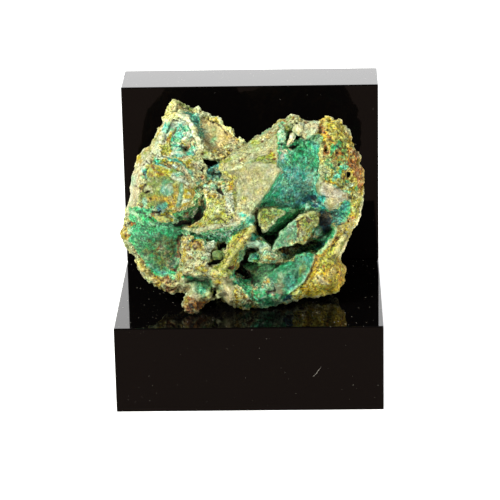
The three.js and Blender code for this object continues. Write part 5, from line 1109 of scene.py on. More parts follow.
# The small teal blocks and the big teal faces.
field("malachite", 1, (0.8, 5.6), (2.4, 6.2), (4, 4.9), (5, 4.3), (7, 3), (5, 2), (2, 1.8), (0.7, 3.2))
patch("mint", 2.6, 5.2, 1.2, 0.5, -20, 0.5)
patch("turquoise", 2.4, 3.5, 1.1, 0.4, 0, 0.6)
patch("shaded_green", 1.4, 3.9, 0.4, 0.5, 0, 0.5)
streak("mint", 0.5, (0.8, 2.6), (3, 2.1), (5, 2.2), (6.6, 2.6))
patch("lime", 1.8, 2.2, 0.8, 0.25, 0, 0.6)
field("malachite", 1, (3.8, 8.3), (5.8, 9.8), (7.4, 11.6), (8.8, 12.3), (10, 12.2), (10.2, 13.9), (12.6, 14), (14.9, 13.6),
      (14.3, 11), (13.3, 8.6), (12.4, 7.2), (10.8, 6.2), (9.2, 4.8), (7.8, 3), (5.6, 3.4), (5.4, 5.4), (5.4, 7.4))
patch("turquoise", 9.2, 7.2, 1.1, 1.8, 0, 0.6)
patch("turquoise", 12.9, 12.6, 1.2, 1.1, 0, 0.6)
patch("mint", 10.9, 10.4, 1.2, 1.6, 20, 0.45)
patch("lime", 12, 10.4, 0.8, 1.5, -15, 0.55)
patch("sand", 12.4, 9.8, 0.5, 0.8, 0, 0.5)
patch("sand", 7.4, 9.1, 0.8, 0.8, 0, 0.4)
patch("shaded_green", 9.6, 11.6, 0.8, 0.4, 20, 0.5)
patch("azure", 9.2, 5.8, 0.6, 0.6, 0, 0.5)
specks("mint", 34, 0.28, 63, (5, 9), (9, 12), (14, 13.4), (13, 8.6), (9, 5.6), (6.6, 7), strength=0.6)
specks("shaded_green", 26, 0.28, 64, (5, 9), (9, 12), (14, 13.4), (13, 8.6), (9, 5.6), (6.6, 7), strength=0.6)
patch("sand", 6.7, 6.2, 1.1, 1.4, 0, 0.75)
patch("rust", 7, 4.7, 0.5, 0.6, 0, 0.45)
field("mint", 1, (2.7, 7), (3.5, 8.2), (5, 8.1), (5.5, 6.8), (6, 5.6), (4.6, 4.7), (3.2, 5.6))
patch("ochre", 4.1, 7.4, 0.7, 0.45)
patch("rust", 4.1, 7.4, 0.3, 0.25, 0, 0.6)
patch("deepblue", 4.7, 4.8, 0.7, 0.25, -10)
patch("mint", 6.4, 3.2, 1.2, 0.5)
streak("mint", 0.3, (7.6, 8), (8.3, 6.4), (9.1, 4.8), (10.6, 6.3), (12.2, 7.6), (13.3, 9), (14.2, 11.2), (14.7, 13.4))
patch("deepblue", 8.6, 3.4, 0.8, 0.45)
streak("mint", 0.3, (7.6, 3), (8.6, 2.6), (9.8, 3))
field("lime", 1, (9.3, 5), (11.3, 6.3), (12.2, 5.2), (11.6, 4), (9.9, 3.1))
patch("ochre", 10.4, 4.2, 0.9, 0.4)
patch("mint", 11.2, 5.2, 0.5, 0.35, 0, 0.6)

streak("mint", 0.35, (1.6, 6.8), (3.6, 8.3), (5.6, 9.8), (7.6, 11.5), strength=0.8)
patch("cream", 6.6, 6.8, 0.9, 1.8, -15, 0.5)
patch("sand", 7, 4.9, 0.8, 0.7, 0, 0.6)
patch("deepblue", 8.7, 3.7, 0.9, 0.5)
patch("dark", 8.8, 3.5, 0.6, 0.3, 0, 0.6)
streak("shaded_green", 0.3, (0.5, 6), (0.9, 5), (2.4, 5.2), (4, 4.6), strength=0.7)

# The lower right lobe: ochre and lime, with lilac lenses and a cream rib.
field("ochre", 1, (14.9, 13.5), (16.4, 13.5), (18, 15.8), (19.4, 17.4), (20, 19.8), (22.4, 20.8), (24.6, 20.4), (23.4, 18.2),
      (22.4, 16.4), (21, 13.4), (21, 12.2), (22.2, 10.4), (22, 7.4), (20, 4.6), (15, 3.5), (12, 3.8), (11.6, 5.6),
      (12.6, 7.4), (13.6, 9.4), (14.4, 11.6))
field("lime", 0.75, (15.6, 12.6), (17.4, 14), (19, 16), (21, 19), (22.6, 19.4), (21.4, 16), (20, 13.4), (19.6, 11.6),
      (18, 10.4), (15, 9.8))
patch("ochre", 20.6, 8, 1.0, 2.4, 0, 0.8)
patch("rust", 20.8, 9, 0.6, 1.6, 0, 0.45)
patch("olive", 17, 5.9, 1.2, 0.5, 0, 0.8)
patch("sand", 18.6, 8.9, 1.0, 1.0, 0, 0.5)
patch("cream", 14.8, 8, 0.7, 0.9, 0, 0.6)
streak("rust", 0.5, (19.8, 17.8), (18.5, 15.9), (17.2, 14.2), (16.4, 13.3), strength=0.45)
patch("rust", 15.3, 12.8, 0.6, 0.45, 0, 0.7)
streak("rust", 0.35, (14.7, 12), (14, 9.6), (12.8, 7.5), strength=0.7)
streak("ivory_and_highlight", 0.6, (21.7, 18.6), (20.6, 16.8), (19.7, 15.4), (19.2, 13.6))
field("white", 1, (15.1, 9), (16, 8.7), (17, 7.5), (18.1, 6.9), (16.6, 6.4), (15.5, 7.6))
field("plate", 0.5, (15.1, 9), (16, 8.7), (17, 7.5), (18.1, 6.9), (16.6, 6.4), (15.5, 7.6))
patch("white", 19, 10.1, 0.45, 0.75, 0, 0.5)
patch("sand", 19, 10.1, 0.5, 0.8, 0, 0.4)
patch("sand", 20.6, 19.2, 0.8, 0.8, 0, 0.5)
patch("ochre", 22.6, 19.2, 0.9, 0.5, 20)
specks("rust", 30, 0.22, 65, (15, 12), (20, 16), (21.6, 9), (19, 5), (12.4, 4.6), strength=0.9)
specks("cream", 26, 0.24, 66, (15, 12), (20, 16), (21.6, 9), (19, 5), (12.4, 4.6), strength=0.8)
specks("olive", 30, 0.3, 67, (15, 12), (20, 16), (21.6, 9), (19, 5), (12.4, 4.6), strength=0.6)
patch("dark", 21.4, 18.4, 0.5, 0.25, 50)
dots("dark", 0.25, (21.8, 18.2), (18.2, 12.7), (11.7, 6), (20.1, 9.3))
dots("rust", 0.3, (21, 14.4), (20.5, 7.4), (16.8, 10.8), (20.4, 11.6), (19.8, 17.2))
# Painted highlights along the right and lower edges of the lobe, in the ivory colour.
streak("ivory_and_highlight", 0.4, (20.6, 12.8), (21.2, 12.2), (22.3, 10.2), (22, 7.6), (20.6, 5), strength=0.8)
streak("ivory_and_highlight", 0.9, (24.9, 20.6), (23.6, 18.8), (22.6, 17), (21.6, 14.6), (20.7, 12.8))
streak("ivory_and_highlight", 0.7, (12.2, 4.3), (14, 4), (16, 4.1), (18.4, 4.6), (20.2, 5.2), strength=0.8)
field("lime", 0.3, (14, 8), (18, 10), (20.6, 9), (19.6, 4.8), (13, 4))

# The lumpy cream mass over the foot, with its olive ball.
field("cream", 1, (-15.4, 17.8), (-13, 17.6), (-12.6, 16.4), (-10, 16.8), (-8, 16.2), (-7, 15), (-8.8, 13), (-9, 11.8),
      (-7, 11.6), (-6, 12), (-6.6, 10), (-9, 8.6), (-12, 8.8), (-15, 8.8), (-16.2, 11), (-15.8, 14))
specks("ochre", 46, 0.4, 68, (-15.6, 17.6), (-10, 16.8), (-8.4, 15), (-9, 12), (-6.8, 10), (-15, 9), strength=0.9)
specks("sand", 30, 0.35, 69, (-15.6, 17.6), (-10, 16.8), (-8.4, 15), (-9, 12), (-6.8, 10), (-15, 9), strength=0.8)
specks("rust", 24, 0.28, 70, (-15.6, 17.6), (-10, 16.8), (-10, 13), (-12, 10), (-15, 9))
specks("white", 24, 0.3, 71, (-15.6, 17.6), (-10, 16.8), (-8.4, 15), (-9, 12), (-6.8, 10), (-15, 9))
specks("mint", 22, 0.3, 72, (-15.6, 17.6), (-10, 16.8), (-8.4, 15), (-9, 12), (-13, 12))
specks("dark", 16, 0.16, 73, (-15.6, 17.6), (-10, 16.8), (-9, 12), (-6.8, 10), (-15, 9))
patch("cream", -11.4, 13.2, 1.5, 1.3, 0, 0.6)
patch("cream", -12.8, 11.2, 1.6, 1.3, 0, 0.5)
patch("ochre", -14.9, 13.4, 0.7, 1.7)
patch("ochre", -12, 15.6, 1.5, 1.1, 0, 0.8)
patch("rust", -12, 15.6, 1.0, 0.75, 0, 0.8)
patch("ochre", -11, 10.2, 0.9, 0.6, 0, 0.7)
patch("dark", -12.9, 16.6, 0.35, 0.2)
streak("mint", 0.5, (-10.2, 16.6), (-10.1, 14.8))
field("white", 0.9, (-10.4, 15), (-9.4, 16.4), (-8, 16.2), (-7.6, 15.3), (-8.8, 14.4), (-9.2, 12.6), (-10.6, 12), (-11.2, 12.8), (-10, 13.8))
patch("sand", -9.6, 14, 0.5, 0.4, 0, 0.5)
patch("mint", -10.4, 12.7, 0.4, 0.3)
patch("rust", -13.7, 14.7, 0.45, 0.3)
patch("ochre", -14.2, 17.2, 1.0, 0.3)
patch("ochre", -10.9, 10.3, 1.3, 0.8)
patch("lime", -10.6, 10.4, 0.8, 0.4, 0, 0.5)
patch("olive", -7.35, 13.3, 1.5, 1.5)
patch("malachite", -7.35, 13.2, 1.5, 1.5, 0, 0.4)
# Painted shade in the crease under the ball.
patch("dark", -8.4, 11.7, 0.9, 0.32, 25)
patch("dark", -6.6, 12.2, 0.5, 0.2, 20)

# The yellow ridge that runs up to the plate.
field("lime", 1, (1.2, 20.2), (0.2, 18.2), (-1.2, 15.9), (-2.5, 14.4), (-3, 12), (-4, 10.8), (-4.2, 9.2), (-5.4, 8.4),
      (-7.6, 7.8), (-9, 9.2), (-8, 10.6), (-6, 11.8), (-5.4, 13), (-5.8, 14.8), (-5, 16.2), (-3.6, 17.6), (-2.2, 18.6), (0, 19.8))
field("ochre", 0.6, (1.2, 20.2), (0.2, 18.2), (-1.2, 15.9), (-3.4, 16.6), (-2.2, 18.4), (0, 19.8))
patch("sand", -5, 15, 0.8, 0.6, 40, 0.6)
patch("rust", -1.6, 17.4, 0.5, 0.25, 0, 0.8)
patch("rust", -4.1, 10.5, 0.8, 0.6)
patch("dark", -4.4, 10.4, 0.4, 0.22)
patch("rust", -5.4, 8.5, 0.9, 0.35, 20)
patch("lime", -6.8, 9.7, 1.0, 0.6)
patch("ochre", -8, 9, 0.6, 0.5)
patch("rust", -8.6, 8.2, 0.5, 0.25, 0, 0.6)
specks("cream", 20, 0.28, 74, (0, 19.6), (-1.2, 16), (-3, 12), (-7.6, 8), (-8, 10.4), (-5.6, 14), strength=0.7)
specks("ochre", 24, 0.32, 75, (0, 19.6), (-1.2, 16), (-3, 12), (-7.6, 8), (-8, 10.4), (-5.6, 14), strength=0.8)
streak("mint", 0.5, (-0.9, 15.6), (-2, 13.8), (-2.6, 11.8))

# The wedge, the hollow and the foot at the bottom left.
field("plate", 1, (-8.8, 7.8), (-5.6, 8.3), (-4, 8), (-3.7, 6), (-3.8, 1.8), (-4.6, 1.8), (-6.4, 3.6), (-7.8, 5.6))
patch("sand", -5, 4.9, 0.9, 2.0, 10, 0.8)
patch("ochre", -7.4, 7.4, 0.8, 0.4)
patch("mint", -6.7, 5.8, 0.6, 0.7, 0, 0.4)
specks("rust", 8, 0.2, 76, (-8.6, 7.6), (-4.2, 8), (-4.2, 5), (-7, 5))
field("sand", 1, (-15.6, 8.6), (-12, 9), (-9.2, 8.8), (-8.6, 7), (-8.4, 4.2), (-10, 2.6), (-12.4, 2.8), (-14.4, 5), (-16.4, 6.2))
field("mint", 0.5, (-15, 8.4), (-12, 8.8), (-9.2, 8.8), (-8.6, 7), (-9, 4.4), (-11, 3.4), (-13, 5), (-15, 6.6))
patch("malachite", -13.2, 8.4, 2.2, 0.45, -5)
patch("malachite", -12.6, 8, 0.8, 0.4, 0, 0.8)
patch("shaded_green", -9.8, 7.4, 1.2, 1.0, 0, 0.6)
patch("malachite", -10.4, 6.0, 1.9, 2.0, 20, 0.55)
patch("turquoise", -10.7, 5.3, 1.0, 1.1, 0, 0.6)
patch("shaded_green", -11.4, 7.6, 2.2, 0.5, -5, 0.5)
patch("sand", -14.2, 6, 1.2, 1.0, 0, 0.6)
patch("cream", -15.4, 6.8, 0.9, 0.7, -30, 0.8)
patch("cream", -13.6, 5, 0.8, 0.9, 0, 0.6)
patch("lime", -9.4, 4.4, 0.6, 0.8, -20)
patch("mint", -9.6, 4.7, 0.3, 0.5, 0, 0.6)
patch("dark", -9.4, 8.6, 0.5, 0.22, -20)
field("rust", 1, (-15.4, 4.2), (-13.9, 4.2), (-11.6, 3), (-9.8, 2.8), (-10.4, 1.2), (-11.6, -0.4), (-13.8, -0.6), (-15.4, 0.2))
streak("cream", 0.6, (-14.3, 4.6), (-15.1, 2.6), (-14.8, 0.6))
patch("dark", -13.3, 1.6, 0.8, 0.7, 0, 0.75)
patch("sand", -12.4, 0.8, 0.6, 0.4, 0, 0.7)
patch("ochre", -14.4, 2.8, 0.4, 0.8, 0, 0.8)
patch("sand", -12.4, 3.2, 0.6, 0.4, 0, 0.6)
specks("dark", 12, 0.2, 77, (-15, 3), (-11, 2.6), (-11.6, 0), (-14.6, 0))
# Painted shade in the gap beside the foot.
patch("dark", -8, 4.8, 0.5, 0.9)


# The forms between a form and a grain: ridges, grooves, knobs and pits, and faces that are smoother than the rest.
# Heights are in millimetres.
rise = np.zeros(vertex_count)
evenness = np.ones(vertex_count)


def bell(share):
    share = np.clip(share, 0, 1)
    return (1 - share * share) ** 2


def ridge(high, width, *points):
    """A rounded ridge along a line, or a groove where high is below nothing."""
    here = near(points, width)
    rise[here] += high * bell(2 * distance_to(points, here) / width) * on_front[here]


def knob(high, x, y, wide, tall, tilt=0):
    """A rounded knob, or a pit where high is below nothing."""
    here = near([(x, y)], max(wide, tall) + 0.5)
    turn = math.radians(tilt)
    dx = ragged_across[here] - x
    dy = ragged_height[here] - y
    along = (dx * math.cos(turn) + dy * math.sin(turn)) / wide
    off = (dy * math.cos(turn) - dx * math.sin(turn)) / tall
    rise[here] += high * bell(np.hypot(along, off)) * on_front[here]


def even(left_over, *points):
    """A face that keeps only that share of the grain round it."""
    here = near(points, 1)
    evenness[here] *= 1 - (1 - left_over) * soft(inside_outline(points, here)) * on_front[here]


# The peak, the left wall and the mottled face
even(0.15, (-19.3, 44), (-21.2, 42), (-23, 38.6), (-25, 37.8), (-26.5, 34), (-27.4, 30), (-28.4, 24), (-25.9, 24.2),
     (-25.2, 27), (-25.6, 29.5), (-23.8, 33.2), (-22.4, 35), (-20.2, 39.8), (-18.9, 43))
ridge(0.45, 1.1, (-18.4, 44), (-20, 40.6), (-21.6, 37.2), (-23.6, 34.2), (-24.9, 31.4), (-25.2, 28), (-24.9, 25.4))
ridge(-0.35, 0.8, (-17.6, 43.8), (-19.2, 40.4), (-20.9, 36.9), (-22.9, 34.2), (-24.2, 31.4), (-24.4, 28))
ridge(0.3, 0.8, (-19.6, 44.4), (-21.6, 41.6), (-23.4, 38.4), (-25, 36.8), (-26.4, 33), (-27, 29))
ridge(-0.25, 0.5, (-20.3, 42), (-22, 39.2), (-23.6, 36.6), (-25.4, 33.2), (-26.2, 29.6))
ridge(0.65, 1.2, (-16.2, 45.1), (-14.7, 44.5), (-13.7, 43.4), (-12.8, 41.9), (-12.2, 40.3), (-11.5, 38.8), (-10.2, 37.5))
ridge(0.4, 1.0, (-18.6, 44.2), (-17.4, 45.2), (-15.8, 45.6), (-14, 45.8))
ridge(-0.5, 0.7, (-17.7, 44), (-16.4, 43.8))
ridge(-0.4, 0.6, (-17.6, 46.2), (-15.6, 45.9))
ridge(0.35, 0.8, (-17.4, 48.4), (-15.4, 47.6), (-13.2, 46.2), (-11.8, 46.2))
ridge(0.3, 0.8, (-17.2, 42.4), (-18.2, 40.6), (-18.7, 38.8), (-18.2, 36.6))
knob(0.4, -13.8, 41, 0.8, 0.7)
knob(0.3, -19.4, 37.6, 1.3, 1.1)
even(0.5, (-19.6, 43.4), (-15.6, 44.4), (-13.4, 42.6), (-11.6, 37.4), (-13, 34.6), (-20.8, 34.6), (-20.4, 39.8))
knob(0.35, -14.6, 39.6, 1.2, 0.6)
knob(0.1, -14.8, 37.6, 0.6, 0.5)
knob(0.4, -13.4, 37.6, 0.7, 0.9)
knob(0.35, -16.4, 36.6, 1.0, 0.8)
knob(0.3, -12.8, 38.9, 0.8, 0.6)

# The step across the face
ridge(-0.6, 0.55, (-21.8, 34.7), (-20.4, 34.4), (-19.5, 33.9), (-18, 33.9), (-16.5, 33.2), (-15.5, 32.4), (-14.7, 31.6))
ridge(0.5, 1.0, (-21.8, 35.4), (-20.2, 35.2), (-18.2, 34.9), (-16.6, 34.3), (-15.2, 33.3), (-14.2, 32.2))
ridge(0.3, 0.8, (-21.4, 33.7), (-19.6, 33.2), (-17.8, 32.9))

# The boulder
even(0.25, (-23.6, 34), (-19.6, 33.6), (-17, 33.4), (-15.4, 31), (-13, 29.4), (-12.4, 27), (-13.4, 24.6), (-16, 24),
     (-21, 24.6), (-24.8, 24.6), (-25, 27), (-23.9, 29.6))
knob(0.4, -21.8, 32.6, 1.8, 1.0, -20)
knob(0.3, -18.7, 28.4, 2.0, 1.6)
knob(0.35, -13.9, 26.8, 1.5, 2.2, -15)
ridge(-0.15, 0.6, (-15, 29), (-15.1, 27.6), (-15.6, 25.8), (-16.2, 24.8))
ridge(0.3, 0.7, (-17.4, 31), (-16, 30.4), (-14.4, 29.8), (-12.6, 29.6))
ridge(-0.5, 0.5, (-23.9, 27.9), (-22.9, 27.8))
knob(0.4, -23.1, 28.6, 1.0, 0.7)
knob(0.3, -19.8, 24.3, 1.3, 0.7, 10)
ridge(-0.7, 0.7, (-22.2, 23.2), (-21, 22.9), (-20.4, 23.1))
knob(0.55, -20, 21.8, 2.5, 0.75, -12)
ridge(-0.35, 0.5, (-22.4, 21.2), (-20.4, 20.6), (-18, 20.5))
knob(0.3, -17.9, 23.4, 1.3, 0.7)
knob(0.4, -13.2, 22.3, 0.5, 0.8, -20)
knob(0.3, -11.4, 26.6, 0.9, 1.4)

# The green field and its rim
even(0.6, (-27, 24), (-22, 22), (-16.5, 20), (-15, 20), (-15.8, 13.9), (-17.2, 9.4), (-22, 9.5), (-24, 12.5), (-27.5, 16))
ridge(0.4, 1.1, (-27, 23.6), (-26, 22.8), (-25, 21.6), (-24.2, 20.6))
ridge(-0.3, 0.9, (-24.8, 23.2), (-23.4, 22.2), (-22.2, 20.9))
ridge(-0.35, 0.7, (-22, 20.7), (-19.4, 20.1), (-16.6, 20.3))
ridge(0.25, 1.6, (-25.6, 18.6), (-23, 17.4), (-20.8, 17.6))
ridge(0.25, 1.4, (-22.4, 11), (-20.6, 9.8), (-18.4, 9.2))
ridge(-0.45, 0.7, (-15.6, 18), (-15.8, 15), (-16.1, 12.4), (-17, 10))
ridge(0.35, 0.9, (-28.2, 15.6), (-26.2, 13.2), (-24.8, 10.8), (-23, 8.4), (-20.8, 6.8), (-18.6, 5.6))
ridge(-0.3, 0.6, (-26.6, 14.6), (-25, 12.6), (-23.6, 10.4), (-21.8, 8.6), (-19.8, 7.6))
knob(-0.6, -27.5, 20.6, 0.45, 0.5)
knob(0.4, -28.7, 18.4, 0.9, 1.4)

# The recess, its edge and the hole under it
even(0.15, (-11, 44), (-8.6, 44), (-6.8, 43), (-5, 41.4), (-4, 39.8), (-5.8, 38.6), (-8.4, 37.6), (-10.6, 38.6), (-10.6, 41))
ridge(0.4, 1.0, (-11.7, 46.4), (-9.2, 44.9), (-7.8, 44.9), (-6.6, 43.7), (-5.6, 42.6), (-4.2, 41.8), (-3.2, 40.4), (-1.2, 39))
ridge(-0.35, 0.5, (-10.6, 44.9), (-9, 43.9), (-7.6, 43.2), (-6.2, 42.2), (-5, 40.8))
knob(0.4, -8, 44.2, 1.0, 0.6)
knob(0.4, -4.5, 42, 0.8, 0.6)
knob(0.4, -3.4, 37.6, 0.7, 0.5)
knob(0.4, -5.2, 36.8, 0.7, 0.5)
knob(0.4, -2, 38.4, 0.8, 0.5)
ridge(0.4, 0.9, (-11.8, 37), (-10.2, 36.9), (-8.6, 36.6), (-7, 36.2))
knob(-0.7, -9.2, 34.6, 1.6, 0.6, -10)
knob(-0.15, -8, 32.2, 1.3, 1.4)
knob(0.35, -11.4, 34.2, 0.8, 0.8)
ridge(0.4, 0.7, (-11.8, 29.6), (-9.8, 29.9), (-8, 29.4), (-6.2, 30.2))
ridge(-0.5, 0.5, (-11.4, 28.8), (-9.6, 28.4), (-8, 28.6))
ridge(0.4, 0.8, (-9.6, 27), (-8, 27.2), (-6.4, 26.8))
ridge(-0.5, 0.6, (-7.2, 28.3), (-6.2, 27.4))

# The plate
even(0.5, (-6.6, 33.4), (-3.9, 36.2), (-0.7, 38.6), (3.6, 41.3), (6.4, 41.6), (6.2, 34), (7.4, 32.6), (4.4, 28), (0.6, 23),
     (-2.6, 21.4), (-3.9, 25), (-3.8, 28), (-5, 31))
ridge(0.35, 0.9, (-4.6, 35.6), (-6, 34.6), (-6.4, 33.3), (-5.6, 32), (-4.2, 31.2))
ridge(0.3, 0.9, (-5.4, 32.8), (-3.4, 33.1), (-1.2, 33.7), (1, 34.1), (3.2, 33.8), (5.8, 33.8))
ridge(-0.3, 0.7, (-2.6, 34.7), (-1.4, 35.6), (-0.6, 36.4), (1.6, 36.2))
ridge(-0.3, 0.6, (0.6, 34.6), (1.4, 35.6), (3, 36.2), (4.6, 36.6))
knob(0.2, 3.6, 35.2, 1.8, 0.8)
ridge(0.25, 0.7, (-4.4, 36), (-2, 37.6), (1.4, 39.8), (4.8, 41.8), (7.4, 43.4))
ridge(-0.2, 0.5, (-1, 37.2), (1.8, 38.8), (4.6, 40.3))
ridge(-0.12, 0.6, (-3.2, 30.4), (-3.3, 27), (-3.3, 23.8))
knob(0.4, -4.9, 25.2, 0.8, 2.4)
knob(0.3, -4.3, 29.2, 0.7, 1.2)
for offset in (0, 1.6, 3.1):
    ridge(0.12, 0.6, (-2.4 + offset, 31), (-1.2 + offset, 28.4), (-0.6 + offset, 25.6))

# The mound, the ledge and the pocket under it
even(0.5, (-9.6, 26), (-6, 25.6), (-4.6, 22.6), (-4.6, 20.8), (-9, 20.4), (-12, 19.8), (-11, 22))
knob(0.4, -7.2, 23.6, 2.2, 1.6, 20)
ridge(-0.35, 0.6, (-9.4, 21.9), (-8.2, 21.3), (-6.6, 21.8), (-5.6, 20.9))
ridge(0.45, 0.9, (-15, 19.5), (-13.2, 18.9), (-11.4, 19), (-9.4, 19.7), (-7, 20.1), (-4.4, 20.3), (-2.6, 20.8))
knob(-0.8, -6.4, 15.4, 1.3, 0.6)
knob(-0.4, -9.7, 16.8, 0.6, 0.4)
knob(0.3, -1.4, 21.6, 1.6, 1.0)

# The teal hollow and the crest over it
even(0.5, (7, 38), (10, 39.6), (15.6, 39.8), (16, 33), (15.4, 25), (8, 23.8), (3, 25), (6, 31))
for offset in (0.0, 1.5, 3.0, 4.4):
    ridge(0.08, 0.6, (7.2 + offset, 25.4), (9 + offset, 27.9), (11.4 + offset, 29.8), (12.6 + offset, 32))
    ridge(0.08, 0.7, (8.6 + offset, 31), (9.8 + offset, 33.8), (10.4 + offset, 36.2))
ridge(-0.5, 0.7, (15.7, 35.2), (15.3, 33), (15, 30), (15.1, 27.4))
ridge(-0.5, 0.5, (12.3, 39), (13, 37.6))
ridge(0.3, 0.9, (12.6, 38.8), (14.2, 39.6), (16, 38.9))
ridge(0.5, 0.7, (8.7, 38.6), (9.2, 39.7), (9.6, 40.8))
ridge(-0.4, 0.4, (8.3, 39.6), (8.7, 40.7), (9.1, 41.6))
ridge(-0.35, 0.5, (9.2, 37.8), (10.1, 38.1), (11, 38.4))
knob(-0.5, 10.8, 40.1, 0.8, 0.4)
knob(0.4, 11.2, 42.3, 1.1, 1.0, 20)
knob(0.4, 14.1, 42, 1.6, 1.0, 25)
knob(0.3, 12.6, 40.4, 0.6, 0.9, 20)
ridge(-0.4, 0.4, (12.4, 43.2), (12.3, 42), (11.8, 40.9))
ridge(0.3, 0.8, (6.4, 43.6), (8.4, 44.8), (10.4, 45.2), (12, 44.4))
knob(-0.5, 15.6, 35.3, 0.5, 0.3)
knob(0.35, 8, 36.4, 0.7, 0.5)
knob(0.35, 6.9, 36.9, 0.5, 0.6)

# The right rim, the pink faces and the blue cavity
ridge(0.4, 0.9, (17.2, 44.6), (18.8, 44.2), (20.6, 43.9), (22.2, 41.8), (23.2, 39.4), (24.4, 36.4), (25.4, 32), (25.9, 28.4))
ridge(-0.3, 0.7, (17.6, 43), (19.6, 42), (21.2, 40), (22.4, 37.4), (23.4, 34.2))
knob(0.05, 17.3, 37.15, 0.6, 1.0)
ridge(0.15, 0.5, (16.6, 38.2), (16.5, 37), (16.9, 36.1), (17.6, 36), (18, 37), (17.8, 38.3), (17.2, 38.6))
knob(-1.3, 22.6, 31.7, 0.6, 0.6)
knob(-0.6, 20.15, 36.6, 0.5, 0.4)
knob(-0.6, 17.8, 41.9, 0.5, 0.4)
knob(-0.5, 20.3, 34.2, 0.5, 0.4)
knob(-0.4, 22.9, 28.7, 0.4, 0.4)
knob(0.5, 19.4, 42.9, 1.6, 0.8)
knob(0.4, 20.8, 40.2, 1.2, 0.9)
knob(0.4, 19, 38.6, 1.0, 0.8)
knob(0.4, 21.4, 33.4, 1.1, 0.8)
knob(0.4, 19.2, 35, 1.0, 0.8)
knob(0.4, 20, 31.4, 1.0, 0.7)
knob(0.4, 23.6, 35.6, 0.8, 1.2)
knob(0.4, 17, 33.4, 0.9, 1.4)
ridge(0.3, 0.8, (17.2, 30.8), (18.8, 30.6), (20.4, 29.7), (22, 28.7))
even(0.1, (16.2, 29.8), (18, 29.8), (20, 28.6), (22.2, 27.2), (22, 26.2), (20.6, 25.4), (18.6, 23.4), (17.2, 24), (17.1, 25.6),
     (15.8, 28.4))
ridge(-0.15, 0.4, (16.6, 26.6), (18.4, 26.7), (20.6, 26.2))
knob(-0.9, 22.8, 21.4, 0.9, 0.5, 30)
ridge(0.3, 0.8, (25.4, 27.4), (25.3, 24.6), (24.8, 21.6), (24.2, 19.6))

# The block, the blade, the bridge and the cave
even(0.6, (1.9, 23.9), (4.4, 24.4), (8.2, 23.2), (5.6, 21.2), (3.2, 18.8), (1.9, 20.8))
ridge(0.25, 0.6, (2.4, 20.4), (3.3, 18.9), (5.6, 21.2), (8.2, 23.2), (4.6, 24.2))
even(0.6, (4.4, 14.4), (6.9, 18.8), (9.4, 20.9), (12.2, 22.8), (15.6, 23.2), (15.6, 20.8), (13.4, 17), (11, 16), (7.6, 15.4))
ridge(0.3, 0.7, (5.2, 15.4), (7, 18.6), (9.2, 20.6), (12.2, 22.7), (14.8, 23.2))
ridge(-0.35, 0.6, (10.9, 21.3), (11.3, 19), (11.2, 17))
ridge(-0.4, 0.5, (11.2, 21.4), (12.4, 22), (13.4, 21.8))
ridge(0.3, 0.6, (13, 22.4), (14.2, 21.5), (15, 20.2))
ridge(0.35, 0.8, (12, 18.6), (13.2, 19.8), (14.4, 21))
knob(0.3, 8.9, 17, 0.8, 1.2, -20)
knob(0.4, 15, 18.8, 1.1, 0.7, -20)
ridge(0.4, 0.8, (19.6, 19.2), (19.4, 17.6), (18, 16.1), (17, 14.8), (15.8, 13.8))
ridge(0.4, 0.9, (-0.6, 16.2), (1.4, 16.2), (2.8, 15.8), (4.4, 14.8))
knob(0.4, 4.6, 13, 1.6, 0.7)
knob(-0.4, 5.2, 12.6, 0.6, 0.3)
knob(0.5, 0.8, 13, 1.1, 1.0)
even(0.5, (-1.9, 10.8), (2, 11.7), (7.4, 11.2), (7, 10), (3, 7.4), (1, 6), (0.3, 9.8))
ridge(0.2, 0.9, (0.6, 9.4), (3, 10.6), (5.4, 11.2))
ridge(-0.2, 0.7, (1.2, 8.2), (3.4, 9.6), (5.8, 10.4))

# The teal faces and the small blocks under the cave
even(0.2, (3.8, 8.3), (7.4, 11.6), (10, 12.2), (14.9, 13.6), (13.3, 8.6), (9.2, 4.8), (6, 4), (5.4, 7.4))
ridge(0.3, 0.7, (7.6, 3), (9.1, 4.9), (10.7, 6.4), (12.3, 7.7), (13.4, 9.2), (14.3, 11.4), (14.7, 13.4))
ridge(0.12, 0.8, (7.4, 8.4), (9.4, 10), (10.2, 12.2), (10.4, 13.6))
ridge(-0.12, 0.7, (8.3, 7.6), (9.8, 9.4), (11, 12.6))
ridge(0.12, 0.8, (10.8, 7.4), (11.6, 9.6), (12, 12), (12.6, 13.4))
ridge(-0.5, 0.5, (8.8, 12.4), (10.2, 12.1), (10.2, 13.4))
ridge(-0.5, 0.5, (3.8, 5), (4.8, 4.8), (5.8, 5.2), (5.6, 6.6))
ridge(-0.4, 0.5, (0.6, 5.8), (2, 5.9), (3, 6.6))
knob(0.3, 2.4, 4.6, 1.3, 0.9)
knob(0.3, 4.4, 6.4, 1.0, 0.9)
knob(0.4, 6.6, 6.4, 0.9, 1.4)
knob(-0.7, 8.6, 3.5, 0.8, 0.4)
knob(0.35, 10.6, 4.8, 1.2, 0.9)

# The lower right lobe
even(0.5, (14.9, 13.5), (18, 15.8), (21, 13.4), (22.2, 10.4), (20, 4.6), (13, 3.8), (13.6, 9.4))
ridge(0.6, 0.8, (22, 18.8), (20.8, 17), (19.9, 15.5), (19.4, 13.8))
ridge(-0.4, 0.6, (22.6, 18), (21.2, 16), (20.4, 14.2))
ridge(-0.3, 0.6, (20.4, 17.8), (19.2, 16), (18.4, 14.4))
ridge(0.35, 0.9, (15.2, 9.2), (16.4, 8), (17.9, 7))
knob(0.35, 19, 10, 0.8, 1.1)
knob(0.4, 15.6, 12.6, 1.0, 0.7)
ridge(-0.3, 0.7, (14.6, 11.6), (13.8, 9.2), (12.6, 7.2))
knob(0.35, 17.4, 12, 1.4, 1.2)
knob(0.35, 14.6, 5.4, 1.4, 0.8)
knob(0.35, 18.6, 5.6, 1.4, 0.8)

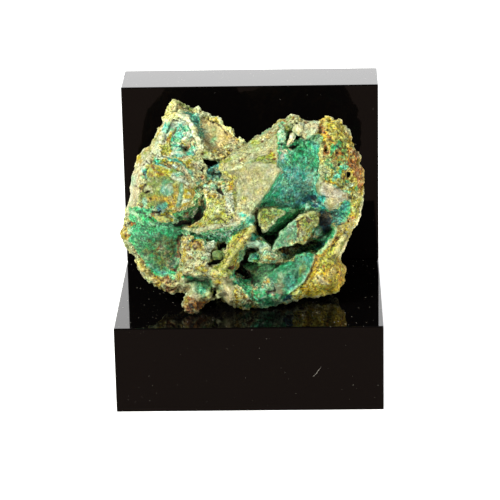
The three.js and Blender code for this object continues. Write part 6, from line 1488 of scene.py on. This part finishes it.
# The lumpy mass, the ball, the yellow ridge and the foot
knob(0.85, -7.35, 13.3, 1.6, 1.5)
ridge(-0.5, 0.6, (-9, 12.2), (-9, 13.6), (-8, 14.8), (-6.6, 14.9))
ridge(-0.8, 0.7, (-9.2, 11.5), (-8, 11.8), (-6.4, 12))
for x, y, wide in ((-12.1, 15.7, 1.0), (-14.2, 15.4, 1.0), (-8.4, 15.8, 0.7), (-9.6, 15.2, 0.6), (-11.6, 13.4, 1.1), (-14.4, 12.6, 1.2),
                   (-9.6, 13.6, 0.6), (-10.6, 12.6, 0.6), (-12.6, 11.2, 1.2), (-10.6, 10.3, 1.3), (-14.6, 9.8, 1.0), (-8.4, 9.6, 1.0),
                   (-13.2, 17.2, 1.0), (-10.6, 16.4, 0.8)):
    knob(0.5, x, y, wide, wide * 0.85)
ridge(-0.4, 0.7, (-15.2, 17.8), (-13, 18.2), (-11, 17.6))
ridge(0.4, 1.6, (0.6, 19.6), (-1.4, 17.2), (-3.2, 14.8), (-4.8, 12.4), (-6.6, 10.4), (-8.2, 9.2))
ridge(-0.3, 0.6, (-4.6, 16.2), (-5.4, 14.2), (-5.8, 12.6))
knob(-0.4, -4.3, 10.5, 0.7, 0.5)
even(0.4, (-8.8, 7.8), (-4, 8), (-3.8, 1.8), (-4.6, 1.8), (-7.8, 5.6))
even(0.3, (-15.6, 8.6), (-9.2, 8.8), (-8.4, 4.2), (-12.4, 2.8), (-16.4, 6.2))
ridge(0.35, 0.8, (-15.4, 7.8), (-13.2, 8.7), (-10.6, 8.8), (-9.2, 8.2))
ridge(-0.35, 0.8, (-14.6, 7.2), (-12.4, 7.8), (-10.4, 7.6))
knob(0.4, -9.5, 4.6, 0.7, 0.9, -20)
knob(0.2, -11, 5.8, 1.0, 1.2)
ridge(0.3, 0.8, (-14.3, 4.6), (-15, 2.6), (-14.8, 0.6))
knob(0.4, -12.2, 1.0, 0.9, 0.8)
knob(0.3, -13.6, 2.6, 0.8, 0.7)
ridge(0.3, 0.8, (-3.9, 8), (-2.6, 6.4), (-1, 4.8), (0.6, 3.2))
ridge(0.25, 0.7, (1, 2.4), (3.4, 2), (5.6, 2.4))

# Whole faces that are brighter or darker than their crust is elsewhere, and some of them in another tint. This is
# partly their own colour and partly painted light and shade: shaded hollows and crevices lifted brighter, lit edges
# made brighter as highlights, and some shaded faces made darker.
tints_and_painted_light = np.ones((vertex_count, 3))
PLAIN = (1.0, 1.0, 1.0)
WARM = (1.06, 0.99, 0.80)
YELLOW = (1.05, 0.99, 0.62)
PINK = (1.08, 0.97, 0.98)
LILAC = (0.95, 0.95, 1.6)
TEAL = (0.80, 1.0, 1.10)
GREEN = (0.84, 1.05, 1.04)
BLUE = (0.93, 1.0, 1.18)
GREY = (1.2, 0.94, 1.0)
EMERALD = (0.70, 1.08, 1.0)


def tone(times, tint, *points):
    here = near(points, 2)
    share = np.clip(0.5 + inside_outline(points, here) / 1.6, 0, 1) * on_front[here]
    tints_and_painted_light[here] *= 1 + (np.array(tint) * times - 1) * share[:, None]


tone(0.95, PLAIN, (-19.3, 44), (-21.2, 42), (-25, 37.8), (-27.4, 30), (-28.4, 24), (-25.9, 24.2), (-25.2, 30), (-22.4, 35))
tone(1.25, WARM, (-18.6, 48.4), (-15, 47.8), (-15.2, 45.2), (-18.9, 43.3), (-20, 44.6))
tone(1.1, PLAIN, (-18, 43.6), (-13.4, 42.6), (-11.2, 37.4), (-21.2, 35.4))
tone(1.0, BLUE, (-21.8, 35.4), (-12, 35.6), (-12.6, 32), (-15, 33), (-18, 32.6), (-23, 34))
tone(0.93, GREEN, (-23.6, 33.8), (-17, 33), (-15, 31.6), (-17.6, 31), (-23.8, 31))
tone(0.7, PLAIN, (-24, 31.2), (-16.6, 31), (-16, 24.6), (-25, 24.4))
# Painted light: the shaded groove right of the boulder lifted brighter.
tone(1.7, GREY, (-12.4, 29), (-10.2, 28.4), (-9.6, 25.4), (-12.6, 20.8), (-16, 20.4), (-17.8, 22.8), (-13.4, 24.2))
tone(1.6, PLAIN, (-12.4, 29), (-10.2, 28.6), (-9.8, 26), (-12.2, 26))
tone(1.5, PLAIN, (-12, 26), (-9.8, 26), (-9.6, 24), (-11.6, 23.6))
tone(0.6, GREY, (-15.6, 23), (-13.4, 23.2), (-13.2, 21.8), (-15.4, 21.6))
tone(0.36, EMERALD, (-22, 24.6), (-20, 25.4), (-18.6, 25), (-19, 23.8), (-21, 23.4))
tone(0.85, GREEN, (-22.6, 23.8), (-17.8, 23.4), (-17, 22.4), (-22.4, 22.4))
tone(0.97, (0.88, 1.03, 1.25), (-22.6, 23.8), (-17.8, 23.4), (-17, 20.8), (-22.4, 20.8))
tone(0.85, YELLOW, (-22.6, 22.2), (-17.8, 22), (-17.4, 20.8), (-22.4, 20.8))
tone(0.70, GREEN, (-26, 20), (-16, 20.4), (-15.8, 17), (-26.4, 17))
tone(0.47, WARM, (-27, 17.4), (-21.6, 17.4), (-20.6, 9.4), (-23.4, 11.4))
tone(0.57, PLAIN, (-21.6, 17.4), (-16, 17.4), (-16.6, 10), (-20.4, 9))
tone(0.85, WARM, (-27.4, 16), (-24.4, 12), (-20, 8.4), (-15.8, 8.4), (-16, 4), (-21, 6.4), (-25.6, 10.6), (-28.4, 15.4))
tone(1.2, BLUE, (-9.6, 33.8), (-7.2, 33.8), (-6.6, 31.4), (-9.6, 31.6))
tone(1.3, WARM, (-11, 44), (-6.8, 43), (-4, 39.8), (-5.8, 37.8), (-8.4, 37.4), (-10.6, 38.6))
tone(1.85, PLAIN, (-11.7, 46.4), (-9, 45.2), (-6, 43.4), (-1, 39), (-3, 38.8), (-5, 41), (-8, 43.6))
tone(0.85, WARM, (-12.8, 37), (-6.4, 36.8), (-6.2, 35.4), (-12.6, 35.4))
tone(1.13, PLAIN, (-5, 35.4), (0, 39), (5, 42), (6.3, 41), (6.2, 36), (1, 36), (-2, 34))
tone(0.93, PLAIN, (-6, 33), (6, 33.8), (7.4, 32.6), (0.6, 23), (-6, 22.4), (-6, 27.6), (-3.6, 28))
tone(1.0, (1.0, 1.0, 1.25), (-9.8, 26.4), (-6, 26), (-4, 22.6), (-4, 20.8), (-9, 20.2), (-12, 20))
tone(0.68, PLAIN, (-15, 20), (-3, 21), (-3, 20), (-12, 18.6))
# Painted light: the teal pocket under the ledge lifted brighter.
tone(1.7, BLUE, (-13, 18), (-3.2, 20), (-4.6, 16.2), (-11, 16.2))
tone(1.2, BLUE, (6.4, 38.4), (9.4, 37.8), (9, 34), (6.4, 34))
tone(1.45, GREY, (6.4, 42.6), (8.4, 42.4), (9.6, 37.6), (9, 34), (6.4, 34))
tone(0.82, GREEN, (10, 39.6), (15.6, 40), (16, 33), (10, 33))
tone(1.25, BLUE, (7.4, 33.6), (10.4, 33), (9, 28), (5, 24.6), (2.6, 25))
tone(1.3, PINK, (4.8, 27), (6.4, 30.4), (9.4, 32), (9.4, 28), (6.6, 25.8))
tone(1.35, PLAIN, (9.8, 39.4), (12.4, 39.6), (12.8, 37), (10.4, 36.4))
tone(1.5, PLAIN, (13.2, 40), (16.4, 40.6), (16.2, 37.6), (13.6, 37.4))
tone(1.12, BLUE, (10.4, 33), (15.4, 33), (15.2, 24.6), (8, 24.2), (9, 28))
tone(0.8, BLUE, (12, 27), (15, 27.4), (15, 25.4), (12, 25))
tone(1.15, PLAIN, (4.4, 42.4), (9, 45.4), (16, 44.4), (15, 43.6), (8, 43.2))
tone(1.2, WARM, (16, 44), (20.6, 44.4), (23.4, 40), (21, 39), (16.4, 40))
tone(1.45, PLAIN, (16.2, 44.8), (18.4, 45), (18.6, 43.2), (16.2, 43))
tone(0.93, YELLOW, (16.2, 40), (22.8, 39.6), (21.6, 34), (16, 34))
# Painted highlight: the right edge of the rim made brighter, where it catches the light.
tone(1.5, WARM, (22.8, 39.6), (25.4, 34), (26, 28.4), (23.6, 28.4), (21.6, 34))
tone(1.3, WARM, (24, 30), (26.4, 30), (26.4, 27.4), (24, 27.4))
tone(0.9, GREEN, (16, 34), (21.6, 34), (23.6, 28.4), (20, 29.2), (16, 30.4))
tone(0.6, PINK, (16, 29.8), (20, 29), (22.2, 26.8), (20.4, 26.6), (16.8, 26.8))
tone(1.3, PINK, (16.9, 26.5), (20.4, 26.2), (19.6, 24.4), (18.5, 23.5), (17.2, 24))
tone(0.74, EMERALD, (15.4, 27.4), (17, 26.8), (17.4, 23.4), (15.4, 23.4))
tone(1.05, (0.62, 0.98, 1.5), (15.4, 27.4), (17, 26.8), (17.4, 23.4), (15.4, 23.4))
tone(1.0, EMERALD, (20, 24.4), (22.8, 26.2), (22.8, 22), (20, 21.8))
tone(1.1, BLUE, (20, 24.4), (22.8, 26.2), (22.8, 22), (20, 21.8))
tone(0.7, GREY, (15.6, 23), (18.6, 23), (18.4, 18.4), (16, 18.6))
tone(0.85, WARM, (15.8, 23.4), (22.4, 24.6), (22, 21), (18.4, 18), (16.4, 18.6))
# Painted highlight: the right edge made brighter, where it catches the light.
tone(1.4, PLAIN, (23.2, 22.4), (25.4, 22.4), (24.8, 20), (22.8, 20))
tone(1.25, WARM, (23, 28), (26, 28), (25, 21), (22.8, 20.6))
tone(0.5, GREEN, (1.9, 23.9), (4.4, 24.4), (8.2, 23.2), (5.6, 21.2), (3.2, 18.8), (1.9, 20.8))
tone(1.3, PLAIN, (3.4, 18.8), (8.4, 23.2), (12.4, 24), (9.6, 21), (7, 18.6))
# Painted light: the shaded pocket under the yellow block lifted brighter.
tone(2.0, PLAIN, (1.4, 20.4), (3, 18.4), (6.6, 18.4), (5, 15.4), (2.4, 16.8))
tone(0.58, PLAIN, (4.6, 14.6), (6.9, 18.8), (10.9, 21.4), (11, 17), (7.6, 15.4))
tone(0.6, GREEN, (11, 21.6), (14.4, 23.4), (15.8, 22.4), (13.6, 17), (12.2, 16), (11, 17))
# Painted light: the crevice under the blade and the grey lump lifted brighter.
tone(1.8, GREEN, (7, 14.4), (10, 15.6), (16.6, 16.6), (17, 15), (12, 14), (9, 13))
tone(1.13, PLAIN, (-4, 20.2), (0, 22.8), (1.4, 21.6), (-0.6, 18.8))
tone(0.9, GREEN, (-0.8, 16.4), (3, 17), (5, 14.4), (2.6, 12.6), (1.8, 15))
tone(0.75, PLAIN, (3, 13.8), (6.4, 13.9), (6.4, 11.9), (3, 12))
# Painted light: the teal crystal inside the cave lifted brighter.
tone(2.1, GREEN, (-0.5, 12), (0.1, 14.2), (2.2, 13.6), (2, 11.8))
tone(0.64, WARM, (-1.6, 11.2), (7.2, 11.3), (3, 7.4), (0.4, 8))
tone(0.9, GREY, (-4, 8.6), (0.2, 8), (4, 8.2), (6, 5.6), (7, 3), (1, 2.4), (-2, 5.6))
tone(0.58, TEAL, (4, 8.3), (7.4, 11.6), (10, 13), (9.6, 6), (6, 4))
tone(0.55, TEAL, (9.6, 6), (9.6, 13.4), (14.8, 13.6), (13.2, 8.6))
tone(0.84, YELLOW, (15, 13.4), (18, 15.8), (21, 18.6), (22.6, 17.6), (20.4, 13), (14.6, 11))
tone(1.12, YELLOW, (12, 4), (14.2, 10.6), (20.6, 12.6), (22, 9), (20, 4.8))
tone(1.0, PINK, (15.1, 9.2), (16, 8.9), (17, 7.7), (18.3, 6.9), (16.6, 6.3), (15.4, 7.6))
tone(1.05, LILAC, (15.1, 9.2), (16, 8.9), (17, 7.7), (18.3, 6.9), (16.6, 6.3), (15.4, 7.6))
tone(0.42, LILAC, (18.2, 10.9), (19.5, 11.1), (19.7, 9.3), (18.4, 9.1))
tone(1.0, (1.0, 1.0, 1.2), (14.2, 19.8), (16.6, 20.4), (17, 17), (14, 16.8))
# Painted light: the lower edge and the right side of the lobe made brighter, as if lit.
tone(3.2, PLAIN, (11.8, 5), (16, 5), (20.4, 6), (20.4, 4), (12, 3))
tone(1.4, WARM, (22.8, 17.4), (24.8, 20.8), (23, 17), (21.4, 13), (20.6, 13))
tone(1.3, WARM, (19.4, 11.6), (22.6, 11.6), (22.4, 7), (20.2, 4.8), (19.4, 8))
tone(0.85, PLAIN, (-15.6, 18), (-9, 16.6), (-9, 9), (-15.6, 9))
tone(0.36, GREEN, (-8.9, 13.3), (-7.35, 14.8), (-5.8, 13.3), (-7.35, 11.8))
tone(1.0, YELLOW, (-8.9, 13.3), (-7.35, 14.8), (-5.8, 13.3), (-7.35, 11.8))
tone(0.8, WARM, (0.8, 19.8), (-1.2, 15.9), (-3.6, 11), (-8, 10), (-5.8, 13), (-4.8, 16.4))
tone(1.15, PLAIN, (-8.6, 7.8), (-2.7, 6.6), (0.6, 2.4), (-4, 2), (-7.8, 5.6))
tone(0.66, PLAIN, (-15.4, 4), (-10, 3), (-11.6, -0.4), (-14.8, 0))
tone(2.3, PLAIN, (9.3, 5), (11.6, 6), (11.6, 4), (9.9, 3.2))


# The relief: how coarse each crust is, and how far it stands up or lies deep, in millimetres.
COARSENESS = {
    "cream": 0.95, "plate": 0.14, "sand": 0.40, "ochre": 0.90, "rust": 0.90, "lime": 0.75, "olive": 0.75, "mint": 0.75,
    "malachite": 0.70, "turquoise": 0.70, "azure": 0.55, "deepblue": 0.50, "ivory_and_highlight": 0.35, "white": 0.70,
    "shaded_green": 0.55, "dark": 0.3,
}
STANDING = {
    "cream": 0.06, "plate": 0.0, "sand": 0.0, "ochre": 0.0, "rust": -0.10, "lime": 0.03, "olive": -0.06, "mint": 0.08,
    "malachite": 0.0, "turquoise": 0.04, "azure": -0.06, "deepblue": -0.2, "ivory_and_highlight": 0.12, "white": 0.14,
    "shaded_green": -0.12, "dark": -0.4,
}
SHINE = {
    "cream": 0.80, "plate": 0.75, "sand": 0.7, "ochre": 0.8, "rust": 0.75, "lime": 0.75, "olive": 0.75, "mint": 0.65,
    "malachite": 0.7, "turquoise": 0.6, "azure": 0.55, "deepblue": 0.55, "ivory_and_highlight": 0.55, "white": 0.55,
    "shaded_green": 0.65, "dark": 0.9,
}
coarse = sum(COARSENESS[m] * amounts[k] for k, m in enumerate(MINERALS))
standing = sum(STANDING[m] * amounts[k] for k, m in enumerate(MINERALS))


def lumps(size, salt):
    """Rounded lumps with sharp creases between them, 0 in a crease."""
    return np.abs(grain(size, salt))


coarse *= evenness
relief = coarse * (0.75 * lumps(2.7, 1) + 0.6 * lumps(1.3, 2) + 0.3 * lumps(0.75, 3) + 0.3 * grain(0.5, 4) - 0.32)
moved = places() + normals() * (relief + standing + rise)[:, None]
RESTING_ON = 20.0
settle = np.clip((21.4 - moved[:, 2]) / 1.1, 0, 1)
moved[:, 2] = np.maximum(moved[:, 2] - 0.3 * settle, RESTING_ON)
crust_mesh.vertices.foreach_set("co", (moved / 1000).astype(np.float32).ravel())
crust_mesh.update()

# How deep each corner lies under the smoothed surface round it, in millimetres: positive in a hollow.
edge_ends = np.empty(len(crust_mesh.edges) * 2, np.int32)
crust_mesh.edges.foreach_get("vertices", edge_ends)
edge_ends = edge_ends.reshape(-1, 2)
neighbours = np.bincount(edge_ends.ravel(), minlength=vertex_count)


def smoothed(values, rounds):
    for _ in range(rounds):
        total = np.zeros_like(values)
        for k in range(values.shape[1]):
            total[:, k] = np.bincount(edge_ends[:, 0], values[edge_ends[:, 1], k], vertex_count)
            total[:, k] += np.bincount(edge_ends[:, 1], values[edge_ends[:, 0], k], vertex_count)
        values = 0.5 * values + 0.5 * total / neighbours[:, None]
    return values


outward = normals()
fine_hollow = ((smoothed(moved, 8) - moved) * outward).sum(1)
wide_hollow = ((smoothed(moved, 60) - moved) * outward).sum(1)


def keep_as(name, values):
    attribute = crust_mesh.attributes.new(name, "FLOAT", "POINT")
    attribute.data.foreach_set("value", values.astype(np.float32))


keep_as("fine_hollow", fine_hollow)
keep_as("wide_hollow", wide_hollow)
keep_as("coarse", coarse)
tone_attribute = crust_mesh.attributes.new("tone", "FLOAT_VECTOR", "POINT")
tone_attribute.data.foreach_set("vector", tints_and_painted_light.astype(np.float32).ravel())
keep_as("shine", sum(SHINE[m] * amounts[k] for k, m in enumerate(MINERALS)))
covered = np.cumsum(amounts, axis=0)
for k, mineral in enumerate(MINERALS):
    keep_as(mineral, amounts[k] / np.maximum(covered[k], 1e-6))

# Matt mineral crusts, each with its own colours: the usual one, a paler one of its grains and a darker one
# of its pores. Where two meet, one breaks into the other in grains of half a millimetre.
# The dark and the dark green colours below are painted shade, and the ivory ones are partly a painted highlight.
CRUST_COLOURS = {
    "cream": ("#A6A472", "#D3D5AC", "#67582A"),
    "plate": ("#959365", "#A8A480", "#746B3F"),
    "sand": ("#A4966D", "#C2B893", "#5C482A"),
    "ochre": ("#A58921", "#C9B446", "#563B0A"),
    "rust": ("#824D14", "#B47421", "#371B05"),
    "lime": ("#98993B", "#BBBE6C", "#595816"),
    "olive": ("#6D7B33", "#99A552", "#31390F"),
    "mint": ("#5F9D75", "#99CAA4", "#286247"),
    "malachite": ("#2A9560", "#5CCB92", "#084029"),
    "turquoise": ("#2D9D85", "#75D6BC", "#0C4B48"),
    "azure": ("#308689", "#71C4BD", "#0F373B"),
    "deepblue": ("#1A566F", "#3F8FA6", "#07212F"),
    "ivory_and_highlight": ("#C7C198", "#E5E0C2", "#87774A"),
    "white": ("#A8AE9A", "#D2DECB", "#5D5B4B"),
    "shaded_green": ("#2A6740", "#4EA168", "#0C2615"),
    "dark": ("#21170D", "#4C3520", "#050403"),
}
DRIFT_MM = 3.4
CLOUD_MM = 1.5
STAIN_MM = 1.1
SUGAR_MM = 0.7
VELVET_MM = 0.42
BREAK_MM = 0.6
PURITY_MM = 1.6
CRYSTAL_MM = 0.42

specimen_crust, tree = new_material("mixed_mineral_crust")
place = add(tree, "ShaderNodeTexCoord").outputs["Object"]
drift = add(tree, "ShaderNodeTexNoise", Vector=place, Scale=1000 / DRIFT_MM, Detail=3.0, Roughness=0.6).outputs["Fac"]
clouds = add(
    tree, "ShaderNodeTexNoise", Vector=place, Scale=1000 / CLOUD_MM, Detail=6.0, Roughness=0.72, Distortion=0.5
).outputs["Fac"]
stains = add(
    tree, "ShaderNodeTexNoise", {"noise_dimensions": "4D"}, Vector=place, W=7.0, Scale=1000 / STAIN_MM,
    Detail=6.0, Roughness=0.7, Distortion=0.5,
).outputs["Fac"]
sugar = add(tree, "ShaderNodeTexNoise", Vector=place, Scale=1000 / SUGAR_MM, Detail=3.0, Roughness=0.6).outputs["Fac"]
velvet = add(tree, "ShaderNodeTexNoise", Vector=place, Scale=1000 / VELVET_MM, Detail=3.0, Roughness=0.7).outputs["Fac"]
breaks = add(tree, "ShaderNodeTexNoise", Vector=place, Scale=1000 / BREAK_MM, Detail=3.0, Roughness=0.7).outputs["Fac"]
crystals = add(tree, "ShaderNodeTexVoronoi", Vector=place, Scale=1000 / CRYSTAL_MM, Randomness=1.0)
crystal_tone = add(tree, "ShaderNodeSeparateColor", Color=crystals.outputs["Color"]).outputs[0]
bumpy = add(tree, "ShaderNodeAttribute", {"attribute_name": "coarse"}).outputs["Fac"]
crumbly = add(
    tree, "ShaderNodeMapRange", Value=bumpy, From_Min=0.05, From_Max=0.5, To_Min=0.45, To_Max=1.0
).outputs[0]
pale_grains = add(tree, "ShaderNodeMapRange", Value=sugar, From_Min=0.46, From_Max=0.62).outputs[0]
pores = add(tree, "ShaderNodeMapRange", Value=velvet, From_Min=0.47, From_Max=0.34).outputs[0]
pores = add(tree, "ShaderNodeMath", {"operation": "MULTIPLY"}, Value_0=pores, Value_1=crumbly).outputs[0]
wandering = add(
    tree, "ShaderNodeMapRange", Value=breaks, From_Min=0.25, From_Max=0.75, To_Min=-0.5, To_Max=0.5
).outputs[0]
colour = None
for mineral in MINERALS:
    usual, pale, dark = [linear(c) for c in CRUST_COLOURS[mineral]]
    grains = add(tree, "ShaderNodeMix", {"data_type": "RGBA"}, Factor_0=pale_grains, A_6=usual, B_7=pale).outputs[2]
    grains = add(tree, "ShaderNodeMix", {"data_type": "RGBA"}, Factor_0=pores, A_6=grains, B_7=dark).outputs[2]
    if colour is None:
        colour = grains
        continue
    share = add(tree, "ShaderNodeAttribute", {"attribute_name": mineral}).outputs["Fac"]
    broken = add(tree, "ShaderNodeMath", {"operation": "ADD"}, Value_0=share, Value_1=wandering).outputs[0]
    edge = add(tree, "ShaderNodeMapRange", Value=broken, From_Min=0.25, From_Max=0.75).outputs[0]
    edge = add(tree, "ShaderNodeMix", Factor_0=crumbly, A_2=share, B_3=edge).outputs[0]
    colour = add(tree, "ShaderNodeMix", {"data_type": "RGBA"}, Factor_0=edge, A_6=colour, B_7=grains).outputs[2]

# Every crust drifts in hue from place to place and in tone from grain to grain.
yellower = add(tree, "ShaderNodeMapRange", Value=drift, From_Min=0.5, From_Max=0.68, To_Min=0.0, To_Max=0.5).outputs[0]
colour = add(
    tree, "ShaderNodeMix", {"data_type": "RGBA", "blend_type": "MULTIPLY"},
    Factor_0=yellower, A_6=colour, B_7=linear("#F0E0A0"),
).outputs[2]
greener = add(tree, "ShaderNodeMapRange", Value=drift, From_Min=0.5, From_Max=0.34, To_Min=0.0, To_Max=0.5).outputs[0]
colour = add(
    tree, "ShaderNodeMix", {"data_type": "RGBA", "blend_type": "MULTIPLY"},
    Factor_0=greener, A_6=colour, B_7=linear("#CCF0E0"),
).outputs[2]
# Every crust is stained in places, warmer here and cooler there.
cool_share = add(tree, "ShaderNodeMapRange", Value=stains, From_Min=0.32, From_Max=0.68).outputs[0]
warm_or_cool = add(
    tree, "ShaderNodeMix", {"data_type": "RGBA"}, Factor_0=cool_share, A_6=linear("#FFE4BC"), B_7=linear("#CCF6FF")
).outputs[2]
colour = add(
    tree, "ShaderNodeMix", {"data_type": "RGBA", "blend_type": "MULTIPLY"}, Factor_0=crumbly, A_6=colour, B_7=warm_or_cool
).outputs[2]
cloudy = add(
    tree, "ShaderNodeMapRange", Value=clouds, From_Min=0.3, From_Max=0.7, To_Min=0.64, To_Max=1.36
).outputs[0]
glint = add(
    tree, "ShaderNodeMapRange", Value=crystal_tone, From_Min=0.0, From_Max=1.0, To_Min=0.9, To_Max=1.1
).outputs[0]
mottled = add(tree, "ShaderNodeMath", {"operation": "MULTIPLY"}, Value_0=cloudy, Value_1=glint).outputs[0]
sparkle = add(
    tree, "ShaderNodeMapRange", Value=velvet, From_Min=0.35, From_Max=0.65, To_Min=0.05, To_Max=2.05
).outputs[0]
# Some of each crust is sugary and some of it is smooth; on the sugary parts painted highlights and shade sparkle from
# grain to grain.
sugary = add(tree, "ShaderNodeMapRange", Value=drift, From_Min=0.38, From_Max=0.6, To_Min=0.3, To_Max=1.0).outputs[0]
sugary = add(tree, "ShaderNodeMath", {"operation": "MULTIPLY"}, Value_0=sugary, Value_1=crumbly).outputs[0]
sparkle = add(tree, "ShaderNodeMix", Factor_0=sugary, A_2=1.0, B_3=sparkle).outputs[0]
mottled = add(tree, "ShaderNodeMath", {"operation": "MULTIPLY"}, Value_0=mottled, Value_1=sparkle).outputs[0]
colour = add(tree, "ShaderNodeVectorMath", {"operation": "SCALE"}, Vector_0=colour, Scale=mottled).outputs[0]
# Some of each crust is pure mineral and some of it is bleached.
purity = add(
    tree, "ShaderNodeTexNoise", {"noise_dimensions": "4D"}, Vector=place, W=3.0, Scale=1000 / PURITY_MM,
    Detail=4.0, Roughness=0.7,
).outputs["Fac"]
purity = add(tree, "ShaderNodeMapRange", Value=purity, From_Min=0.34, From_Max=0.66, To_Min=0.78, To_Max=1.22).outputs[0]
colour = add(tree, "ShaderNodeHueSaturation", Saturation=purity, Color=colour).outputs[0]

# Hollows are darkened: the small ones by dirt and painted shade, the wide ones by painted shade alone. Ridges and broad
# crests are painted paler: rubbed wear and a painted highlight.
depth = add(tree, "ShaderNodeAttribute", {"attribute_name": "fine_hollow"}).outputs["Fac"]
wide_depth = add(tree, "ShaderNodeAttribute", {"attribute_name": "wide_hollow"}).outputs["Fac"]
shaded = add(tree, "ShaderNodeMapRange", Value=depth, From_Min=0.01, From_Max=0.16, To_Min=0.0, To_Max=0.8).outputs[0]
colour = add(
    tree, "ShaderNodeMix", {"data_type": "RGBA", "blend_type": "MULTIPLY"},
    Factor_0=shaded, A_6=colour, B_7=linear("#6A5430"),
).outputs[2]
shaded = add(tree, "ShaderNodeMapRange", Value=wide_depth, From_Min=0.3, From_Max=1.3, To_Min=0.0, To_Max=0.5).outputs[0]
colour = add(
    tree, "ShaderNodeMix", {"data_type": "RGBA", "blend_type": "MULTIPLY"},
    Factor_0=shaded, A_6=colour, B_7=linear("#6A6858"),
).outputs[2]
rubbed_and_highlit = add(tree, "ShaderNodeMapRange", Value=depth, From_Min=-0.05, From_Max=-0.2, To_Min=0.0, To_Max=0.7).outputs[0]
colour = add(
    tree, "ShaderNodeMix", {"data_type": "RGBA", "blend_type": "SCREEN"},
    Factor_0=rubbed_and_highlit, A_6=colour, B_7=linear("#868F6C"),
).outputs[2]
worn_and_highlit = add(tree, "ShaderNodeMapRange", Value=wide_depth, From_Min=-0.7, From_Max=-1.7, To_Min=0.0, To_Max=0.25).outputs[0]
colour = add(
    tree, "ShaderNodeMix", {"data_type": "RGBA", "blend_type": "SCREEN"},
    Factor_0=worn_and_highlit, A_6=colour, B_7=linear("#8E8C5C"),
).outputs[2]
# The faces' own tints, together with their painted light and shade, from the tone attribute.
face_tone_and_painted_light = add(tree, "ShaderNodeAttribute", {"attribute_name": "tone"}).outputs["Vector"]
colour = add(
    tree, "ShaderNodeMix", {"data_type": "RGBA", "blend_type": "MULTIPLY"}, Factor_0=1.0, A_6=colour, B_7=face_tone_and_painted_light
).outputs[2]
roughness = add(tree, "ShaderNodeAttribute", {"attribute_name": "shine"}).outputs["Fac"]
crystal_height = add(
    tree, "ShaderNodeMath", {"operation": "MULTIPLY_ADD"}, Value_0=crystals.outputs["Distance"], Value_1=-1.0, Value_2=velvet
).outputs[0]
bump = add(tree, "ShaderNodeBump", Height=crystal_height, Distance=0.00018, Strength=bumpy).outputs[0]
surface = add(tree, "ShaderNodeBsdfPrincipled", Base_Color=colour, Roughness=roughness, Normal=bump)
add(tree, "ShaderNodeOutputMaterial", Surface=surface.outputs[0])

crust_mesh.polygons.foreach_set("use_smooth", [True] * len(crust_mesh.polygons))
crust = new_piece("specimen_crust", crust_mesh, specimen_crust)

# The side away from the viewer is plainer, so it needs fewer faces.
FINISHED_TRIANGLES = 192000
hidden_side = crust.vertex_groups.new(name="hidden_side")
hidden_side.add(np.flatnonzero((facing < 0.05) | (front < -8)).tolist(), 1.0, "REPLACE")
thinned = crust.modifiers.new("thinned", "DECIMATE")
thinned.ratio = FINISHED_TRIANGLES / (2 * len(crust_mesh.polygons))
thinned.vertex_group = "hidden_side"
thinned.vertex_group_factor = 1000.0
bpy.context.view_layer.update()
thin_mesh = bpy.data.meshes.new_from_object(crust.evaluated_get(bpy.context.evaluated_depsgraph_get()))
crust.modifiers.clear()
crust.vertex_groups.clear()
crust.data = thin_mesh
thin_mesh.name = "specimen_crust"
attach(crust, "root")
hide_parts("specimen")
